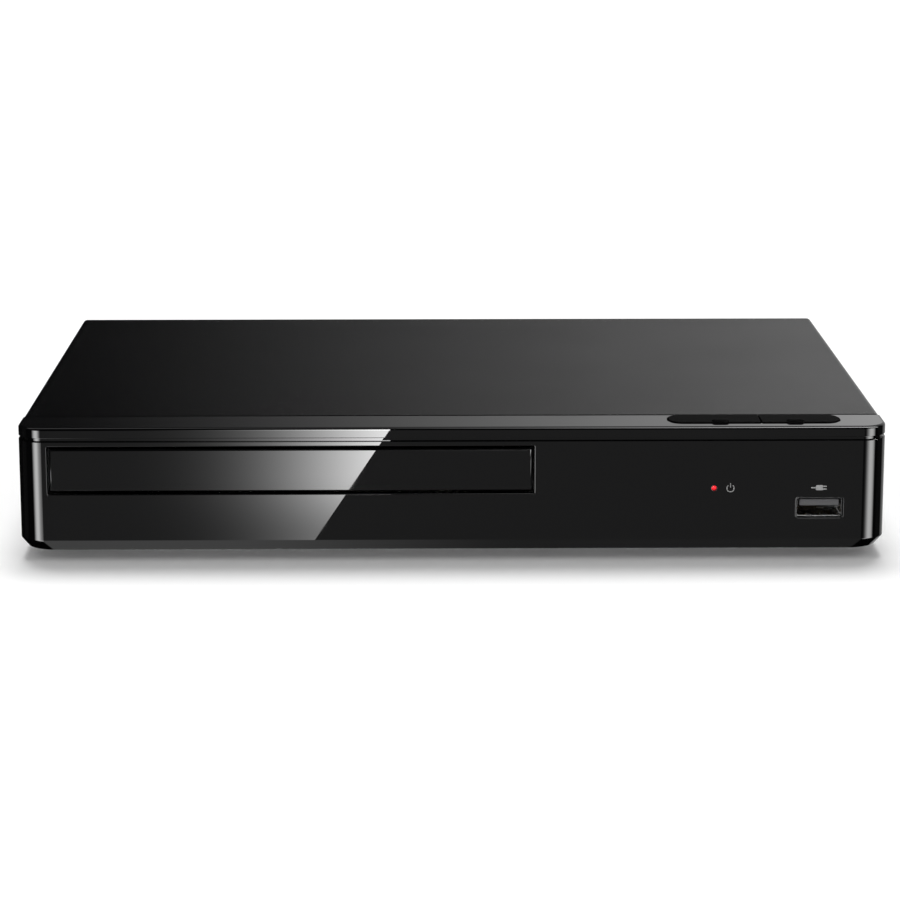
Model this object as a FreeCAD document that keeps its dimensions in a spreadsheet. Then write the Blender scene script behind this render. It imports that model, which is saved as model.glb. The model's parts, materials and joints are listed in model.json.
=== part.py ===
import FreeCAD, Part
import math
import os
from collections import namedtuple
from types import SimpleNamespace

import Sketcher
from FreeCAD import Placement, Rotation, Vector

# Compact disc player with a loading tray, as separate pieces. Lengths are in millimetres.
# +X is the right-hand side seen from the front, +Y points to the back and +Z up. The origin
# is the middle of the overall box, on the surface that the feet stand on.

DIMENSIONS = [
    # Heights, from the table up
    ("foot_height", 3.5, "feet below the case"),
    ("steel", 0.8, "sheet of the chassis, cover and rear panel"),
    ("loader_lift", 1.1, "chassis sheet to the underside of the loader"),
    ("drive_room", 17.8, "underside of the loader to the underside of the tray"),
    ("door_drop", 3.0, "underside of the tray to the lower edge of the door"),
    ("door_height", 12.1, "height of the tray door"),
    ("brow", 6.2, "top of the door to the top of the case"),
    # Widths, from the left side to the right
    ("panel_wall", 2.2, "moulded wall of the front panel"),
    ("left_room", 5.3, "front panel wall to the loader"),
    ("disc_diameter", 120.0, "disc that the tray carries"),
    ("tray_border", 4.5, "tray beside the disc"),
    ("tray_side_gap", 2.8, "tray to the wall of the loader"),
    ("loader_wall", 2.2, "side wall of the loader"),
    ("middle_room", 3.0, "loader to the main board"),
    ("main_board_width", 55.0, "main board"),
    ("board_room", 2.0, "main board to the power board"),
    ("power_board_width", 35.0, "power board"),
    ("right_room", 1.3, "power board to the front panel wall"),
    # Depths, from the front face to the back
    ("door_thickness", 2.4, "plate of the tray door"),
    ("door_clip", 2.0, "clips between the door and the tray"),
    ("clip_width", 8.0, "clips of the door"),
    ("clip_spacing", 40.0, "clips of the door"),
    ("tray_front", 5.6, "tray ahead of the disc"),
    ("tray_tail", 28.0, "tray behind the disc"),
    ("loader_nose", 3.6, "front of the tray to the front of the loader"),
    ("loader_tail", 8.0, "back of the tray to the back of the loader"),
    ("rear_room", 7.3, "loader to the rear panel"),
    ("rear_flange_gap", 0.1, "rear panel to the turned-down edge of the cover"),
    ("lip_depth", 16.5, "top of the front panel, ahead of the cover"),
    ("cover_seam", 0.4, "front panel to the cover"),
    # Front panel
    ("corner_radius", 7.0, "front corners seen from above"),
    ("top_edge_radius", 0.5, "rounded top edge of the front panel"),
    ("hem_height", 2.4, "sloped lower edge, upwards"),
    ("hem_inset", 1.6, "sloped lower edge, inwards"),
    ("groove_drop", 3.2, "top of the case to the groove"),
    ("groove_height", 0.95, "groove round the front panel"),
    ("groove_depth", 0.8, "groove round the front panel"),
    ("door_gap", 0.8, "door to the front panel"),
    ("door_side", 3.25, "door past each side of the tray"),
    ("door_bevel", 0.4, "bevel round the face of the door"),
    ("ledge_depth", 2.6, "ledge of the front panel under the cover"),
    ("loader_room", 0.8, "front panel to the loader"),
    ("key_boss_radius", 1.5, "bosses that hold the button board"),
    ("key_boss_reach", 4.5, "bosses past the ends of the keys"),
    ("front_boss_inset", 11.6, "front face to the bosses under the front board"),
    ("sheet_clearance", 0.2, "cover to what it covers"),
    # Keys on the front panel's top
    ("key_left", 61.3, "left end of the power key, from the middle"),
    ("key_split", 87.3, "gap between the two keys, from the middle"),
    ("key_right", 109.7, "right end of the open key, from the middle"),
    ("key_front", 4.8, "front of both keys, from the front face"),
    ("key_depth", 10.4, "front to back of both keys"),
    ("key_gap", 0.3, "key to its neighbour and to the panel"),
    ("key_radius", 4.0, "round outer corners of the keys"),
    ("key_proud", 0.3, "key above the panel"),
    ("key_flange", 1.2, "flange that holds the key under the panel"),
    ("key_flange_reach", 1.0, "flange past the key"),
    ("key_travel", 0.4, "downward travel of a key"),
    ("nub_proud", 0.5, "oval nub above the key"),
    ("nub_length", 5.0, "oval nub along the panel"),
    ("nub_width", 2.2, "oval nub front to back"),
    ("power_nub", 75.8, "nub of the power key, from the middle"),
    ("open_nub", 97.0, "nub of the open key, from the middle"),
    ("stem_radius", 1.5, "stem of a key above its switch"),
    ("plunger_radius", 1.75, "plunger of a push switch"),
    ("switch_width", 6.0, "push switch"),
    ("switch_height", 3.5, "push switch"),
    ("board_thickness", 1.2, "circuit boards"),
    ("stem_length", 4.7, "stem of a key"),
    ("plunger_proud", 0.8, "plunger above its switch"),
    ("plunger_bore", 1.0, "bore of a push switch"),
    ("plunger_gap", 0.1, "plunger to its bore"),
    # Socket and lamp on the front face
    ("usb_x", 103.6, "front socket, from the middle"),
    ("usb_drop", 23.43, "top of the case to the middle of the front socket"),
    ("usb_width", 13.1, "shell of the front socket"),
    ("usb_height", 5.7, "shell of the front socket"),
    ("usb_length", 14.0, "shell of the front socket"),
    ("usb_skin", 0.4, "shell of the front socket"),
    ("usb_margin", 0.35, "shell to the hole in the panel"),
    ("usb_inset", 1.0, "front face to the front socket"),
    ("usb_back", 2.2, "closed back of the front socket"),
    ("tongue_width", 11.1, "tongue of the front socket"),
    ("tongue_height", 1.85, "tongue of the front socket"),
    ("tongue_length", 11.5, "tongue of the front socket"),
    ("tongue_gap", 0.3, "tongue to the shell of the front socket"),
    ("lamp_x", 73.74, "power lamp, from the middle"),
    ("lamp_drop", 17.78, "top of the case to the power lamp"),
    ("lamp_radius", 0.9, "tip of the power lamp"),
    ("lamp_gap", 0.1, "power lamp to its hole"),
    ("lamp_inset", 0.5, "front face to the power lamp"),
    ("bulb_radius", 1.5, "body of the power lamp"),
    ("bulb_length", 4.5, "body of the power lamp"),
    ("bulb_gap", 0.3, "front panel to the body of the power lamp"),
    ("lead_width", 0.7, "leads of the power lamp"),
    ("lead_spacing", 1.8, "leads of the power lamp"),
    ("lead_length", 2.4, "leads of the power lamp before they turn down"),
    ("sensor_offset", 10.4, "power lamp to the remote sensor"),
    ("sensor_width", 6.0, "remote sensor"),
    ("sensor_thickness", 3.5, "remote sensor"),
    ("sensor_inset", 5.1, "front face to the remote sensor"),
    ("sensor_lens", 1.5, "round lens of the remote sensor"),
    ("sensor_crown", 0.6, "remote sensor above its lens"),
    # Feet
    ("foot_radius", 9.0, "rubber feet"),
    ("foot_bevel", 0.5, "lower edge of the feet"),
    ("foot_side", 17.5, "feet from the sides"),
    ("foot_inset", 26.0, "front feet from the front face"),
    ("foot_back", 20.0, "rear feet from the back"),
    # Chassis, cover and screws
    ("flange_height", 12.0, "side flange of the chassis above the underside"),
    ("cover_lift", 1.0, "lower edge of the cover above the underside"),
    ("bend_radius", 1.6, "outside bend of the cover"),
    ("cover_flange", 9.5, "turned-down rear edge of the cover"),
    ("screw_radius", 1.45, "thread of every screw"),
    ("screw_clearance", 0.1, "screw to its hole"),
    ("screw_head", 2.8, "head of every screw"),
    ("screw_head_height", 1.6, "head of every screw"),
    ("screw_grip", 4.5, "thread below the head"),
    ("screw_inset", 4.0, "screws from the sides and fronts of the boards"),
    ("screw_back", 24.0, "rear screws from the backs of the boards"),
    ("cover_screw_side", 22.5, "outer cover screws from the sides"),
    ("standoff_radius", 3.2, "standoffs of the chassis"),
    ("slot_width", 1.8, "cooling slots"),
    ("slot_pitch", 4.2, "cooling slots"),
    ("slot_length", 16.0, "cooling slots"),
    ("side_slot_length", 8.0, "cooling slots in the sides"),
    ("side_slot_rise", 20.0, "underside to the middle of the side slots"),
    ("side_slot_front", 60.0, "front face to the first side slot"),
    ("rear_slot_rise", 16.0, "underside to the middle of the rear slots"),
    ("rear_slot_left", 80.25, "first rear slot left of the middle"),
    # Boards
    ("board_lift", 5.7, "chassis sheet to the underside of the boards"),
    ("main_board_front", 30.0, "front face to the main board"),
    ("main_board_depth", 138.0, "main board"),
    ("power_board_front", 40.0, "front face to the power board"),
    ("power_board_depth", 128.0, "power board"),
    ("front_board_left", 66.0, "front board, from the middle"),
    ("front_board_width", 50.5, "front board"),
    ("front_board_inset", 2.6, "front face to the front board"),
    ("front_board_depth", 23.4, "front board"),
    ("processor_width", 22.0, "main processor"),
    ("processor_height", 1.6, "main processor"),
    ("processor_u", 52.0, "front edge of the main board to the processor"),
    ("heat_sink_width", 34.0, "heat sink on the processor"),
    ("heat_sink_base", 2.0, "plate of the heat sink"),
    ("fin_height", 9.0, "fins of the heat sink"),
    ("fin_thickness", 1.2, "fins of the heat sink"),
    ("fin_pitch", 4.1, "fins of the heat sink"),
    ("memory_width", 9.0, "memory chips"),
    ("memory_length", 13.5, "memory chips"),
    ("memory_height", 1.1, "memory chips"),
    ("ribbon_width", 8.0, "ribbon cable to the front board"),
    ("ribbon_inset", 0.6, "front board's left edge to the ribbon cable"),
    ("ribbon_thickness", 0.4, "ribbon cable to the front board"),
    ("ribbon_rise", 3.4, "arch of the ribbon cable above the main board"),
    ("ribbon_foot", 4.0, "ribbon cable on each board"),
    # Rear sockets
    ("socket_reach", 0.6, "rear sockets past the rear panel"),
    ("socket_margin", 0.4, "rear sockets to their holes"),
    ("hdmi_x", 29.0, "main board's left edge to the video socket"),
    ("hdmi_width", 15.0, "video socket"),
    ("hdmi_height", 6.0, "video socket"),
    ("hdmi_length", 11.5, "video socket"),
    ("hdmi_skin", 0.4, "shell of the video socket"),
    ("hdmi_shoulder", 1.6, "sloped corners of its mouth"),
    ("hdmi_slope", 1.2, "sloped corners of its mouth"),
    ("hdmi_back", 2.2, "closed back of the video socket"),
    ("hdmi_tongue_height", 1.1, "tongue of the video socket"),
    ("hdmi_tongue_width", 11.8, "tongue of the video socket"),
    ("hdmi_tongue_inset", 0.4, "mouth of the video socket to its tongue"),
    ("lan_x", 10.5, "main board's left edge to the network socket"),
    ("lan_width", 16.0, "network socket"),
    ("lan_height", 13.4, "network socket"),
    ("lan_length", 21.0, "network socket"),
    ("lan_mouth_width", 11.8, "mouth of the network socket"),
    ("lan_mouth_height", 8.0, "mouth of the network socket"),
    ("lan_back", 4.5, "closed back of the network socket"),
    ("lan_latch_width", 5.9, "latch notch below the mouth"),
    ("lan_latch_height", 1.1, "latch notch below the mouth"),
    ("coax_x", 46.0, "main board's left edge to the audio jack"),
    ("coax_height", 6.2, "main board to the axis of the audio jack"),
    ("coax_radius", 4.15, "sleeve of the audio jack"),
    ("coax_skin", 0.5, "sleeve of the audio jack"),
    ("coax_block", 10.0, "housing of the audio jack"),
    ("coax_pin_hole", 1.6, "centre hole of the audio jack"),
    ("collar_gap", 0.35, "collar of the audio jack to its hole"),
    ("coax_sink", 1.0, "tip of the jack to its insulator"),
    ("coax_hole_back", 0.5, "centre hole into the housing"),
    ("inlet_x", 17.5, "power board's left edge to the mains inlet"),
    ("inlet_height", 7.4, "power board to the middle of the mains inlet"),
    ("inlet_width", 21.0, "housing of the mains inlet"),
    ("inlet_body_height", 14.0, "housing of the mains inlet"),
    ("inlet_corner", 1.5, "corners of the mains inlet"),
    ("inlet_length", 17.0, "housing of the mains inlet"),
    ("inlet_mouth_width", 15.6, "mouth of the mains inlet"),
    ("inlet_mouth_height", 7.9, "mouth of the mains inlet"),
    ("inlet_mouth_depth", 12.5, "mouth of the mains inlet"),
    ("inlet_pin_radius", 1.15, "pins of the mains inlet"),
    ("inlet_pin_spacing", 8.6, "pins of the mains inlet"),
    ("inlet_pin_length", 10.0, "pins of the mains inlet"),
    # Power board
    ("core_width", 24.0, "transformer core"),
    ("core_length", 20.0, "transformer core"),
    ("core_height", 17.0, "transformer core"),
    ("winding_reach", 3.0, "windings past the core"),
    ("capacitor_radius", 9.0, "bulk capacitor"),
    ("capacitor_height", 21.0, "bulk capacitor"),
    ("capacitor_side", 3.0, "bulk capacitor left of the middle of its board"),
    ("fuse_radius", 2.6, "fuse"),
    ("fuse_length", 20.0, "fuse"),
    ("fuse_inset", 10.4, "right edge of the power board to the fuse"),
    ("wire_radius", 0.7, "wires between the two boards"),
    ("wire_arch", 5.0, "radius of the wires' arch"),
    ("wire_pitch", 2.2, "wires between the two boards"),
    ("jack_reach", 8.0, "rear jack past the cover"),
    # Loader frame
    ("loader_skin", 1.6, "floor of the loader"),
    ("deck_height", 7.8, "underside of the tray to the top of the loader"),
    ("window_front", 42.0, "front face to the window in the loader's floor"),
    ("window_width", 90.0, "window in the loader's floor"),
    ("ledge_width", 6.3, "ledges that the tray runs on"),
    ("rail_ledge_thickness", 2.0, "ledges that the tray runs on"),
    ("rail_height", 1.7, "rails under the tray"),
    ("rail_width", 2.5, "rails under the tray"),
    ("running_gap", 0.3, "sliding parts to what guides them"),
    ("tab_length", 8.0, "tabs that hold the tray down"),
    ("tab_reach", 4.8, "tabs that hold the tray down"),
    ("tab_thickness", 1.2, "tabs that hold the tray down"),
    ("tab_front", 2.0, "front of the loader to the first tabs"),
    ("tab_second", 40.0, "front of the loader to the second tabs"),
    ("tab_last", 40.0, "disc axis to the last tabs"),
    ("loader_screw_front", 16.0, "front of the loader to its front screws"),
    ("loader_screw_inset", 6.0, "back of the loader to its rear screws"),
    ("loader_screw_side", 5.3, "loader screws from its inner wall"),
    ("seat_rise", 1.2, "seats of the loader screws above the floor"),
    ("seat_radius", 4.0, "seats of the loader screws"),
    ("post_radius", 1.5, "posts of the gears"),
    ("bearing_gap", 0.05, "radial clearance of every bearing"),
    ("shoulder_radius", 3.0, "shoulder below each gear"),
    # Tray
    ("tray_skin", 2.0, "floor of the tray"),
    ("well_depth", 2.6, "well of the large disc"),
    ("well_room", 0.6, "well past the edge of the disc"),
    ("small_disc", 80.0, "small disc"),
    ("small_well_depth", 1.0, "well of the small disc"),
    ("slot_radius", 23.0, "slot of the tray round the turntable"),
    ("tray_corner", 6.0, "corners of the tray"),
    ("rack_inset", 9.5, "side of the tray to the pitch line of its rack"),
    ("rack_height", 2.4, "rack under the tray"),
    ("rack_back", 2.2, "rack behind its teeth"),
    ("rack_front", 9.0, "rack ahead of the wheel that drives it"),
    # Loading gears
    ("gear_row", 14.0, "front of the loader to the row of gears"),
    ("tray_module", 0.8, "teeth of the tray's rack"),
    ("step_module", 0.7, "teeth of the second step"),
    ("first_module", 0.6, "teeth of the first step"),
    ("gear_lift", 2.0, "floor of the loader to the lowest wheel"),
    ("wheel_width", 3.5, "toothed wheels"),
    ("wheel_gap", 0.4, "toothed wheels to what is above or below"),
    ("first_width", 3.0, "wheel beside the belt wheel"),
    ("belt_lift", 2.0, "top of the loading motor to the middle of the belt"),
    ("pulley_width", 3.0, "belt wheels"),
    ("wheel_hub", 2.8, "hubs of the wheels"),
    ("hub_rise", 0.5, "hub of the middle wheel above its teeth"),
    ("pulley_sink", 0.5, "small teeth of the belt wheel below its partner"),
    ("belt_span", 27.0, "motor to the belt wheel"),
    ("belt_small", 3.0, "belt radius on the motor"),
    ("belt_large", 11.0, "belt radius on the belt wheel"),
    ("belt_width", 1.2, "belt"),
    ("belt_gap", 0.05, "belt to the floor of its grooves"),
    ("motor_radius", 11.0, "loading motor"),
    ("motor_height", 10.5, "loading motor"),
    ("motor_shaft", 0.75, "shaft of the loading motor"),
    # Clamp
    ("bridge_thickness", 1.2, "bridge over the disc"),
    ("bridge_depth", 40.0, "bridge over the disc"),
    ("bridge_hole", 14.6, "hole in the bridge"),
    ("clamper_radius", 13.5, "clamping disc"),
    ("clamper_flange", 17.0, "flange of the clamping disc above the bridge"),
    ("clamper_skin", 1.2, "flange of the clamping disc"),
    ("clamper_gap", 0.4, "clamping disc to the turntable when there is no disc"),
    ("magnet_radius", 6.5, "magnet of the clamping disc"),
    ("magnet_height", 2.0, "magnet of the clamping disc"),
    # Turntable
    ("disc_lift", 1.3, "turntable above the floor of the tray"),
    ("turntable_radius", 15.0, "turntable"),
    ("turntable_thickness", 2.0, "turntable"),
    ("turntable_pad", 0.5, "friction ring of the turntable"),
    ("hub_radius", 7.4, "hub that centres the disc"),
    ("hub_height", 2.1, "hub above the friction ring"),
    ("hub_room", 0.8, "hub to the clamping disc"),
    ("hub_bevel", 0.8, "bevel round the hub"),
    ("pad_inset", 0.4, "edge of the turntable to its friction ring"),
    ("pad_inner", 9.4, "inner radius of the friction ring"),
    ("shaft_lift", 1.2, "traverse to the lower end of the shaft"),
    ("rotor_radius", 12.0, "rotor under the turntable"),
    ("rotor_skin", 1.4, "rotor under the turntable"),
    ("rotor_height", 6.0, "rotor under the turntable"),
    ("stator_radius", 9.9, "stator of the disc motor"),
    ("stator_height", 7.6, "stator of the disc motor"),
    ("motor_base_radius", 14.0, "base of the disc motor"),
    ("motor_base_skin", 1.2, "base of the disc motor"),
    ("spindle_radius", 1.0, "shaft of the turntable"),
    # Traverse
    ("traverse_drop", 8.6, "underside of the tray to the underside of the traverse"),
    ("traverse_thickness", 2.0, "plate of the traverse"),
    ("traverse_width", 86.0, "traverse"),
    ("traverse_front", 44.0, "front face to the traverse"),
    ("traverse_rim", 1.6, "rim of the traverse"),
    ("traverse_rim_height", 4.0, "rim of the traverse"),
    ("pickup_window", 13.0, "disc axis to the window of the pickup"),
    ("pickup_window_side", 4.0, "guide rod to the edge of that window"),
    ("pickup_window_end", 1.5, "pickup at the end of its travel to that window"),
    ("screw_window_side", 3.5, "lead screw to the edge of that window"),
    ("rotor_gap", 0.5, "rotor to the traverse"),
    ("sled_motor_gap", 0.2, "motor of the pickup to its window"),
    ("cam_boss", 1.2, "bosses round the cam pins"),
    ("hinge_ear", 0.5, "bosses round the hinge pins"),
    ("hinge_inset", 2.0, "hinge from the back of the traverse"),
    ("hinge_radius", 1.5, "hinge pins of the traverse"),
    ("hinge_height", 0.4, "hinge axis above the underside of the traverse"),
    ("lug_width", 3.0, "lugs that hold the hinge pins"),
    ("lug_front", 4.5, "lugs ahead of the hinge axis"),
    ("lug_back", 3.0, "lugs behind and above the hinge axis"),
    ("cam_pin_x", 20.0, "cam pins from the middle"),
    ("cam_pin_radius", 1.6, "cam pins of the traverse"),
    ("cam_pin_rise", 4.6, "cam pins above the underside of the traverse"),
    ("cam_travel", 18.0, "travel of the cam slider"),
    ("cam_fall", 8.17, "drop of the cam pins over that travel"),
    ("cam_clearance", 0.3, "cam pins to their slots"),
    ("cam_wall", 2.0, "wall of the cam slider"),
    ("cam_foot", 2.2, "foot of the cam slider"),
    ("cam_foot_height", 2.0, "foot of the cam slider"),
    ("cam_rack_height", 2.4, "teeth of the cam slider"),
    ("ridge_height", 1.5, "ridges that guide the cam slider"),
    ("ridge_width", 1.2, "ridges that guide the cam slider"),
    ("cam_left", 42.0, "cam slider left of the middle"),
    ("cam_right", 25.5, "cam slider right of the middle"),
    # Pickup
    ("lens_inner", 23.5, "disc axis to the lens at the start of the disc"),
    ("sled_travel", 35.0, "travel of the pickup"),
    ("pickup_width", 50.0, "pickup"),
    ("pickup_front", 9.0, "pickup ahead of the lens"),
    ("pickup_back", 22.0, "pickup behind the lens"),
    ("pickup_drop", 9.7, "underside of the tray to the underside of the pickup"),
    ("pickup_height", 6.7, "pickup"),
    ("pickup_ear", 2.0, "pickup round its guide rods"),
    ("pickup_ear_inset", 3.5, "ends of the pickup to its ears"),
    ("lens_well_gap", 0.8, "holder of the lens to its well"),
    ("guide_x", 29.0, "guide rods from the middle"),
    ("guide_radius", 1.5, "guide rods"),
    ("guide_drop", 6.4, "underside of the tray to the guide rods"),
    ("rod_seat", 4.0, "seats of the guide rods"),
    ("rod_seat_skin", 1.1, "seats round the guide rods"),
    ("screw_x", 36.5, "lead screw from the middle"),
    ("lead_radius", 1.5, "lead screw"),
    ("screw_side_gap", 0.2, "pickup to the lead screw"),
    ("sled_motor_radius", 4.5, "motor of the pickup"),
    ("sled_motor_length", 16.0, "motor of the pickup"),
    ("lens_radius", 3.4, "objective lens"),
    ("lens_holder", 13.0, "holder of the lens, across"),
    ("lens_holder_depth", 11.0, "holder of the lens, front to back"),
    ("lens_holder_height", 3.4, "holder of the lens"),
    ("lens_holder_corner", 1.5, "corners of the holder"),
    ("lens_ring", 0.5, "ring round the lens"),
    ("lens_ring_height", 1.2, "ring round the lens"),
    ("lens_rise", 0.5, "crown of the lens"),
    ("focus_travel", 0.4, "focus movement of the lens each way"),
    ("actuator_width", 24.0, "cover of the lens actuator"),
    ("actuator_depth", 19.0, "cover of the lens actuator"),
    ("actuator_height", 3.4, "cover of the lens actuator"),
    ("actuator_skin", 0.8, "cover of the lens actuator"),
    ("actuator_corner", 1.5, "corners of the actuator cover"),
    ("actuator_window", 10.2, "window of the actuator cover"),
]
TRAY_TEETH = 30
STEP_WHEEL = 36
STEP_PINION = 12
FIRST_WHEEL = 42
FIRST_PINION = 12


class Size:
    """A length with the sheet expression that gives it."""

    def __init__(self, text, value):
        self.text = text
        self.value = value

    def __add__(self, other):
        return combine(self, "+", other)

    def __radd__(self, other):
        return combine(other, "+", self)

    def __sub__(self, other):
        return combine(self, "-", other)

    def __rsub__(self, other):
        return combine(other, "-", self)

    def __mul__(self, other):
        return combine(self, "*", other)

    def __rmul__(self, other):
        return combine(other, "*", self)

    def __truediv__(self, other):
        return combine(self, "/", other)

    def __neg__(self):
        return combine(0, "-", self)


def text_of(size):
    return size.text if isinstance(size, Size) else repr(float(size))


def value_of(size):
    return size.value if isinstance(size, Size) else float(size)


def combine(left, sign, right):
    a = value_of(left)
    b = value_of(right)
    result = {"+": a + b, "-": a - b, "*": a * b, "/": a / b if sign == "/" else 0}[sign]
    return Size("(%s %s %s)" % (text_of(left), sign, text_of(right)), result)


document = FreeCAD.newDocument("disc_player")


def make_sheet():
    sheet = document.addObject("Spreadsheet::Sheet", "Sizes")
    for row, (alias, value, note) in enumerate(DIMENSIONS, start=1):
        sheet.set("A%d" % row, note)
        sheet.set("B%d" % row, "%g" % value)
        sheet.setAlias("B%d" % row, alias)
    document.recompute()
    return SimpleNamespace(**{
        alias: Size("Sizes." + alias, float(sheet.get(alias))) for alias, value, note in DIMENSIONS
    })


s = make_sheet()

# Heights, worked out from the stack of pieces
base = s.foot_height
chassis_top = base + s.steel
loader_base = chassis_top + s.loader_lift
floor_top = loader_base + s.loader_skin
tray_level = loader_base + s.drive_room
disc_floor = tray_level + s.tray_skin
tray_rim = disc_floor + s.well_depth
loader_top = tray_level + s.deck_height
door_low = tray_level - s.door_drop
door_high = door_low + s.door_height
case_top = door_high + s.brow
lip_under = case_top - s.panel_wall
board_top = chassis_top + s.board_lift + s.board_thickness

# Widths
tray_half = s.disc_diameter / 2 + s.tray_border
loader_inner = tray_half + s.tray_side_gap
loader_half = loader_inner + s.loader_wall
boards_width = s.main_board_width + s.board_room + s.power_board_width
half = (s.panel_wall * 2 + s.left_room + loader_half * 2 + s.middle_room + boards_width + s.right_room) / 2
loader_x = s.panel_wall + s.left_room + loader_half - half
main_left = loader_x + loader_half + s.middle_room
power_left = main_left + s.main_board_width + s.board_room
side_x = half - s.steel - s.sheet_clearance

# Depths from the front face
tray_front = s.door_thickness + s.door_clip
disc_u = tray_front + s.tray_front + s.disc_diameter / 2
tray_back = disc_u + s.disc_diameter / 2 + s.tray_tail
loader_front = tray_front + s.loader_nose
loader_back = tray_back + s.loader_tail
rear_u = loader_back + s.rear_room
case_depth = rear_u + s.steel * 2 + s.rear_flange_gap
cover_front = s.lip_depth + s.cover_seam
front_y = (case_depth + s.jack_reach) / -2

Disc = namedtuple("Disc", "x y radius")


def box(x0, y0, x1, y1, radius=None):
    """Corners of a rectangle, each with the radius if there is one."""
    corners = [(x0, y0), (x1, y0), (x1, y1), (x0, y1)]
    return [corner + (radius,) for corner in corners] if radius is not None else corners


def around(x, y, width, height, radius=None):
    """Rectangle about a middle point."""
    return box(x - width / 2, y - height / 2, x + width / 2, y + height / 2, radius)


def rounded_front(reach, front, back, radius):
    """Plan outline with round corners at the front only."""
    return [(-reach, front, radius), (reach, front, radius), (reach, back), (-reach, back)]


def place(item, x=0, y=0, z=0):
    """Bind the position of a sub-part."""
    item.Placement.Base = Vector(value_of(x), value_of(y), value_of(z))
    for axis, size in zip("xyz", (x, y, z)):
        if isinstance(size, Size):
            item.setExpression("Placement.Base." + axis, size.text)


def bind(item, name, size):
    setattr(item, name, value_of(size))
    if isinstance(size, Size):
        item.setExpression(name, size.text)


def toward(corner, other, radius):
    """Point at the radius from a corner along an upright or level side."""
    gap_x = value_of(other[0]) - value_of(corner[0])
    gap_y = value_of(other[1]) - value_of(corner[1])
    if abs(gap_x) > abs(gap_y):
        return (corner[0] + radius if gap_x > 0 else corner[0] - radius, corner[1])
    return (corner[0], corner[1] + radius if gap_y > 0 else corner[1] - radius)


def point(place):
    return Vector(value_of(place[0]), value_of(place[1]), 0)


def corner_arc(corner, first, last, radius):
    """Arc that rounds a corner, and whether it runs anticlockwise."""
    middle = point(first) + point(last) - point(corner)
    into = point(corner) - point(first)
    out = point(last) - point(corner)
    left_turn = into.cross(out).z > 0
    ends = [point(first), point(last)] if left_turn else [point(last), point(first)]
    angles = [math.atan2(end.y - middle.y, end.x - middle.x) for end in ends]
    if angles[1] < angles[0]:
        angles[1] += 2 * math.pi
    circle = Part.Circle(middle, Vector(0, 0, 1), value_of(radius))
    return Part.ArcOfCircle(circle, angles[0], angles[1]), left_turn


def draw_outline(sketch, corners):
    """Closed outline of lines, with an arc at each corner that has a radius."""
    ends = []
    for index, corner in enumerate(corners):
        if len(corner) == 2:
            ends.append((corner, corner))
        else:
            before = corners[index - 1]
            after = corners[(index + 1) % len(corners)]
            ends.append((toward(corner, before, corner[2]), toward(corner, after, corner[2])))
    runs = []
    for index, (arrive, leave) in enumerate(ends):
        if arrive is not leave:
            arc, forward = corner_arc(corners[index], arrive, leave, corners[index][2])
            runs.append((sketch.addGeometry(arc, False), arrive, forward, corners[index][2]))
        following = ends[(index + 1) % len(ends)][0]
        line = Part.LineSegment(point(leave), point(following))
        runs.append((sketch.addGeometry(line, False), leave, True, None))
    datums = []
    for index, (curve, start, forward, radius) in enumerate(runs):
        after, _, after_forward, _ = runs[(index + 1) % len(runs)]
        joint = Sketcher.Constraint(
            "Coincident", curve, 2 if forward else 1, after, 1 if after_forward else 2
        )
        datums.append((joint, None))
        end = 1 if forward else 2
        for kind, size in zip(("DistanceX", "DistanceY"), start):
            datums.append((Sketcher.Constraint(kind, -1, 1, curve, end, value_of(size)), size))
        if radius is not None:
            datums.append((Sketcher.Constraint("Radius", curve, value_of(radius)), radius))
    return datums


def draw_disc(sketch, disc):
    centre = Vector(value_of(disc.x), value_of(disc.y), 0)
    curve = sketch.addGeometry(Part.Circle(centre, Vector(0, 0, 1), value_of(disc.radius)), False)
    return [
        (Sketcher.Constraint("DistanceX", -1, 1, curve, 3, value_of(disc.x)), disc.x),
        (Sketcher.Constraint("DistanceY", -1, 1, curve, 3, value_of(disc.y)), disc.y),
        (Sketcher.Constraint("Radius", curve, value_of(disc.radius)), disc.radius),
    ]


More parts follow.
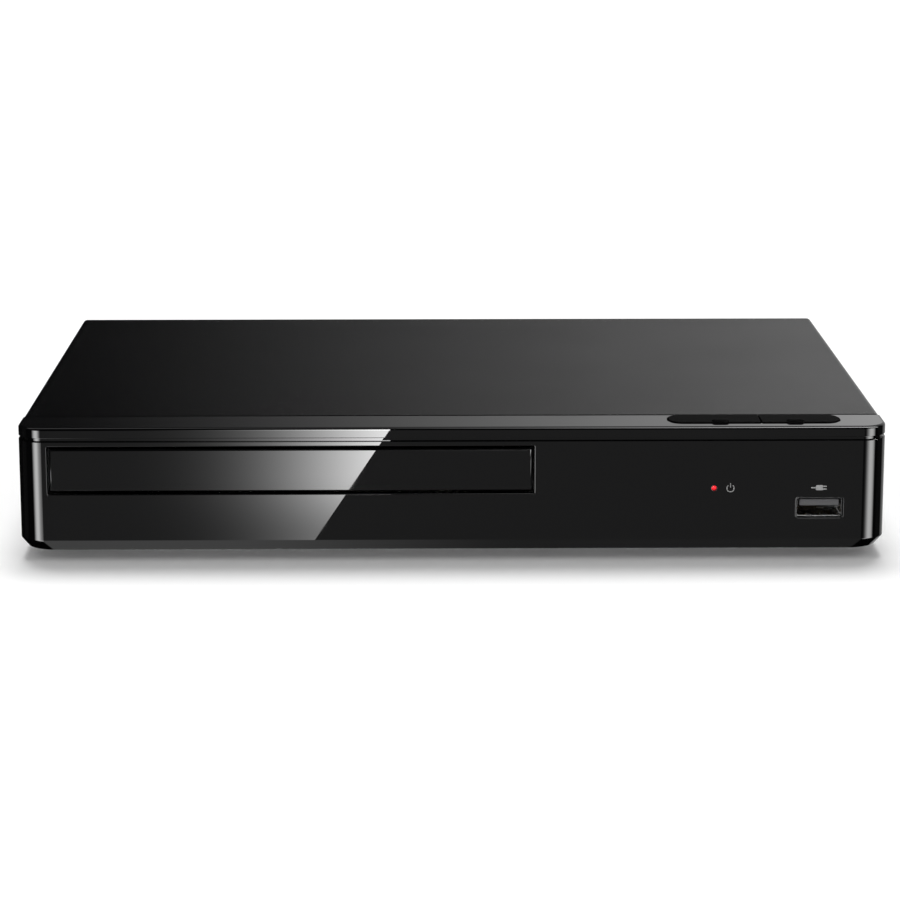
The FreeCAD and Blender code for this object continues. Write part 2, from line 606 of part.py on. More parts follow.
class Piece:
    """A body built up from padded and pocketed sketches.

    Plane XY has its sketch seen from above, XZ from the front and YZ from the right-hand
    side; low and high are levels along the plane's third axis.
    """

    def __init__(self, label, x=0, y=0, z=0):
        self.body = document.addObject("PartDesign::Body", label)
        self.body.Label = label
        self.body.AllowCompound = True
        self.features = 0
        place(self.body, x, y, z)

    def origin_feature(self, role):
        return next(item for item in self.body.Origin.OriginFeatures if item.Role == role)

    def sketch(self, plane, level, outlines):
        name = "%s_sketch_%d" % (self.body.Label, self.features)
        sketch = self.body.newObject("Sketcher::SketchObject", name)
        sketch.AttachmentSupport = [(self.origin_feature(plane + "_Plane"), "")]
        sketch.MapMode = "FlatFace"
        offset = 0 - level if plane == "XZ" else level
        sketch.AttachmentOffset = Placement(Vector(0, 0, value_of(offset)), Rotation())
        if isinstance(offset, Size):
            sketch.setExpression("AttachmentOffset.Base.z", offset.text)
        datums = []
        for outline in outlines:
            draw = draw_disc if isinstance(outline, Disc) else draw_outline
            datums += draw(sketch, outline)
        sketch.addConstraint([datum for datum, size in datums])
        for index, (datum, size) in enumerate(datums):
            if isinstance(size, Size):
                sketch.setExpression("Constraints[%d]" % index, size.text)
        return sketch

    def feature(self, kind, plane, level, depth, outlines):
        self.features += 1
        sketch = self.sketch(plane, level, outlines)
        name = "%s_%s_%d" % (self.body.Label, kind.lower(), self.features)
        feature = self.body.newObject("PartDesign::" + kind, name)
        feature.Profile = sketch
        bind(feature, "Length", depth)
        sketch.Visibility = False
        return feature

    def pad(self, plane, low, high, *outlines):
        return self.feature("Pad", plane, high if plane == "XZ" else low, high - low, outlines)

    def pocket(self, plane, low, high, *outlines):
        return self.feature("Pocket", plane, low if plane == "XZ" else high, high - low, outlines)

    def repeat(self, feature, axis, length, count):
        """Copies of a feature in a row along an axis."""
        self.features += 1
        row = self.body.newObject("PartDesign::LinearPattern", "%s_row_%d" % (self.body.Label, self.features))
        row.Originals = [feature]
        row.Direction = (self.origin_feature(axis + "_Axis"), [""])
        bind(row, "Length", length)
        row.Occurrences = count
        self.body.Tip = row

    def dress(self, kind, chosen, **sizes):
        """Fillet or chamfer on the edges that a test picks."""
        document.recompute()
        tip = self.body.Tip
        names = ["Edge%d" % (n + 1) for n, edge in enumerate(tip.Shape.Edges) if chosen(edge.BoundBox)]
        self.features += 1
        name = "%s_%s_%d" % (self.body.Label, kind.lower(), self.features)
        feature = self.body.newObject("PartDesign::" + kind, name)
        feature.Base = (tip, names)
        for name, size in sizes.items():
            bind(feature, name, size)
        self.body.Tip = feature
        return feature


def near(a, b):
    return abs(a - value_of(b)) < 1e-4


sub_parts = []


def keep(item):
    """Note a finished sub-part."""
    sub_parts.append(item)
    return item


def cylinder(label, x, y, z, radius, height):
    item = document.addObject("Part::Cylinder", label)
    bind(item, "Radius", radius)
    bind(item, "Height", height)
    place(item, x, y, z)
    return item


def block(label, x, y, z, length, width, height):
    """Box from its left, front, lowest corner."""
    item = document.addObject("Part::Box", label)
    bind(item, "Length", length)
    bind(item, "Width", width)
    bind(item, "Height", height)
    place(item, x, y, z)
    return item


# Front of the case

def front_panel():
    piece = Piece("front_panel", y=front_y)
    wall = s.panel_wall
    outer = rounded_front(half, 0, s.lip_depth, s.corner_radius)
    piece.pad("XY", base, case_top, outer)
    hem = piece.dress(
        "Chamfer",
        lambda edge: near(edge.ZMin, base) and near(edge.ZMax, base) and edge.YMin < value_of(s.lip_depth) - 1,
    )
    hem.ChamferType = "Two distances"
    bind(hem, "Size", s.hem_height)
    bind(hem, "Size2", s.hem_inset)
    piece.dress(
        "Fillet",
        lambda edge: near(edge.ZMin, case_top) and near(edge.ZMax, case_top)
        and edge.YMin < value_of(s.lip_depth) - 1,
        Radius=s.top_edge_radius,
    )
    groove_top = case_top - s.groove_drop
    beyond = 1
    piece.pocket(
        "XY", groove_top - s.groove_height, groove_top,
        box(-half - beyond, -beyond, half + beyond, s.lip_depth + beyond),
        rounded_front(half - s.groove_depth, s.groove_depth, s.lip_depth, s.corner_radius - s.groove_depth),
    )
    hollow = rounded_front(half - wall, wall, s.lip_depth + beyond, s.corner_radius - wall)
    piece.pocket("XY", base + wall, lip_under, hollow)
    piece.pocket(
        "XY", chassis_top + s.running_gap, base + wall + s.running_gap,
        box(loader_x - loader_half - s.loader_room, loader_front - s.loader_room,
            loader_x + loader_half + s.loader_room, s.lip_depth + beyond),
    )
    ledge_half = side_x
    ledge_top = case_top - s.steel - s.sheet_clearance
    skin = wall - s.steel - s.sheet_clearance
    piece.pad(
        "XZ", s.lip_depth, s.lip_depth + s.ledge_depth,
        [(-ledge_half, base + wall), (-ledge_half + skin, base + wall),
         (-ledge_half + skin, ledge_top - skin), (ledge_half - skin, ledge_top - skin),
         (ledge_half - skin, base + wall), (ledge_half, base + wall),
         (ledge_half, ledge_top, s.top_edge_radius), (-ledge_half, ledge_top, s.top_edge_radius)],
    )
    door_reach = tray_half + s.door_side + s.door_gap
    piece.pocket(
        "XZ", -beyond, wall + s.top_edge_radius,
        box(loader_x - door_reach, door_low - s.door_gap, loader_x + door_reach, door_high + s.door_gap),
        around(s.usb_x, case_top - s.usb_drop, s.usb_width + s.usb_margin * 2,
               s.usb_height + s.usb_margin * 2, s.door_gap),
        Disc(s.lamp_x, case_top - s.lamp_drop, s.lamp_radius + s.lamp_gap),
    )
    piece.pocket(
        "XY", lip_under - beyond, case_top + beyond,
        box(s.key_left - s.key_gap, s.key_front - s.key_gap, s.key_right + s.key_gap,
            s.key_front + s.key_depth + s.key_gap, s.key_radius + s.key_gap),
    )
    bosses = [Disc(x, key_middle, s.key_boss_radius) for x in key_boss_x]
    piece.pad("XY", key_board_top, lip_under, *bosses)
    bosses = [Disc(x, s.front_boss_inset, s.standoff_radius) for x in front_boss_x]
    piece.pad("XY", base + wall / 2, front_board_top - s.board_thickness, *bosses)
    return keep(piece.body)


def tray_door():
    piece = Piece("tray_door", x=loader_x, y=front_y)
    reach = tray_half + s.door_side
    piece.pad("XZ", 0, s.door_thickness, box(-reach, door_low, reach, door_high))
    piece.dress("Chamfer", lambda edge: near(edge.YMin, 0) and near(edge.YMax, 0), Size=s.door_bevel)
    clips = [around(side * s.clip_spacing, disc_floor, s.clip_width, s.door_clip) for side in (-1, 0, 1)]
    piece.pad("XZ", s.door_thickness, tray_front, *clips)
    return keep(piece.body)


key_top = case_top + s.key_proud
flange_high = lip_under - s.key_gap
flange_low = flange_high - s.key_flange
plunger_high = flange_low - s.stem_length
switch_top = plunger_high - s.plunger_proud
key_board_top = switch_top - s.switch_height
key_boss_x = (s.key_left - s.key_boss_reach, s.key_right + s.key_boss_reach)
key_middle = s.key_front + s.key_depth / 2
power_right = s.key_split - s.key_gap / 2
open_left = s.key_split + s.key_gap / 2
power_stem = (s.key_left + power_right) / 2
open_stem = (open_left + s.key_right) / 2
front_board_top = case_top - s.usb_drop - s.usb_height / 2
front_boss_x = (s.front_board_left + s.screw_inset, s.front_board_left + s.front_board_width - s.screw_inset)


def key(label, left, right, nub, outer_end):
    """Key cap with a flange under the panel, a stem and an oval nub."""
    piece = Piece(label, y=front_y)
    back = s.key_front + s.key_depth
    reach = s.key_flange_reach
    front = s.key_front
    if outer_end == "left":
        cap = [(left, front, s.key_radius), (right, front), (right, back), (left, back, s.key_radius)]
        flange = box(left - reach, front - reach, right, back + reach)
    else:
        cap = [(left, front), (right, front, s.key_radius), (right, back, s.key_radius), (left, back)]
        flange = box(left, front - reach, right + reach, back + reach)
    piece.pad("XY", flange_high, key_top, cap)
    piece.pad("XY", flange_low, flange_high, flange)
    nub_u = front + s.nub_width / 2 + s.key_gap
    piece.pad(
        "XY", key_top, key_top + s.nub_proud,
        around(nub, nub_u, s.nub_length, s.nub_width, s.nub_width / 2 - s.bearing_gap),
    )
    piece.pad("XY", plunger_high, flange_low, Disc((left + right) / 2, key_middle, s.stem_radius))
    return keep(piece.body)


def key_plunger(label, x):
    sunk = s.key_travel
    return keep(cylinder(label, x, front_y + key_middle, switch_top - sunk, s.plunger_radius,
                         plunger_high - switch_top + sunk))


def key_board():
    piece = Piece("button_board", y=front_y)
    left = key_boss_x[0] - s.key_boss_radius * 2
    right = key_boss_x[1] + s.key_boss_radius * 2
    piece.pad("XY", key_board_top - s.board_thickness, key_board_top,
              box(left, s.key_front, right, s.key_front + s.key_depth))
    return keep(piece.body)


def tact_switches():
    piece = Piece("tact_switches", y=front_y)
    middles = (power_stem, open_stem)
    piece.pad("XY", key_board_top, switch_top,
              *[around(x, key_middle, s.switch_width, s.switch_width) for x in middles])
    piece.pocket("XY", switch_top - s.plunger_bore, switch_top,
                 *[Disc(x, key_middle, s.plunger_radius + s.plunger_gap) for x in middles])
    return keep(piece.body)


def front_board():
    piece = Piece("front_board", y=front_y)
    piece.pad("XY", front_board_top - s.board_thickness, front_board_top,
              box(s.front_board_left, s.front_board_inset, s.front_board_left + s.front_board_width,
                  s.front_board_inset + s.front_board_depth))
    return keep(piece.body)


def usb_shell():
    piece = Piece("usb_shell", x=s.usb_x, y=front_y)
    front = s.usb_inset
    middle = case_top - s.usb_drop
    piece.pad("XZ", front, front + s.usb_length, around(0, middle, s.usb_width, s.usb_height))
    piece.pocket("XZ", front - s.usb_skin, front + s.usb_length - s.usb_back,
                 around(0, middle, s.usb_width - s.usb_skin * 2, s.usb_height - s.usb_skin * 2))
    return keep(piece.body)


def usb_tongue():
    back = s.usb_inset + s.usb_length - s.usb_back
    top = case_top - s.usb_drop + s.usb_height / 2 - s.usb_skin - s.tongue_gap
    return keep(block("usb_tongue", s.usb_x - s.tongue_width / 2, front_y + back - s.tongue_length,
                      top - s.tongue_height, s.tongue_width, s.tongue_length, s.tongue_height))


def power_led():
    piece = Piece("power_led", x=s.lamp_x, y=front_y)
    middle = case_top - s.lamp_drop
    leg = s.lead_width
    bulb_front = s.panel_wall + s.bulb_gap
    bulb_back = bulb_front + s.bulb_length
    legs_back = bulb_back + s.lead_length
    reach = s.lead_spacing / 2
    piece.pad("XZ", s.lamp_inset, bulb_front, Disc(0, middle, s.lamp_radius))
    piece.pad("XZ", bulb_front, bulb_back, Disc(0, middle, s.bulb_radius))
    lead = [around(side * reach, middle, leg, leg) for side in (-1, 1)]
    piece.pad("XZ", bulb_back, legs_back, *lead)
    foot = [around(side * reach, legs_back - leg / 2, leg, leg) for side in (-1, 1)]
    piece.pad("XY", front_board_top, middle + leg / 2, *foot)
    return keep(piece.body)


def remote_sensor():
    piece = Piece("remote_sensor", x=s.lamp_x + s.sensor_offset, y=front_y)
    front = s.sensor_inset
    middle = case_top - s.lamp_drop
    piece.pad("XY", front_board_top, middle + s.sensor_lens + s.sensor_crown,
              box(-s.sensor_width / 2, front, s.sensor_width / 2, front + s.sensor_thickness))
    piece.pad("XZ", front - s.sensor_lens, front, Disc(0, middle, s.sensor_lens))
    return keep(piece.body)


# Shells and screws of the case

def feet():
    back_u = case_depth - s.foot_back
    foot_x = half - s.foot_side
    for label, x, u in (
        ("front_left_foot", -foot_x, s.foot_inset), ("front_right_foot", foot_x, s.foot_inset),
        ("rear_left_foot", -foot_x, back_u), ("rear_right_foot", foot_x, back_u),
    ):
        piece = Piece(label, x=x, y=front_y + u)
        piece.pad("XY", 0, s.foot_height, Disc(0, 0, s.foot_radius))
        piece.dress("Chamfer", lambda edge: near(edge.ZMin, 0) and near(edge.ZMax, 0), Size=s.foot_bevel)
        keep(piece.body)


def board_screws(left, width, front, depth):
    """Screw places at the four corners of a board."""
    inset = s.screw_inset
    return [(x, u) for x in (left + inset, left + width - inset)
            for u in (front + inset, front + depth - s.screw_back)]


main_screws = board_screws(main_left, s.main_board_width, s.main_board_front, s.main_board_depth)
power_screws = board_screws(power_left, s.power_board_width, s.power_board_front, s.power_board_depth)
loader_screw_x = loader_inner - s.loader_screw_side
loader_screws = [
    (loader_x + side * loader_screw_x, u) for side in (-1, 1)
    for u in (loader_front + s.loader_screw_front, loader_back - s.loader_screw_inset)
]
loader_seat = floor_top + s.seat_rise
screw_hole = s.screw_radius + s.screw_clearance
cover_screw_z = case_top - s.cover_flange / 2 - s.steel
cover_screw_places = (s.cover_screw_side - half, 0, half - s.cover_screw_side)
chassis_front = cover_front


def cooling_slots(piece, plane, low, high, first, middle, length, count):
    """Row of slots with round ends, repeated along the plane's first axis."""
    slot = around(first, middle, s.slot_width, length, s.slot_width / 2 - s.bearing_gap)
    cut = piece.pocket(plane, low, high, slot)
    piece.repeat(cut, "Y" if plane == "YZ" else "X", s.slot_pitch * (count - 1), count)


def bottom_chassis():
    piece = Piece("bottom_chassis", y=front_y)
    piece.pad("XY", base, chassis_top, box(-side_x, chassis_front, side_x, rear_u))
    flange_front = s.lip_depth + s.ledge_depth + s.running_gap
    piece.pad("XY", chassis_top, base + s.flange_height,
              box(-side_x, flange_front, -side_x + s.steel, rear_u),
              box(side_x - s.steel, flange_front, side_x, rear_u))
    board_low = chassis_top + s.board_lift
    piece.pad("XY", chassis_top, board_low,
              *[Disc(x, u, s.standoff_radius) for x, u in main_screws + power_screws])
    piece.pad("XY", chassis_top, loader_base, *[Disc(x, u, s.standoff_radius) for x, u in loader_screws])
    piece.pocket("XY", chassis_top, board_low, *[Disc(x, u, screw_hole) for x, u in main_screws + power_screws])
    piece.pocket("XY", base, loader_base, *[Disc(x, u, screw_hole) for x, u in loader_screws])
    for share in (2, 4):
        cooling_slots(piece, "XY", base - s.steel, chassis_top, power_left + s.slot_pitch,
                      s.power_board_front + s.power_board_depth / share, s.slot_length, 7)
    return keep(piece.body)


def top_cover():
    piece = Piece("top_cover", y=front_y)
    low = base + s.cover_lift
    inner = half - s.steel
    bend = s.bend_radius
    tight = s.bend_radius - s.steel
    piece.pad("XZ", cover_front, case_depth, [
        (-half, low), (-inner, low), (-inner, case_top - s.steel, tight), (inner, case_top - s.steel, tight),
        (inner, low), (half, low), (half, case_top, bend), (-half, case_top, bend),
    ])
    piece.pad("XZ", case_depth - s.steel, case_depth,
              box(-inner + s.steel, case_top - s.cover_flange, inner - s.steel, case_top - s.steel / 2))
    piece.pocket("XZ", case_depth - s.steel * 2, case_depth,
                 *[Disc(x, cover_screw_z, screw_hole) for x in cover_screw_places])
    for left, right in ((-half - 1, -inner + 1), (inner - 1, half + 1)):
        cooling_slots(piece, "YZ", left, right, s.side_slot_front, base + s.side_slot_rise,
                      s.side_slot_length, 12)
    return keep(piece.body)


hdmi_x = main_left + s.hdmi_x
hdmi_z = board_top + s.hdmi_height / 2
lan_x = main_left + s.lan_x
lan_z = board_top + s.lan_height / 2
coax_x = main_left + s.coax_x
coax_z = board_top + s.coax_height
inlet_x = power_left + s.inlet_x
inlet_z = board_top + s.inlet_height
socket_back = rear_u + s.steel + s.socket_reach


def rear_panel():
    piece = Piece("rear_panel", y=front_y)
    top = case_top - s.steel - s.sheet_clearance
    margin = s.socket_margin * 2
    piece.pad("XZ", rear_u, rear_u + s.steel, box(-side_x, base, side_x, top))
    piece.pocket(
        "XZ", rear_u - 1, rear_u + s.steel,
        around(hdmi_x, hdmi_z, s.hdmi_width + margin, s.hdmi_height + margin, s.socket_margin),
        around(lan_x, lan_z, s.lan_width + margin, s.lan_height + margin, s.socket_margin),
        Disc(coax_x, coax_z, s.coax_radius + s.socket_margin + s.collar_gap),
        around(inlet_x, inlet_z, s.inlet_width + margin, s.inlet_body_height + margin,
               s.inlet_corner + s.socket_margin),
        *[Disc(x, cover_screw_z, s.screw_radius) for x in cover_screw_places],
    )
    cooling_slots(piece, "XZ", rear_u - 1, rear_u + s.steel, -s.rear_slot_left, base + s.rear_slot_rise,
                  s.slot_length, 14)
    return keep(piece.body)


def cover_screws():
    piece = Piece("cover_screws", y=front_y)
    piece.pad("XZ", case_depth - s.screw_grip, case_depth,
              *[Disc(x, cover_screw_z, s.screw_radius - s.bearing_gap) for x in cover_screw_places])
    piece.pad("XZ", case_depth, case_depth + s.screw_head_height,
              *[Disc(x, cover_screw_z, s.screw_head) for x in cover_screw_places])
    return keep(piece.body)


def inner_screws():
    """Screws of the boards and the loader, one group of alike pieces."""
    piece = Piece("inner_screws", y=front_y)
    boards = main_screws + power_screws
    for seat, places in ((board_top, boards), (loader_seat, loader_screws)):
        piece.pad("XY", seat - s.screw_grip, seat, *[Disc(x, u, s.screw_radius) for x, u in places])
        piece.pad("XY", seat, seat + s.screw_head_height, *[Disc(x, u, s.screw_head) for x, u in places])
    return keep(piece.body)


# Boards and what stands on them

def flat_board(label, left, width, front, depth, screws):
    piece = Piece(label, y=front_y)
    piece.pad("XY", board_top - s.board_thickness, board_top, box(left, front, left + width, front + depth))
    piece.pocket("XY", board_top - s.board_thickness, board_top, *[Disc(x, u, screw_hole) for x, u in screws])
    return keep(piece.body)


processor_x = main_left + s.main_board_width / 2
processor_u = s.main_board_front + s.processor_u
sink_low = board_top + s.processor_height


def main_processor():
    width = s.processor_width
    return keep(block("main_processor", processor_x - width / 2, front_y + processor_u - width / 2, board_top,
                      width, width, s.processor_height))


def heat_sink():
    piece = Piece("heat_sink", x=processor_x, y=front_y + processor_u)
    width = s.heat_sink_width
    piece.pad("XY", sink_low, sink_low + s.heat_sink_base, around(0, 0, width, width))
    count = int(value_of(width) // value_of(s.fin_pitch))
    first = (count - 1) / -2
    piece.pad("XY", sink_low + s.heat_sink_base, sink_low + s.heat_sink_base + s.fin_height, *[
        around((first + step) * s.fin_pitch, 0, s.fin_thickness, width) for step in range(count)
    ])
    return keep(piece.body)


def memory_chips():
    piece = Piece("memory_chips", x=processor_x, y=front_y + processor_u)
    row_u = s.heat_sink_width / 2 + s.memory_length
    piece.pad("XY", board_top, board_top + s.memory_height, *[
        around(side * s.memory_width, end * row_u, s.memory_width, s.memory_length)
        for side in (-1, 1) for end in (-1, 1)
    ])
    return keep(piece.body)


def hdmi_socket():
    """Shell with a mouth that narrows downwards, and the tongue in its middle."""
    piece = Piece("hdmi_socket", x=hdmi_x, y=front_y)
    front = socket_back - s.hdmi_length
    skin = s.hdmi_skin
    reach = s.hdmi_width / 2 - skin
    narrow = reach - s.hdmi_slope
    low = board_top + skin
    top = board_top + s.hdmi_height - skin
    shoulder = low + s.hdmi_shoulder
    piece.pad("XZ", front, socket_back, around(0, hdmi_z, s.hdmi_width, s.hdmi_height))
    mouth = [(-narrow, low), (narrow, low), (reach, shoulder), (reach, top), (-reach, top), (-reach, shoulder)]
    piece.pocket("XZ", front + s.hdmi_back, socket_back, mouth)
    piece.pad("XZ", front + s.hdmi_back, socket_back - s.hdmi_tongue_inset,
              around(0, hdmi_z + skin / 2, s.hdmi_tongue_width, s.hdmi_tongue_height))
    return keep(piece.body)


def lan_socket():
    piece = Piece("lan_socket", x=lan_x, y=front_y)
    front = socket_back - s.lan_length
    piece.pad("XZ", front, socket_back, around(0, lan_z, s.lan_width, s.lan_height))
    piece.pocket("XZ", front + s.lan_back, socket_back,
                 around(0, lan_z, s.lan_mouth_width, s.lan_mouth_height))
    piece.pocket("XZ", front + s.lan_back, socket_back,
                 around(0, lan_z - s.lan_mouth_height / 2, s.lan_latch_width, s.lan_latch_height * 2))
    return keep(piece.body)


coax_tip = case_depth + s.jack_reach


def coax_jack():
    piece = Piece("coax_jack", x=coax_x, y=front_y)
    sleeve_bore = s.coax_radius - s.coax_skin
    piece.pad("XZ", rear_u - s.coax_block, rear_u, box(-s.coax_block / 2, board_top, s.coax_block / 2,
                                                      coax_z + s.coax_block / 2))
    collar = s.coax_radius + s.socket_margin
    piece.pad("XZ", rear_u, case_depth, Disc(0, coax_z, collar))
    piece.pad("XZ", case_depth, coax_tip, Disc(0, coax_z, s.coax_radius))
    piece.pocket("XZ", rear_u - s.coax_block / 2, coax_tip, Disc(0, coax_z, sleeve_bore))
    return keep(piece.body)


def coax_insulator():
    piece = Piece("coax_insulator", x=coax_x, y=front_y)
    piece.pad("XZ", rear_u - s.coax_block / 2, coax_tip - s.coax_sink,
              Disc(0, coax_z, s.coax_radius - s.coax_skin))
    piece.pocket("XZ", rear_u - s.coax_hole_back, coax_tip, Disc(0, coax_z, s.coax_pin_hole))
    return keep(piece.body)


def mains_inlet():
    """Housing with a mouth of two joined circles and two pins."""
    piece = Piece("mains_inlet", x=inlet_x, y=front_y)
    front = socket_back - s.inlet_length
    mouth_front = socket_back - s.inlet_mouth_depth
    piece.pad("XZ", front, socket_back, around(0, inlet_z, s.inlet_width, s.inlet_body_height, s.inlet_corner))
    piece.pocket("XZ", mouth_front, socket_back,
                 around(0, inlet_z, s.inlet_mouth_width, s.inlet_mouth_height,
                        s.inlet_mouth_height / 2 - s.bearing_gap))
    piece.pad("XZ", mouth_front, mouth_front + s.inlet_pin_length,
              *[Disc(side * s.inlet_pin_spacing / 2, inlet_z, s.inlet_pin_radius) for side in (-1, 1)])
    return keep(piece.body)


power_middle = power_left + s.power_board_width / 2


def transformer():
    """Core with the windings showing at both ends."""
    piece = Piece("transformer", x=power_middle, y=front_y + s.power_board_front + s.power_board_depth / 2)
    top = board_top + s.core_height
    piece.pad("XY", board_top, top, around(0, 0, s.core_width, s.core_length))
    piece.pad("YZ", -s.core_width / 4, s.core_width / 4,
              around(0, board_top + s.core_height / 2, s.core_length + s.winding_reach * 2,
                     s.core_height - s.winding_reach * 2, s.winding_reach))
    return keep(piece.body)


def bulk_capacitor():
    u = s.power_board_front + s.power_board_depth / 4
    return keep(cylinder("bulk_capacitor", power_middle - s.capacitor_side, front_y + u, board_top,
                         s.capacitor_radius, s.capacitor_height))


def fuse():
    piece = Piece("fuse", x=power_left + s.power_board_width - s.fuse_inset,
                  y=front_y + s.power_board_front + s.power_board_depth * 3 / 4)
    middle = board_top + s.fuse_radius
    piece.pad("XZ", -s.fuse_length / 2, s.fuse_length / 2, Disc(0, middle, s.fuse_radius))
    return keep(piece.body)


def power_harness():
    """Row of wires that arch from one board to the other."""
    x = power_left - s.board_room / 2
    u = s.power_board_front + s.power_board_depth / 2
    wires = []
    for step in range(5):
        wire = document.addObject("Part::Torus", "power_wire_%d" % step)
        bind(wire, "Radius1", s.wire_arch)
        bind(wire, "Radius2", s.wire_radius)
        wire.Angle3 = 180
        wire.Placement.Rotation = Rotation(Vector(1, 0, 0), 90)
        place(wire, x, front_y + u + step * s.wire_pitch, board_top)
        wires.append(wire)
    harness = document.addObject("Part::Compound", "power_harness")
    harness.Links = wires
    return keep(harness)


def front_ribbon():
    """Ribbon cable that arches from the main board to the front board."""
    piece = Piece("front_ribbon", x=s.front_board_left + s.ribbon_inset, y=front_y)
    near_u = s.front_board_inset + s.front_board_depth - s.ribbon_foot
    far_u = s.main_board_front + s.ribbon_foot
    skin = s.ribbon_thickness
    crown = front_board_top + s.ribbon_rise
    piece.pad("YZ", 0, s.ribbon_width, [
        (near_u, front_board_top), (near_u + skin, front_board_top), (near_u + skin, crown - skin, skin),
        (far_u - skin, crown - skin, skin), (far_u - skin, board_top), (far_u, board_top),
        (far_u, crown, skin * 2), (near_u, crown, skin * 2),
    ])
    return keep(piece.body)


# Loader: frame, tray and clamp

rack_x = tray_half - s.rack_inset
gear_u = loader_front + s.gear_row
tray_gear_x = rack_x - s.tray_module * (TRAY_TEETH / 2)
reduction_x = tray_gear_x - s.step_module * ((STEP_WHEEL + STEP_PINION) / 2)
pulley_x = reduction_x - s.first_module * ((FIRST_WHEEL + FIRST_PINION) / 2)
motor_x = pulley_x - s.belt_span
tray_wheel_high = tray_level - s.wheel_gap
tray_wheel_low = tray_wheel_high - s.wheel_width
step_low = floor_top + s.gear_lift
step_high = step_low + s.wheel_width
first_low = step_high + s.wheel_gap
first_high = first_low + s.first_width
belt_middle = floor_top + s.motor_height + s.belt_lift
pulley_low = belt_middle - s.pulley_width / 2
pulley_high = belt_middle + s.pulley_width / 2
cam_u = s.window_front - s.cam_wall * 2
pin_z = tray_level - s.traverse_drop + s.cam_pin_rise
traverse_low = tray_level - s.traverse_drop
traverse_high = traverse_low + s.traverse_thickness
traverse_half = s.traverse_width / 2
hinge_u = tray_back - s.hinge_inset
hinge_z = traverse_low + s.hinge_height
lug_left = s.window_width / 2 + s.running_gap


def mirrored(x0, y0, x1, y1):
    """A rectangle and its mirror image across the middle."""
    return [box(x0, y0, x1, y1), box(-x1, y0, -x0, y1)]


def loader_frame():
    piece = Piece("loader_frame", x=loader_x, y=front_y)
    piece.pad("XY", loader_base, floor_top, box(-loader_half, loader_front, loader_half, loader_back))
    window = s.window_width / 2
    piece.pocket("XY", loader_base, floor_top,
                 box(-window, s.window_front, window, loader_back - s.loader_screw_inset))
    piece.pad("XY", loader_base, loader_top, *mirrored(loader_inner, loader_front, loader_half, loader_back))
    piece.pad("XY", loader_base, tray_level,
              box(-loader_inner, loader_back - s.loader_wall, loader_inner, loader_back))
    ledge_high = tray_level - s.rail_height - s.running_gap
    piece.pad("XY", ledge_high - s.rail_ledge_thickness, ledge_high,
              *mirrored(loader_inner - s.ledge_width, loader_front, loader_inner, loader_back))
    tab_low = tray_rim + s.running_gap
    tabs = []
    for u in (loader_front + s.tab_front, loader_front + s.tab_second, disc_u + s.tab_last):
        tabs += mirrored(loader_inner - s.tab_reach, u, loader_inner, u + s.tab_length)
    piece.pad("XY", tab_low, tab_low + s.tab_thickness, *tabs)
    piece.pad("XY", loader_base, hinge_z + s.lug_back,
              *mirrored(lug_left, hinge_u - s.lug_front, lug_left + s.lug_width, hinge_u + s.lug_back))
    bore = s.hinge_radius + s.bearing_gap
    piece.pocket("YZ", -lug_left - s.lug_width, lug_left + s.lug_width, Disc(hinge_u, hinge_z, bore))
    posts = (
        (tray_gear_x, step_low + s.wheel_gap - s.running_gap, tray_wheel_high - s.running_gap),
        (reduction_x, step_low - s.running_gap, first_high + s.hub_rise + s.running_gap),
        (pulley_x, first_low - s.pulley_sink - s.running_gap, pulley_high - s.running_gap),
    )
    for x, shoulder_high, post_high in posts:
        piece.pad("XY", floor_top, shoulder_high, Disc(x, gear_u, s.shoulder_radius))
        piece.pad("XY", shoulder_high, post_high, Disc(x, gear_u, s.post_radius))
    ridge_back = cam_u + s.cam_wall + s.running_gap
    ridge_reach = loader_inner - s.ledge_width
    ridge_front = cam_u - s.cam_foot - s.running_gap
    piece.pad("XY", floor_top, floor_top + s.ridge_height,
              box(-ridge_reach, ridge_back, ridge_reach, s.window_front),
              box(-ridge_reach, ridge_front - s.ridge_width, rack_x, ridge_front))
    piece.pad("XY", floor_top, loader_seat, *[Disc(x - loader_x, u, s.seat_radius) for x, u in loader_screws])
    piece.pocket("XY", loader_base, loader_seat,
                 *[Disc(x - loader_x, u, screw_hole) for x, u in loader_screws])
    return keep(piece.body)


def disc_tray():
    piece = Piece("disc_tray", x=loader_x, y=front_y)
    piece.pad("XY", tray_level, tray_rim, [
        (-tray_half, tray_front), (tray_half, tray_front), (tray_half, tray_back, s.tray_corner),
        (-tray_half, tray_back, s.tray_corner),
    ])
    piece.pocket("XY", disc_floor, tray_rim, Disc(0, disc_u, s.disc_diameter / 2 + s.well_room))
    piece.pocket("XY", disc_floor - s.small_well_depth, disc_floor,
                 Disc(0, disc_u, s.small_disc / 2 + s.well_room))
    reach = s.slot_radius
    piece.pocket("XY", tray_level, tray_rim, [
        (-reach, disc_u - reach, reach - s.bearing_gap), (reach, disc_u - reach, reach - s.bearing_gap),
        (reach, tray_back + reach), (-reach, tray_back + reach),
    ])
    rail_low = tray_level - s.rail_height
    piece.pad("XY", rail_low, tray_level,
              *mirrored(tray_half - s.rail_width, tray_front, tray_half, tray_back - s.tray_corner))
    root = rack_x + s.tray_module * ROOT_DEPTH
    rack_low = tray_level - s.rack_height
    piece.pad("XY", rack_low, tray_level,
              box(root, gear_u - s.rack_front, root + s.rack_back, tray_back))
    tooth = rack_tooth(rack_x, -1, gear_u - rack_pitch(s.tray_module) * RACK_LEAD, s.tray_module)
    first = piece.pad("XY", rack_low, tray_level, tooth)
    pitch = rack_pitch(s.tray_module)
    count = int(value_of(tray_back - gear_u + pitch * RACK_LEAD) // value_of(pitch)) + 1
    piece.repeat(first, "Y", pitch * (count - 1), count)
    return keep(piece.body)


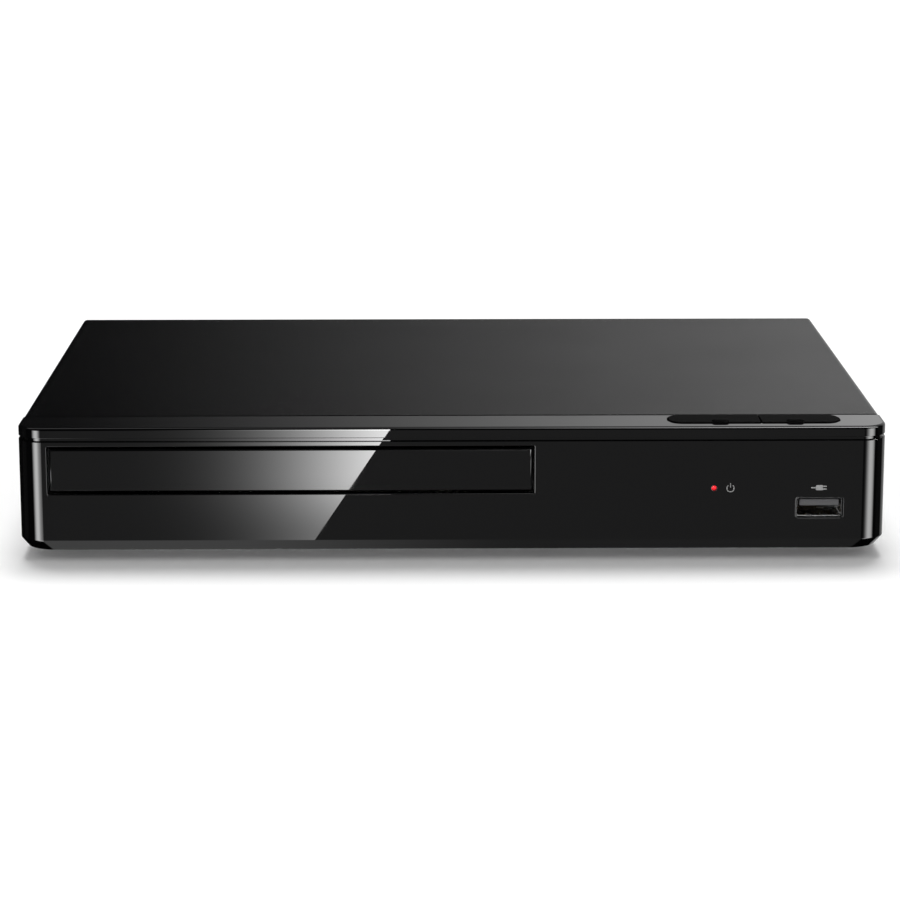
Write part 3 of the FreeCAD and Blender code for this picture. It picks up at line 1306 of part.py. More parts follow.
ADDENDUM = 0.75
ROOT_DEPTH = 1.15
RACK_LEAD = 3.5
FLANK_SLOPE = math.tan(math.radians(20))
BACKLASH = 0.08


def rack_pitch(module):
    return module * math.pi


def rack_tooth(pitch_line, side, middle, module):
    """Tooth of a rack whose teeth point towards -X (side -1) or -Y (side 0)."""
    tip = module * ADDENDUM
    root = module * ROOT_DEPTH
    half_tip = rack_pitch(module) / 4 - BACKLASH / 2 - tip * FLANK_SLOPE
    half_root = rack_pitch(module) / 4 - BACKLASH / 2 + root * FLANK_SLOPE
    if side:
        return [(pitch_line + root, middle - half_root), (pitch_line + root, middle + half_root),
                (pitch_line - tip, middle + half_tip), (pitch_line - tip, middle - half_tip)]
    return [(middle - half_root, pitch_line + root), (middle - half_tip, pitch_line - tip),
            (middle + half_tip, pitch_line - tip), (middle + half_root, pitch_line + root)]


bridge_high = loader_top + s.bridge_thickness
table_high = disc_floor + s.disc_lift
clamp_low = table_high + s.clamper_gap
clamp_flange_low = bridge_high + s.running_gap


def clamper_bridge():
    piece = Piece("clamper_bridge", x=loader_x, y=front_y)
    piece.pad("XY", loader_top, bridge_high,
              around(0, disc_u, loader_half * 2, s.bridge_depth, s.tray_corner))
    piece.pocket("XY", loader_top, bridge_high, Disc(0, disc_u, s.bridge_hole))
    return keep(piece.body)


def clamper():
    """Clamping disc that hangs in the bridge by its flange."""
    piece = Piece("clamper", x=loader_x, y=front_y + disc_u)
    flange_high = clamp_flange_low + s.clamper_skin
    piece.pad("XY", clamp_low, clamp_flange_low, Disc(0, 0, s.clamper_radius))
    piece.pad("XY", clamp_flange_low, flange_high, Disc(0, 0, s.clamper_flange))
    piece.pocket("XY", clamp_low, table_high + s.hub_height + s.hub_room, Disc(0, 0, s.hub_radius + s.hub_room))
    piece.pocket("XY", flange_high - s.magnet_height, flange_high, Disc(0, 0, s.magnet_radius))
    return keep(piece.body)


def clamper_magnet():
    top = clamp_flange_low + s.clamper_skin
    return keep(cylinder("clamper_magnet", loader_x, front_y + disc_u, top - s.magnet_height,
                         s.magnet_radius, s.magnet_height))


def cam_slot(pin_x):
    """Slanting slot that lowers a cam pin as the slider moves to the right."""
    run = value_of(s.cam_travel)
    fall = value_of(s.cam_fall)
    slope = fall / run
    reach = value_of(s.cam_pin_radius + s.cam_clearance)
    upright = reach * math.hypot(1, slope)
    right = value_of(pin_x) + reach
    left = value_of(pin_x) - run - reach
    high = value_of(pin_z) + reach * slope
    low = value_of(pin_z) - fall - reach * slope
    return [(left, low - upright), (right, high - upright), (right, high + upright), (left, low + upright)]


def cam_slider():
    piece = Piece("cam_slider", x=loader_x, y=front_y)
    low = floor_top + s.running_gap
    high = tray_level - s.wheel_gap
    foot_top = low + s.cam_foot_height
    piece.pad("XZ", cam_u - s.cam_foot, cam_u + s.cam_wall, box(-s.cam_left, low, s.cam_right, foot_top))
    piece.pad("XZ", cam_u, cam_u + s.cam_wall, box(-s.cam_left, low, s.cam_right, high))
    piece.pocket("XZ", cam_u - s.running_gap, cam_u + s.cam_wall, cam_slot(-s.cam_pin_x), cam_slot(s.cam_pin_x))
    pitch = rack_pitch(s.step_module)
    count = int(value_of(s.cam_travel) // value_of(pitch))
    tooth_line = cam_u - s.cam_foot + s.step_module * ADDENDUM
    tooth = rack_tooth(tooth_line, 0, s.cam_right - pitch * count, s.step_module)
    piece.pad("XY", foot_top, foot_top + s.cam_rack_height,
              box(s.cam_right - pitch * (count + 1), tooth_line + s.step_module * ROOT_DEPTH,
                  s.cam_right, cam_u))
    first = piece.pad("XY", foot_top, foot_top + s.cam_rack_height, tooth)
    piece.repeat(first, "X", pitch * (count - 1), count)
    return keep(piece.body)


# Loading gears

def gear_wire(teeth, module, turn):
    """Outline of an involute gear about the origin, with one tooth at the angle turn."""
    pitch_radius = module * teeth / 2
    base_radius = pitch_radius * math.cos(math.radians(20))
    tip_radius = pitch_radius + module * ADDENDUM
    root_radius = pitch_radius - module * ROOT_DEPTH
    involute_angle = math.tan(math.radians(20)) - math.radians(20)
    half_tooth = math.pi / (2 * teeth) - BACKLASH / (2 * pitch_radius) + involute_angle
    flank = [(root_radius, half_tooth)] if root_radius < base_radius else []
    start = max(base_radius, root_radius)
    for step in range(5):
        radius = start + (tip_radius - start) * step / 4
        along = math.sqrt(max(0, (radius / base_radius) ** 2 - 1))
        flank.append((radius, half_tooth - (along - math.atan(along))))
    points = []
    for tooth in range(teeth):
        middle = turn + 2 * math.pi * tooth / teeth
        for radius, angle in flank:
            points.append((radius, middle - angle))
        for radius, angle in reversed(flank):
            points.append((radius, middle + angle))
    corners = [Vector(radius * math.cos(angle), radius * math.sin(angle), 0) for radius, angle in points]
    return Part.makePolygon(corners + corners[:1])


def toothed(teeth, module, turn, low, high):
    face = Part.Face(gear_wire(teeth, value_of(module), turn))
    face.translate(Vector(0, 0, value_of(low)))
    return face.extrude(Vector(0, 0, value_of(high - low)))


def drum(radius, low, high):
    return Part.makeCylinder(value_of(radius), value_of(high - low), Vector(0, 0, value_of(low)))


def turned(label, x, shapes, bore, low, high):
    """Gear or wheel on a post: its joined shapes with a bore through them."""
    item = document.addObject("Part::Feature", label)
    solid = shapes[0].fuse(shapes[1:]) if len(shapes) > 1 else shapes[0]
    item.Shape = solid.cut(drum(bore, low - 1, high + 1)).removeSplitter()
    place(item, loader_x + x, front_y + gear_u, 0)
    return keep(item)


def groove_wheel(radius, low, high):
    """Belt wheel with a square groove for the belt."""
    floor = radius - s.belt_width / 2 - s.belt_gap
    edge = radius + s.belt_width / 2
    side = (high - low - s.belt_width) / 2 - s.sheet_clearance
    return [drum(floor, low, high), drum(edge, low, low + side), drum(edge, high - side, high)]


gear_bore = s.post_radius + s.bearing_gap


def tray_gear():
    """Wheel that drives the rack, above the wheel that the reduction gear turns."""
    low = step_low + s.wheel_gap
    shapes = [
        toothed(STEP_WHEEL, s.step_module, 0, low, step_high - s.wheel_gap),
        drum(s.wheel_hub, low, tray_wheel_high),
        toothed(TRAY_TEETH, s.tray_module, 0, tray_wheel_low, tray_wheel_high),
    ]
    return turned("tray_gear", tray_gear_x, shapes, gear_bore, low, tray_wheel_high)


def reduction_gear():
    half_step = math.pi / STEP_PINION
    shapes = [
        toothed(STEP_PINION, s.step_module, half_step, step_low, first_low),
        toothed(FIRST_WHEEL, s.first_module, 0, first_low, first_high),
        drum(s.wheel_hub, first_high, first_high + s.hub_rise),
    ]
    return turned("reduction_gear", reduction_x, shapes, gear_bore, step_low, first_high)


def pulley_gear():
    half_step = math.pi / FIRST_PINION
    low = first_low - s.pulley_sink
    shapes = [toothed(FIRST_PINION, s.first_module, half_step, low, pulley_low)]
    shapes += groove_wheel(s.belt_large, pulley_low, pulley_high)
    return turned("pulley_gear", pulley_x, shapes, gear_bore, low, pulley_high)


def motor_pulley():
    shapes = groove_wheel(s.belt_small, pulley_low, pulley_high)
    return turned("motor_pulley", motor_x, shapes, s.motor_shaft + s.bearing_gap, pulley_low, pulley_high)


def loading_motor():
    piece = Piece("loading_motor", x=loader_x + motor_x, y=front_y + gear_u)
    top = floor_top + s.motor_height
    piece.pad("XY", floor_top, top, Disc(0, 0, s.motor_radius))
    piece.pad("XY", top, pulley_high + s.running_gap, Disc(0, 0, s.motor_shaft))
    return keep(piece.body)


def belt_loop(small, large, span):
    """Closed outline round two circles on one line."""
    lean = math.asin((large - small) / span)
    up = Vector(-math.sin(lean), math.cos(lean), 0)
    down = Vector(-math.sin(lean), -math.cos(lean), 0)
    far = Vector(span, 0, 0)
    edges = [
        Part.Arc(up * small, Vector(-small, 0, 0), down * small).toShape(),
        Part.LineSegment(down * small, far + down * large).toShape(),
        Part.Arc(far + down * large, far + Vector(large, 0, 0), far + up * large).toShape(),
        Part.LineSegment(far + up * large, up * small).toShape(),
    ]
    return Part.Face(Part.Wire(edges))


def drive_belt():
    reach = value_of(s.belt_width) / 2
    small = value_of(s.belt_small)
    large = value_of(s.belt_large)
    span = value_of(s.belt_span)
    band = belt_loop(small + reach, large + reach, span).cut(belt_loop(small - reach, large - reach, span))
    band.translate(Vector(0, 0, value_of(belt_middle) - reach))
    item = document.addObject("Part::Feature", "drive_belt")
    item.Shape = band.extrude(Vector(0, 0, 2 * reach)).Solids[0]
    place(item, loader_x + motor_x, front_y + gear_u, 0)
    return keep(item)


# Traverse: disc motor, turntable and pickup

pickup_low = tray_level - s.pickup_drop
pickup_high = pickup_low + s.pickup_height
lens_u = disc_u + s.lens_inner
guide_z = tray_level - s.guide_drop
sled_end = lens_u + s.pickup_back + s.sled_travel
window_back = sled_end + s.pickup_window_end
window_front_u = disc_u + s.pickup_window
table_low = table_high - s.turntable_pad - s.turntable_thickness
screw_start = window_front_u + s.rod_seat + s.running_gap


def traverse_frame():
    piece = Piece("traverse_frame", x=loader_x, y=front_y)
    plate = box(-traverse_half, s.traverse_front, traverse_half, tray_back)
    piece.pad("XY", traverse_low, traverse_high, plate)
    rim = s.traverse_rim
    rim_top = traverse_high + s.traverse_rim_height
    piece.pad("XY", traverse_high, rim_top,
              plate, box(-traverse_half + rim, s.traverse_front + rim, traverse_half - rim, tray_back - rim))
    piece.pocket("XY", traverse_low, traverse_high, Disc(0, disc_u, s.rotor_radius + s.rotor_gap))
    piece.pocket("XY", traverse_low, traverse_high,
                 box(-s.guide_x - s.pickup_window_side, window_front_u,
                     s.screw_x + s.screw_window_side, window_back))
    motor_reach = s.sled_motor_radius + s.sled_motor_gap
    piece.pocket("XY", traverse_low, traverse_high,
                 box(s.screw_x - motor_reach, screw_start - s.sled_motor_length - s.running_gap * 2,
                     s.screw_x + motor_reach, screw_start))
    seat = s.guide_radius + s.rod_seat_skin
    seats = mirrored(s.guide_x - seat, window_front_u - s.rod_seat, s.guide_x + seat, window_front_u)
    seats.append(box(-s.guide_x - seat, window_back, -s.guide_x + seat, window_back + s.rod_seat))
    seats.append(box(s.guide_x - seat, window_back, s.screw_x + seat, window_back + s.rod_seat))
    piece.pad("XY", traverse_low, guide_z + seat, *seats)
    bore = s.guide_radius + s.bearing_gap / 2
    rods = [Disc(side * s.guide_x, guide_z, bore) for side in (-1, 1)]
    screw = Disc(s.screw_x, guide_z, s.lead_radius + s.bearing_gap)
    piece.pocket("XZ", window_front_u - s.rod_seat, window_front_u, *rods)
    piece.pocket("XZ", window_back, window_back + s.rod_seat, *rods, screw)
    boss = s.cam_pin_radius + s.cam_boss
    piece.pad("XY", traverse_high, pin_z + boss,
              *mirrored(s.cam_pin_x - boss, s.traverse_front, s.cam_pin_x + boss, s.traverse_front + rim * 2))
    piece.pad("XZ", cam_u + s.running_gap, s.traverse_front,
              *[Disc(side * s.cam_pin_x, pin_z, s.cam_pin_radius) for side in (-1, 1)])
    ear = s.hinge_radius + s.hinge_ear
    piece.pad("XY", traverse_low, hinge_z + ear,
              *mirrored(traverse_half - rim * 2, hinge_u - ear, traverse_half, hinge_u + ear))
    tip = lug_left + s.lug_width - s.running_gap
    for left, right in ((traverse_half, tip), (-tip, -traverse_half)):
        piece.pad("YZ", left, right, Disc(hinge_u, hinge_z, s.hinge_radius))
    return keep(piece.body)


def spindle_motor():
    """Base under the traverse and the stator inside the rotor."""
    piece = Piece("spindle_motor", x=loader_x, y=front_y + disc_u)
    piece.pad("XY", traverse_low - s.motor_base_skin, traverse_low, Disc(0, 0, s.motor_base_radius))
    top = traverse_low + s.stator_height
    piece.pad("XY", traverse_low, top, Disc(0, 0, s.stator_radius))
    piece.pocket("XY", traverse_low, top, Disc(0, 0, s.spindle_radius + s.bearing_gap))
    return keep(piece.body)


def turntable():
    piece = Piece("turntable", x=loader_x, y=front_y + disc_u)
    table_top = table_low + s.turntable_thickness
    piece.pad("XY", table_low, table_top, Disc(0, 0, s.turntable_radius))
    piece.pad("XY", table_low - s.rotor_height, table_low,
              Disc(0, 0, s.rotor_radius), Disc(0, 0, s.rotor_radius - s.rotor_skin))
    piece.pad("XY", table_top, table_high + s.hub_height, Disc(0, 0, s.hub_radius))
    piece.pad("XY", traverse_low + s.shaft_lift, table_low, Disc(0, 0, s.spindle_radius))
    piece.dress("Chamfer", lambda edge: near(edge.ZMin, table_high + s.hub_height), Size=s.hub_bevel)
    return keep(piece.body)


def turntable_pad():
    piece = Piece("turntable_pad", x=loader_x, y=front_y + disc_u)
    piece.pad("XY", table_high - s.turntable_pad, table_high,
              Disc(0, 0, s.turntable_radius - s.pad_inset), Disc(0, 0, s.pad_inner))
    return keep(piece.body)


def pickup_body():
    """Sled that rides on both guide rods, with a well for the lens holder."""
    piece = Piece("pickup_body", x=loader_x, y=front_y)
    front = lens_u - s.pickup_front
    back = lens_u + s.pickup_back
    reach = s.pickup_width / 2
    piece.pad("XY", pickup_low, pickup_high, box(-reach, front, reach, back))
    ear = s.guide_radius + s.pickup_ear
    ear_front = front + s.pickup_ear_inset
    ear_back = back - s.pickup_ear_inset
    piece.pad("XY", guide_z - ear, pickup_high,
              box(-s.guide_x - ear, ear_front, -reach, ear_back),
              box(reach, ear_front, s.screw_x - s.lead_radius - s.screw_side_gap, ear_back))
    bore = s.guide_radius + s.bearing_gap
    piece.pocket("XZ", front, back, *[Disc(side * s.guide_x, guide_z, bore) for side in (-1, 1)])
    gap = s.lens_well_gap
    piece.pocket("XY", pickup_high - s.lens_holder_height, pickup_high,
                 around(0, lens_u, s.lens_holder + gap * 2, s.lens_holder_depth + gap * 2))
    return keep(piece.body)


def objective_lens():
    """Lens and its holder, which floats in the pickup."""
    piece = Piece("objective_lens", x=loader_x, y=front_y + lens_u)
    low = pickup_high - s.lens_holder_height + s.focus_travel + s.running_gap
    high = low + s.lens_holder_height
    ring_high = high + s.lens_ring_height
    piece.pad("XY", low, high, around(0, 0, s.lens_holder, s.lens_holder_depth, s.lens_holder_corner))
    piece.pad("XY", high, ring_high, Disc(0, 0, s.lens_radius + s.lens_ring))
    piece.pad("XY", ring_high, ring_high + s.lens_rise, Disc(0, 0, s.lens_radius))
    return keep(piece.body)


def actuator_cover():
    piece = Piece("actuator_cover", x=loader_x, y=front_y + lens_u)
    skin = s.actuator_skin
    top = pickup_high + s.actuator_height
    piece.pad("XY", pickup_high, top, around(0, 0, s.actuator_width, s.actuator_depth, s.actuator_corner))
    piece.pocket("XY", pickup_high, top - skin,
                 around(0, 0, s.actuator_width - skin * 2, s.actuator_depth - skin * 2, skin))
    piece.pocket("XY", top - skin, top,
                 around(0, 0, s.actuator_window, s.actuator_window, s.actuator_corner))
    return keep(piece.body)


def guide_rods():
    piece = Piece("guide_rods", x=loader_x, y=front_y)
    piece.pad("XZ", window_front_u - s.rod_seat, window_back + s.rod_seat,
              *[Disc(side * s.guide_x, guide_z, s.guide_radius) for side in (-1, 1)])
    return keep(piece.body)


def lead_screw():
    piece = Piece("lead_screw", x=loader_x + s.screw_x, y=front_y)
    piece.pad("XZ", screw_start, window_back + s.rod_seat - s.running_gap,
              Disc(0, guide_z, s.lead_radius))
    return keep(piece.body)


def sled_motor():
    piece = Piece("sled_motor", x=loader_x + s.screw_x, y=front_y)
    piece.pad("XZ", screw_start - s.sled_motor_length - s.running_gap, screw_start - s.running_gap,
              Disc(0, guide_z, s.sled_motor_radius))
    return keep(piece.body)


# Every sub-part, from the outside in

front_panel()
tray_door()
key("power_button", s.key_left, power_right, s.power_nub, "left")
key("open_button", open_left, s.key_right, s.open_nub, "right")
key_plunger("power_plunger", power_stem)
key_plunger("open_plunger", open_stem)
key_board()
tact_switches()
front_board()
usb_shell()
usb_tongue()
power_led()
remote_sensor()
feet()
bottom_chassis()
top_cover()
rear_panel()
cover_screws()
inner_screws()
flat_board("main_board", main_left, s.main_board_width, s.main_board_front, s.main_board_depth,
           main_screws)
flat_board("power_board", power_left, s.power_board_width, s.power_board_front, s.power_board_depth,
           power_screws)
main_processor()
heat_sink()
memory_chips()
hdmi_socket()
lan_socket()
coax_jack()
coax_insulator()
mains_inlet()
transformer()
bulk_capacitor()
fuse()
power_harness()
front_ribbon()
loader_frame()
disc_tray()
clamper_bridge()
clamper()
clamper_magnet()
cam_slider()
loading_motor()
motor_pulley()
drive_belt()
pulley_gear()
reduction_gear()
tray_gear()
traverse_frame()
spindle_motor()
turntable()
turntable_pad()
pickup_body()
objective_lens()
actuator_cover()
guide_rods()
lead_screw()
sled_motor()

document.recompute()
for item in document.Objects:
    if "Invalid" in item.State or "Error" in item.State:
        raise RuntimeError("%s did not build: %s" % (item.Name, item.getStatusString()))
for item in sub_parts:
    if item.Shape.isNull() or not item.Shape.isValid():
        raise RuntimeError("%s has no valid shape" % item.Label)
os.makedirs("parts", exist_ok=True)
for item in sub_parts:
    item.Shape.exportStep(os.path.join("parts", item.Label + ".step"))
print("%d sub-parts, case %.1f x %.1f x %.1f mm" % (
    len(sub_parts), value_of(half) * 2, value_of(case_depth), value_of(case_top)))
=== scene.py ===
import json
import logging
import math
from dataclasses import dataclass
from enum import Enum
from typing import Callable, Sequence

import bmesh
import bpy
import numpy as np
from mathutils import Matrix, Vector
from mathutils.geometry import delaunay_2d_cdt

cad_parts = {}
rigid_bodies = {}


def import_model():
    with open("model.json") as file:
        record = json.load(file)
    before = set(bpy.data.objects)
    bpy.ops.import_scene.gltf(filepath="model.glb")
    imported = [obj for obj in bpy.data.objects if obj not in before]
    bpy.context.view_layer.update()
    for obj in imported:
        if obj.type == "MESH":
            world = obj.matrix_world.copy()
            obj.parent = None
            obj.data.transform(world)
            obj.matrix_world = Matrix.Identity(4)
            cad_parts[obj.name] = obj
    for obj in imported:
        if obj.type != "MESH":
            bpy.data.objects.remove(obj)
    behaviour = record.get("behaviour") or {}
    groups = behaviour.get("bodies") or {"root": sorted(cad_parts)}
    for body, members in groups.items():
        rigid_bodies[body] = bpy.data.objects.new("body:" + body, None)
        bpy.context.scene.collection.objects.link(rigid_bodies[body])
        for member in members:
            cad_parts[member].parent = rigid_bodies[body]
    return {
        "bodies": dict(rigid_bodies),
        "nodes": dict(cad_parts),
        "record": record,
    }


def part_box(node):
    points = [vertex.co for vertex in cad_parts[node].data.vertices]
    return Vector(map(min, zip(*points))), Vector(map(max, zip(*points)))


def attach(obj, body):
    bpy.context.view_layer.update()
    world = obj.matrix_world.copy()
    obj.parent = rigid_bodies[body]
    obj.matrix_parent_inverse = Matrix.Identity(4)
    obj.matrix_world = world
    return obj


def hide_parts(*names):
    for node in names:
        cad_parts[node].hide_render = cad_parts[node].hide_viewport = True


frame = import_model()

# A flat disc player with a loading tray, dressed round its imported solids. Lengths are in
# millimetres, in the solids' own frame: +X right seen from the front, +Y back, +Z up.

logging.basicConfig(level=logging.INFO, format="%(message)s")
log = logging.getLogger("player")

# A millimetre in metres, the small round edge of moulded parts, how close points of one place
# may lie in metres, and how many radians a flat face may bend.
UNIT = 0.001
FINE = 0.15
TOUCH = 2e-7
LEVEL = 0.002
Colour = tuple[float, float, float]
Pairs = Sequence[tuple[float, float]]


class Plane(Enum):
    """Planes of sketches: both axes of the sketch and the axis across it."""

    FLOOR = (0, 1, 2)
    FRONT = (0, 2, 1)
    SIDE = (1, 2, 0)

    def lift(self, points: np.ndarray, level: float) -> np.ndarray:
        """Place sketch points in space.

        Args:
            points: Rows of two numbers.
            level: Where the sketch lies across the plane.

        Returns:
            Rows of three numbers.
        """
        first, second, across = self.value
        placed = np.full((len(points), 3), float(level))
        placed[:, first] = points[:, 0]
        placed[:, second] = points[:, 1]
        placed[:, across] = level
        return placed


@dataclass(frozen=True)
class Extent:
    """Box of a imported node."""

    low: np.ndarray
    high: np.ndarray

    @property
    def middle(self) -> np.ndarray:
        """Centre of the box."""
        return (self.low + self.high) / 2

    @property
    def size(self) -> np.ndarray:
        """Length along each axis."""
        return self.high - self.low

    def face(self, plane: Plane, grow: float = 0.0, radius: float = 0.0, steps: int = 6) -> "Outline":
        """Outline of the box across a plane, grown to all sides."""
        axes = list(plane.value[:2])
        return Outline(*self.middle[axes], *(self.size[axes] + grow * 2), radius, steps)


def extent(*nodes: str) -> Extent:
    """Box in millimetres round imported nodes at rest."""
    corners = [np.array(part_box(node)) / UNIT for node in nodes]
    return Extent(np.min([low for low, _ in corners], axis=0), np.max([high for _, high in corners], axis=0))


# Shader graphs

class Wire:
    """Output of a shader node that takes part in arithmetic."""

    def __init__(self, graph: "Graph", socket: bpy.types.NodeSocket) -> None:
        """Wrap an output of a graph's node."""
        self.graph = graph
        self.socket = socket

    def __add__(self, other: "Wire | float") -> "Wire":
        """Sum."""
        return self.graph.math("ADD", self, other)

    def __sub__(self, other: "Wire | float") -> "Wire":
        """Difference."""
        return self.graph.math("SUBTRACT", self, other)

    def __rsub__(self, other: float) -> "Wire":
        """Difference with the number first."""
        return self.graph.math("SUBTRACT", other, self)

    def __mul__(self, other: "Wire | float") -> "Wire":
        """Product."""
        return self.graph.math("MULTIPLY", self, other)

    def __truediv__(self, other: "Wire | float") -> "Wire":
        """Quotient."""
        return self.graph.math("DIVIDE", self, other)

    def __lt__(self, other: "Wire | float") -> "Wire":
        """1 where it is less, 0 elsewhere."""
        return self.graph.math("LESS_THAN", self, other)

    def __gt__(self, other: "Wire | float") -> "Wire":
        """1 where it is greater, 0 elsewhere."""
        return self.graph.math("GREATER_THAN", self, other)

    __radd__ = __add__
    __rmul__ = __mul__

    def part(self) -> "Wire":
        """What follows the decimal point."""
        return self.graph.math("FRACT", self)

    def whole(self) -> "Wire":
        """What stands before the decimal point."""
        return self.graph.math("FLOOR", self)

    def distance(self, other: float) -> "Wire":
        """Absolute difference."""
        return self.graph.math("ABSOLUTE", self - other)

    def between(self, low: float, high: float) -> "Wire":
        """Smooth step, 0 at low and 1 at high."""
        values = {"Value": self, "From Min": low, "From Max": high}
        return self.graph.node("ShaderNodeMapRange", values, interpolation_type="SMOOTHSTEP")


Value = Wire | float


class Graph:
    """Shader nodes of one material."""

    def __init__(self, name: str) -> None:
        """Start an empty material.

        Args:
            name: Its name.
        """
        self.material = bpy.data.materials.new(name)
        self.material.use_nodes = True
        self.tree = self.material.node_tree
        self.tree.nodes.clear()

    def node(self, kind: str, values: dict | None = None, output: int | str = 0, **settings) -> Wire:
        """Add a node.

        Args:
            kind: Type of the node.
            values: A constant or a wire for each named or numbered input.
            output: Output to hand on.
            **settings: Attributes of the node.

        Returns:
            The wanted output.
        """
        made = self.tree.nodes.new(kind)
        for name, value in settings.items():
            setattr(made, name, value)
        for name, value in (values or {}).items():
            socket = made.inputs[name]
            if isinstance(value, Wire):
                self.tree.links.new(value.socket, socket)
            elif socket.type == "RGBA":
                socket.default_value = (*value, 1.0)
            else:
                socket.default_value = value
        return Wire(self, made.outputs[output])

    def math(self, operation: str, *values: Value) -> Wire:
        """Scalar operation on its operands."""
        return self.node("ShaderNodeMath", dict(enumerate(values)), operation=operation)

    def place(self, x: float = 1, y: float = 1, z: float = 1) -> Wire:
        """Object coordinates in millimetres, stretched along each axis."""
        here = self.node("ShaderNodeTexCoord", output="Object")
        return self.node("ShaderNodeMapping", {"Vector": here, "Scale": (x / UNIT, y / UNIT, z / UNIT)})

    def axes(self) -> tuple[Wire, Wire, Wire]:
        """Object coordinates one by one, in millimetres."""
        outputs = self.node("ShaderNodeSeparateXYZ", {"Vector": self.place()}).socket.node.outputs
        return Wire(self, outputs[0]), Wire(self, outputs[1]), Wire(self, outputs[2])

    def noise(self, size: float, detail: float = 2, place: Wire | None = None) -> Wire:
        """Noise round one half, with the rough size of its features and finer layers."""
        values = {"Vector": place or self.place(), "Scale": 1 / size, "Detail": detail}
        return self.node("ShaderNodeTexNoise", values)

    def cells(self, size: float, output: str = "Distance") -> Wire:
        """Cells of a rough size round scattered points: distance from the point, or its colour."""
        return self.node("ShaderNodeTexVoronoi", {"Vector": self.place(), "Scale": 1 / size}, output)

    def luck(self, x: Value, y: Value) -> Wire:
        """Random number that belongs to a pair of numbers."""
        pair = self.node("ShaderNodeCombineXYZ", {"X": x, "Y": y})
        return self.node("ShaderNodeTexWhiteNoise", {"Vector": pair})

    def mix(self, share: Value, first: Colour | Wire, second: Colour | Wire) -> Wire:
        """Colour between the first, at a share of 0, and the second."""
        return self.node("ShaderNodeMix", {0: share, 6: first, 7: second}, 2, data_type="RGBA")

    def bump(self, height: Wire, depth: float, soft: float = 0.0) -> Wire:
        """Normal over a relief.

        Args:
            height: Relief from 0 to 1.
            depth: Its depth.
            soft: Radius that sharp edges seem to have.

        Returns:
            The normal.
        """
        values = {"Height": height, "Distance": depth * UNIT}
        if soft:
            values["Normal"] = self.node("ShaderNodeBevel", {"Radius": soft * UNIT}, samples=4)
        return self.node("ShaderNodeBump", values)

    def close(self, surface: Wire) -> bpy.types.Material:
        """Hand a shader to the output.

        Args:
            surface: The shader.

        Returns:
            The finished material.
        """
        output = self.tree.nodes.new("ShaderNodeOutputMaterial")
        self.tree.links.new(surface.socket, output.inputs["Surface"])
        return self.material


class WorldGraph(Graph):
    """Shader nodes of the surrounding."""

    def __init__(self, world: bpy.types.World) -> None:
        """Take the nodes that a world has."""
        self.tree = world.node_tree


# Finishes

@dataclass(frozen=True)
class Finish:
    """Surface finish. Each kind says how its shader's inputs are driven."""

    def inputs(self, graph: Graph) -> dict[str, Value | Colour]:
        """Value of each named input of the shader."""
        raise NotImplementedError

    def make(self, name: str) -> bpy.types.Material:
        """Make the material."""
        graph = Graph(name)
        return graph.close(graph.node("ShaderNodeBsdfPrincipled", self.inputs(graph), "BSDF"))


def shade(tint: Colour, share: float) -> Colour:
    """A tint with a factor on each channel."""
    return tint[0] * share, tint[1] * share, tint[2] * share


@dataclass(frozen=True)
class GlossMoulding(Finish):
    """Polished black moulding with wiping marks, a slight waviness and a little dust."""

    tint: Colour = (0.003, 0.003, 0.0033)

    def inputs(self, graph: Graph) -> dict[str, Value | Colour]:
        """Roughness follows stretched noise, and rare fine grains are paler.

        Args:
            graph: Graph to build in.

        Returns:
            Value of each named input.
        """
        wiped = graph.noise(18, 3, graph.place(1, 1, 2.5)).between(0.35, 0.75)
        dust = graph.noise(0.5, 1).between(0.76, 0.86)
        return {
            "Base Color": graph.mix(dust * 0.3, self.tint, (0.02, 0.02, 0.02)),
            "Roughness": wiped * 0.02,
            "Normal": graph.bump(graph.noise(45, 1), 0.003),
            "IOR": 1.5,
        }


@dataclass(frozen=True)
class Moulding(Finish):
    """Grained moulding with faint flow marks."""

    tint: Colour
    rough: float = 0.45
    glow: float = 0.0
    gleam: float = 0.5

    def inputs(self, graph: Graph) -> dict[str, Value | Colour]:
        """Colour and roughness follow stretched noise, and fine noise lifts the skin.

        Args:
            graph: Graph to build in.

        Returns:
            Value of each named input.
        """
        grain = graph.noise(0.25)
        flow = graph.noise(14, 3, graph.place(0.4, 1, 1))
        return {
            "Base Color": graph.mix(flow, shade(self.tint, 0.8), self.tint),
            "Roughness": flow * 0.12 + grain * 0.05 + (self.rough - 0.08),
            "Normal": graph.bump(grain, 0.01, 0.1),
            "Specular IOR Level": self.gleam,
            "Subsurface Weight": self.glow,
            "Subsurface Radius": (0.002, 0.002, 0.002),
        }


@dataclass(frozen=True)
class Paint(Finish):
    """Satin black paint on sheet: fine peel, a cloudy sheen and few specks."""

    rough: float = 0.23
    tint: Colour = (0.003, 0.003, 0.0032)

    def inputs(self, graph: Graph) -> dict[str, Value | Colour]:
        """Roughness is clouds plus peel, and specks are the middles of some cells.

        Args:
            graph: Graph to build in.

        Returns:
            Value of each named input.
        """
        peel = graph.noise(0.35)
        cloud = graph.noise(40, 4)
        speck = (graph.cells(1.1) < 0.08) * graph.noise(2.2, 0).between(0.6, 0.7)
        return {
            "Base Color": graph.mix(speck * 0.4, self.tint, (0.03, 0.03, 0.03)),
            "Roughness": cloud * 0.1 + peel * 0.06 + (self.rough - 0.08),
            "Normal": graph.bump(peel, 0.01),
            "IOR": 1.46,
        }


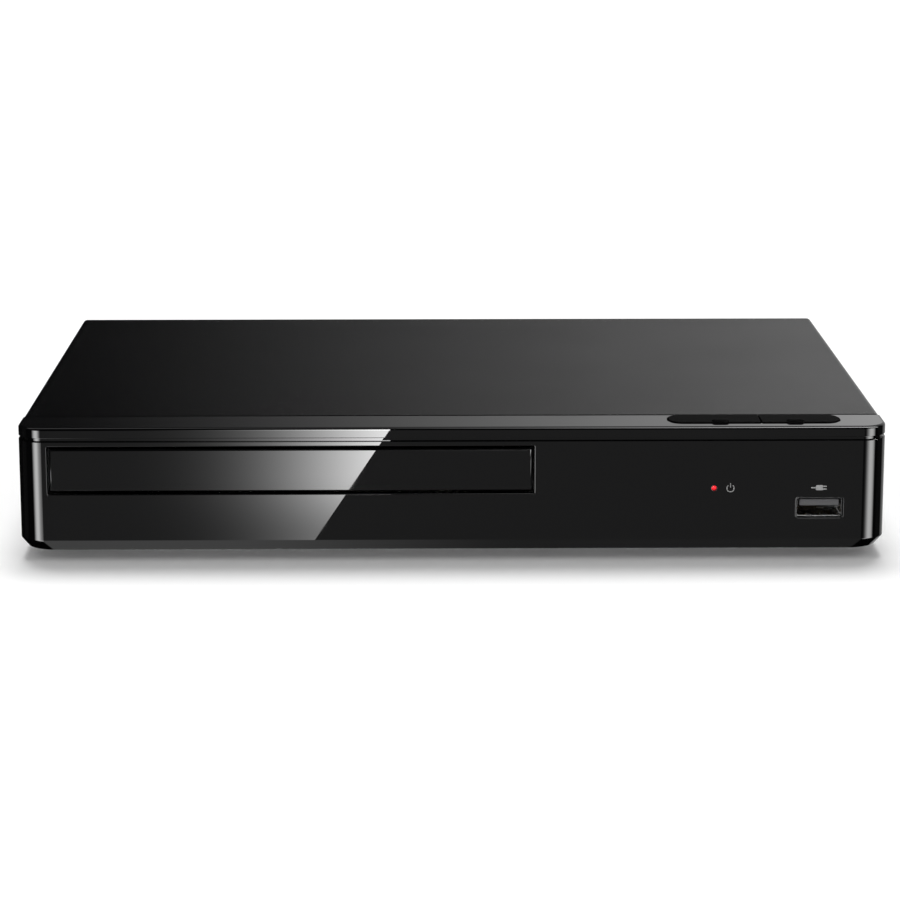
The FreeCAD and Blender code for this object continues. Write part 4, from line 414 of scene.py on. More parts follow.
@dataclass(frozen=True)
class Zinc(Finish):
    """Zinc-plated sheet: spangle, rolling lines and dull patches."""

    tint: Colour = (0.56, 0.57, 0.58)
    rough: float = 0.3

    def inputs(self, graph: Graph) -> dict[str, Value | Colour]:
        """Each cell of the spangle has its own grey, crossed by noise drawn out along X.

        Args:
            graph: Graph to build in.

        Returns:
            Value of each named input.
        """
        spangle = graph.node("ShaderNodeRGBToBW", {"Color": graph.cells(3.2, "Color")})
        rolled = graph.noise(0.6, 3, graph.place(0.05, 1, 1))
        return {
            "Base Color": graph.mix(spangle * 0.5 + rolled * 0.4, shade(self.tint, 0.72), self.tint),
            "Metallic": 1.0,
            "Roughness": spangle * 0.12 + graph.noise(25, 4) * 0.18 + (self.rough - 0.12),
            "Normal": graph.bump(rolled, 0.004, 0.08),
        }


@dataclass(frozen=True)
class Plate(Finish):
    """Bright plated metal with hairlines and a few dull spots."""

    tint: Colour = (0.72, 0.71, 0.68)
    rough: float = 0.16

    def inputs(self, graph: Graph) -> dict[str, Value | Colour]:
        """Hairlines are noise drawn out along Y, and spots are its peaks.

        Args:
            graph: Graph to build in.

        Returns:
            Value of each named input.
        """
        hair = graph.noise(0.12, 2, graph.place(1, 0.06, 1))
        spots = graph.noise(2.5, 3).between(0.55, 0.75)
        return {
            "Base Color": graph.mix(spots * 0.6, self.tint, shade(self.tint, 0.8)),
            "Metallic": 1.0,
            "Roughness": hair * 0.08 + spots * 0.12 + self.rough,
            "Normal": graph.bump(hair, 0.002, 0.06),
        }


@dataclass(frozen=True)
class Rubber(Finish):
    """Matt black rubber with a powdery bloom and a pitted skin."""

    def inputs(self, graph: Graph) -> dict[str, Value | Colour]:
        """Bloom is soft noise, and pits are the middles of small cells.

        Args:
            graph: Graph to build in.

        Returns:
            Value of each named input.
        """
        bloom = graph.noise(5, 4).between(0.3, 0.8)
        return {
            "Base Color": graph.mix(bloom, (0.012, 0.012, 0.012), (0.03, 0.03, 0.029)),
            "Roughness": bloom * 0.12 + 0.72,
            "Normal": graph.bump(graph.cells(0.4), 0.02, 0.2),
        }


@dataclass(frozen=True)
class Circuit(Finish):
    """Solder mask over a maze of traces, with tinned pads."""

    mask: Colour
    trace: Colour
    pitch: float = 1.9

    def inputs(self, graph: Graph) -> dict[str, Value | Colour]:
        """Each square of a grid turns its short trace one way or the other, and pads are rings.

        Args:
            graph: Graph to build in.

        Returns:
            Value of each named input.
        """
        x, y, _ = graph.axes()
        across = x / self.pitch
        along = y / self.pitch
        turned = graph.luck(across.whole(), along.whole()) > 0.5
        upright = across.part().distance(0.5) < 0.1
        level = along.part().distance(0.5) < 0.1
        line = turned * upright + (1 - turned) * level
        dots = graph.cells(self.pitch * 1.7)
        pad = (dots < 0.16) * (dots > 0.07)
        return {
            "Base Color": graph.mix(pad, graph.mix(line * 0.8, self.mask, self.trace), (0.62, 0.6, 0.55)),
            "Metallic": pad * 0.9,
            "Roughness": graph.noise(0.5) * 0.12 + 0.24,
            "Normal": graph.bump(line + pad, 0.03, 0.1),
        }


@dataclass(frozen=True)
class Epoxy(Finish):
    """Chip package with a sandy grain."""

    def inputs(self, graph: Graph) -> dict[str, Value | Colour]:
        """Colour, roughness and relief follow one fine noise.

        Args:
            graph: Graph to build in.

        Returns:
            Value of each named input.
        """
        sand = graph.noise(0.08, 3)
        return {
            "Base Color": graph.mix(sand, (0.012, 0.012, 0.013), (0.03, 0.03, 0.031)),
            "Roughness": sand * 0.1 + 0.5,
            "Normal": graph.bump(sand, 0.01, 0.1),
        }


@dataclass(frozen=True)
class Extruded(Finish):
    """Extruded aluminium with die lines along Y."""

    def inputs(self, graph: Graph) -> dict[str, Value | Colour]:
        """Die lines are noise drawn out along Y.

        Args:
            graph: Graph to build in.

        Returns:
            Value of each named input.
        """
        lines = graph.noise(0.2, 3, graph.place(1, 0.02, 1))
        return {
            "Base Color": graph.mix(lines, (0.6, 0.61, 0.62), (0.78, 0.78, 0.79)),
            "Metallic": 1.0,
            "Roughness": lines * 0.2 + 0.28,
            "Normal": graph.bump(lines, 0.01, 0.1),
        }


@dataclass(frozen=True)
class Tinted(Finish):
    """Tinted clear plastic that may be lit from within."""

    tint: Colour
    light: float = 0.0

    def inputs(self, graph: Graph) -> dict[str, Value | Colour]:
        """Colour and light follow one soft noise.

        Args:
            graph: Graph to build in.

        Returns:
            Value of each named input.
        """
        depth = graph.mix(graph.noise(0.8), shade(self.tint, 0.6), self.tint)
        return {
            "Base Color": depth,
            "Roughness": graph.noise(0.8) * 0.05 + 0.08,
            "Emission Color": depth,
            "Emission Strength": self.light,
            "Coat Weight": 0.5,
        }


@dataclass(frozen=True)
class Glass(Finish):
    """Thin clear glass with a faint coating."""

    tint: Colour

    def inputs(self, graph: Graph) -> dict[str, Value | Colour]:
        """The coating's depth follows soft noise.

        Args:
            graph: Graph to build in.

        Returns:
            Value of each named input.
        """
        film = graph.noise(2)
        return {
            "Base Color": graph.mix(film, self.tint, shade(self.tint, 1.1)),
            "Roughness": film * 0.03 + 0.02,
            "Alpha": film * 0.1 + 0.35,
            "IOR": 1.5,
        }


@dataclass(frozen=True)
class Sleeve(Finish):
    """Shrunk sleeve of a can, with a pale stripe on its left and a bare top."""

    node: str
    stripe: float = 0.12
    bare: float = 0.3

    def inputs(self, graph: Graph) -> dict[str, Value | Colour]:
        """The stripe and the bare top are places in the can's box.

        Args:
            graph: Graph to build in.

        Returns:
            Value of each named input.
        """
        x, _, z = graph.axes()
        can = extent(self.node)
        stripe = x < can.low[0] + can.size[0] * self.stripe
        bare = z > can.high[2] - self.bare
        wrinkle = graph.noise(1.5, 2, graph.place(1, 1, 0.3))
        body = graph.mix(stripe, (0.012, 0.016, 0.04), (0.5, 0.52, 0.55))
        return {
            "Base Color": graph.mix(bare, body, (0.7, 0.7, 0.71)),
            "Metallic": bare * 1.0,
            "Roughness": wrinkle * 0.1 + 0.25,
            "Normal": graph.bump(wrinkle, 0.05),
        }


@dataclass(frozen=True)
class Wound(Finish):
    """Lacquered copper wire, wound in layers across an axis."""

    tint: Colour = (0.72, 0.32, 0.14)
    pitch: float = 0.5

    def inputs(self, graph: Graph) -> dict[str, Value | Colour]:
        """Turns are a wave of the given pitch along Y, and painted shade darkens the creases between them.

        Args:
            graph: Graph to build in.

        Returns:
            Value of each named input.
        """
        _, y, _ = graph.axes()
        turn = (y / self.pitch).part().distance(0.5) * 2
        return {
            # Colour darkens towards the creases between turns: painted shade, not a property of the wire.
            "Base Color": graph.mix(turn, self.tint, shade(self.tint, 0.3)),
            "Metallic": 0.8,
            "Roughness": graph.noise(3) * 0.15 + 0.25,
            "Normal": graph.bump(1 - turn * turn, 0.12),
        }


FINISHES: dict[str, Finish] = {
    "panel_gloss": GlossMoulding(),
    "key_black": Moulding((0.003, 0.003, 0.003), 0.6, 0.0, 0.02),
    "cover_paint": Paint(),
    "rear_paint": Paint(0.4),
    "chassis_steel": Zinc(),
    "bridge_steel": Zinc((0.6, 0.6, 0.61), 0.28),
    "traverse_steel": Zinc((0.5, 0.5, 0.51), 0.34),
    # Socket steel darkened to paint the shade inside the recessed front port: painted shade.
    "port_shaded_steel": Plate((0.16, 0.16, 0.16), 0.2),
    "screw_black": Plate((0.05, 0.05, 0.052), 0.3),
    "screw_steel": Plate(),
    "switch_steel": Plate(),
    "socket_steel": Plate((0.6, 0.6, 0.59), 0.2),
    "rod_steel": Plate((0.78, 0.78, 0.78), 0.1),
    "motor_can": Zinc((0.6, 0.6, 0.61), 0.26),
    "magnet_metal": Plate((0.55, 0.55, 0.56), 0.22),
    "jack_metal": Plate(),
    "jack_insulator": Moulding((0.7, 0.16, 0.015), 0.35),
    "board_green": Circuit((0.01, 0.09, 0.035), (0.02, 0.2, 0.08)),
    "board_tan": Circuit((0.34, 0.22, 0.09), (0.5, 0.3, 0.1)),
    "chip_black": Epoxy(),
    "sink_aluminium": Extruded(),
    "tongue_plastic": Moulding((0.16, 0.16, 0.165), 0.4),
    "lamp_red": Tinted((0.9, 0.02, 0.03), 1.3),
    "sensor_dark": Tinted((0.05, 0.01, 0.02)),
    "foot_rubber": Rubber(),
    "belt_rubber": Rubber(),
    "pad_rubber": Rubber(),
    "inlet_plastic": Moulding((0.02, 0.02, 0.02), 0.5),
    "core_ferrite": Moulding((0.035, 0.035, 0.037), 0.72),
    "capacitor_sleeve": Sleeve("bulk_capacitor"),
    "fuse_glass": Glass((0.85, 0.87, 0.87)),
    "wire_red": Moulding((0.4, 0.02, 0.02), 0.5),
    "ribbon_white": Moulding((0.75, 0.76, 0.77), 0.5),
    "loader_plastic": Moulding((0.02, 0.02, 0.021), 0.5),
    "tray_plastic": Moulding((0.022, 0.022, 0.023), 0.42),
    "clamper_plastic": Moulding((0.75, 0.75, 0.73), 0.4, 0.1),
    "gear_plastic": Moulding((0.78, 0.78, 0.74), 0.35, 0.15),
    "turntable_plastic": Moulding((0.03, 0.03, 0.03), 0.4),
    "pickup_metal": Zinc((0.45, 0.45, 0.46), 0.42),
    "lens_clear": Glass((0.55, 0.65, 0.85)),
    "gold": Plate((0.95, 0.68, 0.28), 0.18),
    "copper_wire": Wound(),
    "yellow_tape": Moulding((0.75, 0.5, 0.03), 0.35),
    "white_print": Moulding((0.6, 0.6, 0.6), 0.55),
    "lamp_amber": Tinted((0.55, 0.3, 0.04)),
    "lamp_green": Tinted((0.06, 0.4, 0.08)),
    "ivory_plastic": Moulding((0.7, 0.66, 0.55), 0.45),
}


def material(name: str) -> bpy.types.Material:
    """Material of a finish, made when it is first asked for."""
    return bpy.data.materials.get("finish_" + name) or FINISHES[name].make("finish_" + name)


def paint_nodes() -> None:
    """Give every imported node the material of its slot."""
    for part in frame["record"]["subparts"]:
        for place in frame["nodes"][part["node"]].material_slots:
            place.material = material(part["material_slot"])


# Sketches

@dataclass(frozen=True)
class Outline:
    """Rectangle about a middle point, with a radius for all corners or for each.

    Corners run anticlockwise from the upper right. A corner of no radius stays sharp.
    """

    x: float
    y: float
    width: float
    height: float
    radius: float | tuple[float, float, float, float] = 0.0
    steps: int = 6

    def loop(self, grow: float = 0.0) -> np.ndarray:
        """Corner arcs one after another, each a quarter turn on from the last.

        Args:
            grow: How far the loop lies outside the outline.

        Returns:
            Rows of two numbers, anticlockwise.
        """
        reach = np.array([self.width, self.height]) / 2 + grow
        signs = np.array([(1, 1), (-1, 1), (-1, -1), (1, -1)])
        arcs = []
        for quarter, (sign, radius) in enumerate(zip(signs, np.broadcast_to(self.radius, 4))):
            bend = max(radius + grow, 0.0) if radius else 0.0
            turn = (quarter + np.linspace(0, 1, self.steps + 1 if radius else 1)) * math.pi / 2
            middle = np.array([self.x, self.y]) + sign * (reach - bend)
            arcs.append(middle + bend * np.column_stack([np.cos(turn), np.sin(turn)]))
        return np.vstack(arcs)


def arc(
    x: float, y: float, radius: float | tuple[float, float], start: float, end: float, steps: int = 6,
) -> np.ndarray:
    """Points of an arc, of an ellipse where it has two radii, its angles in degrees."""
    turn = np.radians(np.linspace(start, end, steps + 1))
    return np.column_stack([np.cos(turn), np.sin(turn)]) * radius + (x, y)


def disc(x: float, y: float, radius: float, steps: int = 8) -> Outline:
    """Circle with the given steps to each quarter."""
    return Outline(x, y, radius * 2, radius * 2, radius, steps)


def slot(x: float, y: float, width: float, height: float) -> Outline:
    """Rectangle with round ends."""
    return Outline(x, y, width, height, min(width, height) / 2)


def cross(x: float, y: float, reach: float, width: float) -> np.ndarray:
    """Upright cross.

    Args:
        x: Middle, with y.
        reach: Half its length.
        width: Width of its arms.

    Returns:
        Its twelve corners.
    """
    half = width / 2
    arm = np.array([(reach, half), (half, half), (half, reach)])
    quarter = np.array([[0, -1], [1, 0]])
    return np.vstack([arm @ np.linalg.matrix_power(quarter, -k) for k in range(4)]) + (x, y)


Shape = Outline | np.ndarray


def loop_of(shape: Shape) -> np.ndarray:
    """Points of an outline or of a loop that is given as it is."""
    return shape.loop() if isinstance(shape, Outline) else shape


def inside(loop: np.ndarray, points: np.ndarray) -> np.ndarray:
    """Which points lie in a loop: those with an odd number of its sides to their right.

    Args:
        loop: The loop.
        points: Rows of two numbers.

    Returns:
        True or False for each point.
    """
    x0, y0 = loop.T
    x1, y1 = np.roll(loop, -1, axis=0).T
    x, y = points[:, :1], points[:, 1:]
    crosses = (y0 > y) != (y1 > y)
    rise = np.where(y1 == y0, 1.0, y1 - y0)
    return (crosses & (x < (x1 - x0) * (y - y0) / rise + x0)).sum(axis=1) % 2 == 1


def split(loops: Sequence[np.ndarray]) -> tuple[np.ndarray, np.ndarray]:
    """Triangles of the hull of some loops, cut along every loop.

    Args:
        loops: Loops of points.

    Returns:
        Points and triangles.
    """
    starts = np.cumsum([0] + [len(loop) for loop in loops])
    sides = [
        (int(start + step), int(start + (step + 1) % len(loop)))
        for start, loop in zip(starts, loops) for step in range(len(loop))
    ]
    flat = [Vector(point) for point in np.vstack(loops).tolist()]
    points, _, faces, *_ = delaunay_2d_cdt(flat, sides, [], 0, 1e-4)
    placed = np.array([tuple(point) for point in points])
    triangles = np.array([tuple(face) for face in faces])
    first, second, third = np.moveaxis(placed[triangles], 1, 0)
    lefts = np.cross(second - first, third - first) > 0
    return placed, np.where(lefts[:, None], triangles, triangles[:, ::-1])


# Surfaces

class Skin:
    """Surface put together from grids, flat areas and stacks of layers."""

    def __init__(self) -> None:
        """Start with nothing."""
        self.points: list[np.ndarray] = []
        self.faces: list[list[int]] = []
        self.curved: list[bool] = []
        self.count = 0

    def add(self, points: np.ndarray, faces: np.ndarray, curved: bool = True) -> "Skin":
        """Add faces over new points.

        Args:
            points: Rows of three numbers.
            faces: Rows of point numbers that start from 0.
            curved: Whether shading runs on over their edges.

        Returns:
            This surface.
        """
        self.points.append(points)
        self.faces += (faces + self.count).tolist()
        self.curved += [curved] * len(faces)
        self.count += len(points)
        return self

    def grid(self, rows: np.ndarray, closed: bool = False, keep: np.ndarray | None = None) -> "Skin":
        """Add squares between rows of points.

        Args:
            rows: Rows, points and coordinates.
            closed: Whether each row runs round to its start.
            keep: Which squares are made, by row and column, all when left out.

        Returns:
            This surface.
        """
        height, width, _ = rows.shape
        column = np.arange(width if closed else width - 1)
        low = np.arange(height - 1)[:, None] * width
        after = (column + 1) % width
        squares = np.stack([low + column, low + after, low + width + after, low + width + column], axis=-1)
        chosen = squares.reshape(-1, 4) if keep is None else squares[keep]
        return self.add(rows.reshape(-1, 3), chosen)

    def fill(self, plane: Plane, level: float, outer: np.ndarray, *holes: np.ndarray) -> "Skin":
        """Add the flat area between a loop and its holes.

        Args:
            plane: Plane of the loops.
            level: Where they lie across it.
            outer: Loop round the area.
            *holes: Loops inside it.

        Returns:
            This surface.
        """
        points, faces = split([outer, *holes])
        middles = points[faces].mean(axis=1)
        cut = np.any([inside(hole, middles) for hole in holes] or False, axis=0)
        return self.add(plane.lift(points, level), faces[inside(outer, middles) & ~cut], False)

    def wall(self, plane: Plane, outline: Outline, steps: Pairs) -> "Skin":
        """Add a band round an outline, from pairs of growth and level."""
        return self.grid(np.array([plane.lift(outline.loop(grow), level) for grow, level in steps]), True)

    def lathe(self, plane: Plane, x: float, y: float, profile: Pairs, steps: int = 48) -> "Skin":
        """Add a round body: each pair of radius and level is turned about an axis.

        Args:
            plane: Plane across the axis.
            x: Place of the axis in it, with y.
            profile: Pairs of radius and level.
            steps: Facets of a turn.

        Returns:
            This surface.
        """
        turn = np.linspace(0, 2 * math.pi, steps, endpoint=False)
        ring = np.column_stack([np.cos(turn), np.sin(turn)])
        return self.grid(np.array([plane.lift(ring * r + (x, y), level) for r, level in profile]), True)

    def tube(self, path: np.ndarray, radius: float, up: Sequence[float], steps: int = 10) -> "Skin":
        """Add a round bar along a path, with closed ends.

        Each ring is spanned by the cross product of the path's direction with up, and by that
        of both. Ends shrink to a point.

        Args:
            path: Points of its middle line.
            radius: Its radius.
            up: A direction that the path never takes.
            steps: Facets round it.

        Returns:
            This surface.
        """
        ahead = np.gradient(path, axis=0)
        ahead /= np.linalg.norm(ahead, axis=1, keepdims=True)
        side = np.cross(ahead, up)
        side /= np.linalg.norm(side, axis=1, keepdims=True)
        above = np.cross(side, ahead)
        turn = np.linspace(0, 2 * math.pi, steps, endpoint=False)[None, :, None]
        rings = path[:, None] + radius * (np.cos(turn) * side[:, None] + np.sin(turn) * above[:, None])
        ends = [np.repeat(path[end][None, None], steps, axis=1) for end in (0, -1)]
        return self.grid(np.concatenate([ends[0], rings, ends[1]]), True)

    def slab(
        self, plane: Plane, low: float, high: float, outline: Outline,
        edge: float = FINE, top_edge: float | None = None,
    ) -> "Skin":
        """Add a plate with round edges.

        Args:
            plane: Plane of the outline.
            low: Level of its lower face.
            high: Level of its upper face.
            outline: The outline.
            edge: Radius of its lower edge, and of the upper one when that is left out.
            top_edge: Radius of its upper edge.

        Returns:
            This surface.
        """
        above = edge if top_edge is None else top_edge
        self.fill(plane, low, outline.loop(-edge)).fill(plane, high, outline.loop(-above))
        return self.wall(plane, outline, [
            *arc(-edge, low + edge, edge, -90, 0, 4), *arc(-above, high - above, above, 0, 90, 4)])


class Stack(Skin):
    """Solid from pads and pockets across one plane, each over an outline and between two levels."""

    def __init__(self, plane: Plane) -> None:
        """Start with nothing.

        Args:
            plane: Plane of all its outlines.
        """
        super().__init__()
        self.plane = plane
        self.layers: list[tuple[np.ndarray, float, float, bool]] = []

    def pad(self, low: float, high: float, *shapes: Shape) -> "Stack":
        """Fill each shape between two levels."""
        self.layers += [(loop_of(shape), low, high, True) for shape in shapes]
        return self

    def pocket(self, low: float, high: float, *shapes: Shape) -> "Stack":
        """Empty each shape between two levels."""
        self.layers += [(loop_of(shape), low, high, False) for shape in shapes]
        return self

    def settle(self) -> "Stack":
        """Turn the layers into a closed surface.

        The loops cut the plane into triangles, and the levels cut it into storeys. A triangle
        stands in a storey where the last layer that covers both is a pad. A flat face lies
        where two storeys of a triangle differ, and a wall where two neighbours differ.

        Returns:
            This surface.
        """
        levels = np.unique(np.round([level for _, low, high, _ in self.layers for level in (low, high)], 5))
        points, faces = split([loop for loop, *_ in self.layers])
        storeys = (levels[1:] + levels[:-1]) / 2
        middles = points[faces].mean(axis=1)
        solid = np.zeros((len(faces) + 1, len(storeys) + 2), bool)
        for loop, low, high, adds in self.layers:
            hit = inside(loop, middles)[:, None] & (storeys > low) & (storeys < high)
            solid[:-1, 1:-1] = solid[:-1, 1:-1] | hit if adds else solid[:-1, 1:-1] & ~hit
        count = len(points)
        placed = np.vstack([self.plane.lift(points, level) for level in levels])
        flip = self.plane is Plane.FRONT
        for roof in (False, True):
            below, above = (solid[:-1, :-1], solid[:-1, 1:])
            face, level = np.nonzero(below & ~above if roof else above & ~below)
            flat = faces[face] + level[:, None] * count
            self.add(placed, flat if roof != flip else flat[:, ::-1])
        sides = np.concatenate([faces[:, [0, 1]], faces[:, [1, 2]], faces[:, [2, 0]]])
        owner = np.tile(np.arange(len(faces)), 3)
        _, where = np.unique(np.sort(sides, axis=1), axis=0, return_inverse=True)
        where = where.reshape(-1)
        one = np.full(where.max() + 1, len(faces))
        other = one.copy()
        line = np.zeros((where.max() + 1, 2), int)
        one[where] = owner
        line[where] = sides
        late = one[where] != owner
        other[where[late]] = owner[late]
        for near, far, turned in ((one, other, False), (other, one, True)):
            side, storey = np.nonzero(solid[near, 1:-1] & ~solid[far, 1:-1])
            first, second = (line[side] + storey[:, None] * count).T
            quads = np.stack([first, second, second + count, first + count], axis=1)
            self.add(placed, quads[:, ::-1] if turned != flip else quads)
        self.layers = []
        return self


def fit(
    name: str, finish: str, *skins: Skin, on: str = "bottom_chassis", replaces: Sequence[str] = (),
    slot_name: str | None = None, soften: float = 0.0, sharp: float = 35.0,
) -> bpy.types.Object:
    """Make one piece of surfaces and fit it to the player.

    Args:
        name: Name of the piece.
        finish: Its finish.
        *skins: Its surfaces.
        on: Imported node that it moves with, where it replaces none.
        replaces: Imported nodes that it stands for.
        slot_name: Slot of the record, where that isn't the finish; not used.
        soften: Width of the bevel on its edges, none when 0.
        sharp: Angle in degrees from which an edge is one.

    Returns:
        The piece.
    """
    mesh = bpy.data.meshes.new(name)
    points = [point for skin in skins for point in skin.points]
    starts = np.cumsum([0] + [skin.count for skin in skins])
    faces = [[int(corner + start) for corner in face]
             for skin, start in zip(skins, starts) for face in skin.faces]
    mesh.from_pydata((np.vstack(points) * UNIT).tolist(), [], faces)
    mesh.polygons.foreach_set("use_smooth", [curved for skin in skins for curved in skin.curved])
    work = bmesh.new()
    work.from_mesh(mesh)
    bmesh.ops.remove_doubles(work, verts=work.verts, dist=TOUCH)
    bmesh.ops.dissolve_degenerate(work, edges=work.edges, dist=TOUCH)
    bmesh.ops.delete(work, geom=[vert for vert in work.verts if not vert.link_faces], context="VERTS")
    if soften:
        bmesh.ops.dissolve_limit(work, angle_limit=LEVEL, verts=work.verts, edges=work.edges)
    if not all(isinstance(skin, Stack) for skin in skins):
        bmesh.ops.recalc_face_normals(work, faces=work.faces)
    for edge in work.edges:
        shared = len(edge.link_faces) == 2
        edge.smooth = bool(soften) or shared and edge.calc_face_angle() < math.radians(sharp)
    work.to_mesh(mesh)
    work.free()
    piece = bpy.data.objects.new(name, mesh)
    bpy.context.scene.collection.objects.link(piece)
    if soften:
        bevel = piece.modifiers.new("edges", "BEVEL")
        bevel.width = soften * UNIT
        bevel.segments = 2
        bevel.angle_limit = math.radians(sharp)
        bevel.use_clamp_overlap = False
    weighted = piece.modifiers.new("normals", "WEIGHTED_NORMAL")
    weighted.keep_sharp = True
    weighted.weight = 100 if soften else 50
    mesh.materials.append(material(finish))
    carrier = frame["nodes"][(*replaces, on)[0]].parent
    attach(piece, next(body for body, empty in frame["bodies"].items() if empty == carrier))
    if replaces:
        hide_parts(*replaces)
    log.info("%s: %d points, %d faces", name, len(mesh.vertices), len(mesh.polygons))
    return piece


# Places shared by several pieces

PANEL = extent("front_panel")
COVER = extent("top_cover")
DOOR = extent("tray_door")
TRAY = extent("disc_tray")
PORT = extent("usb_shell")
CHASSIS = extent("bottom_chassis")
REAR = extent("rear_panel")
BOARD = extent("main_board")
FRONT = PANEL.low[1]
TOP = COVER.high[2]
BASE = PANEL.low[2]
HALF = PANEL.high[0]
SHEET = 0.8
WALL = 2.2
SEAM = 1.2
SCREW_HOLE = 1.55
SCREW_HEAD = 2.8
HEAD_HEIGHT = 1.6
THREAD_PITCH = 0.8


def cross_head(
    skin: Skin, plane: Plane, x: float, y: float, seat: float, rise: float,
    radius: float = SCREW_HEAD, shank: float = 1.4, grip: float = 4.5,
) -> None:
    """Add a screw: a domed head with a tapered cross, and a shank with rings for its thread.

    The dome is a quarter of an ellipse from the head's edge to its flat middle.

    Args:
        skin: Surface to add to.
        plane: Plane of its seat.
        x: Its place, with y.
        seat: Level of its seat.
        rise: 1 where the head points up the axis, -1 where it points down.
        radius: Radius of the head.
        shank: Radius of the thread.
        grip: Length of the thread.
    """
    flat = radius * 0.62
    top = seat + rise * HEAD_HEIGHT
    brim = rise * HEAD_HEIGHT * 0.35
    dome = arc(flat, seat + brim, (radius - flat, rise * HEAD_HEIGHT - brim), 0, 90)
    rings = []
    for level in np.arange(THREAD_PITCH, grip, THREAD_PITCH):
        rings += [(shank, seat - rise * (level - THREAD_PITCH / 2)), (shank * 0.8, seat - rise * level)]
    tail = [(0.0, seat - rise * grip), (shank * 0.6, seat - rise * grip), *rings[::-1], (shank, seat)]
    skin.lathe(plane, x, y, [*tail, (radius, seat), *dome], 40)
    wide = cross(x, y, radius * 0.5, radius * 0.26)
    narrow = cross(x, y, radius * 0.28, radius * 0.16)
    floor = top - rise * HEAD_HEIGHT * 0.6
    skin.fill(plane, top, disc(x, y, flat, 10).loop(), wide)
    skin.grid(np.array([plane.lift(wide, top), plane.lift(narrow, floor)]), True)
    skin.fill(plane, floor, narrow)


@dataclass
class Prints:
    """Printed standby mark beside the lamp and a plain plug over the socket."""

    proud: float = 0.01
    thick: float = 0.05
    line: float = 0.25
    mark_shift: float = 4.6
    mark_radius: float = 1.15
    mark_turn: tuple[float, float] = (125.0, 415.0)
    mark_steps: int = 28
    bar_rise: float = 0.85
    bar_length: float = 1.3
    plug_drop: float = 17.67
    plug_shift: float = -0.2
    plug_size: tuple[float, float] = (2.0, 1.5)
    plug_round: float = 0.4
    prong_place: tuple[float, float] = (1.35, 0.4)
    prong_length: float = 1.1
    lead_shift: float = -1.85
    lead_length: float = 1.3
    stroke: float = 1.3

    def build(self, lamp: Outline, port: Outline) -> None:
        """Ring and bar of the mark; body, prongs and lead of the plug.

        Args:
            lamp: Hole of the lamp.
            port: Hole of the socket.
        """
        x, z = lamp.x + self.mark_shift, lamp.y
        start, end = self.mark_turn
        ring = np.vstack([arc(x, z, self.mark_radius, start, end, self.mark_steps),
                          arc(x, z, self.mark_radius - self.line, end, start, self.mark_steps)])
        bar = Outline(x, z + self.bar_rise, self.line, self.bar_length)
        x, z = port.x, TOP - self.plug_drop
        bent = self.plug_round
        body = Outline(x + self.plug_shift, z, *self.plug_size, (0, bent, bent, 0), 3)
        across, apart = self.prong_place
        thin = self.line * self.stroke
        prongs = [Outline(x + across, z + side * apart, self.prong_length, thin) for side in (-1, 1)]
        lead = Outline(x + self.lead_shift, z, self.lead_length, thin)
        marks = Stack(Plane.FRONT)
        marks.pad(FRONT - self.proud, FRONT + self.thick, ring, bar, body, lead, *prongs)
        fit("front_marks", "white_print", marks.settle(), slot_name="panel_gloss")


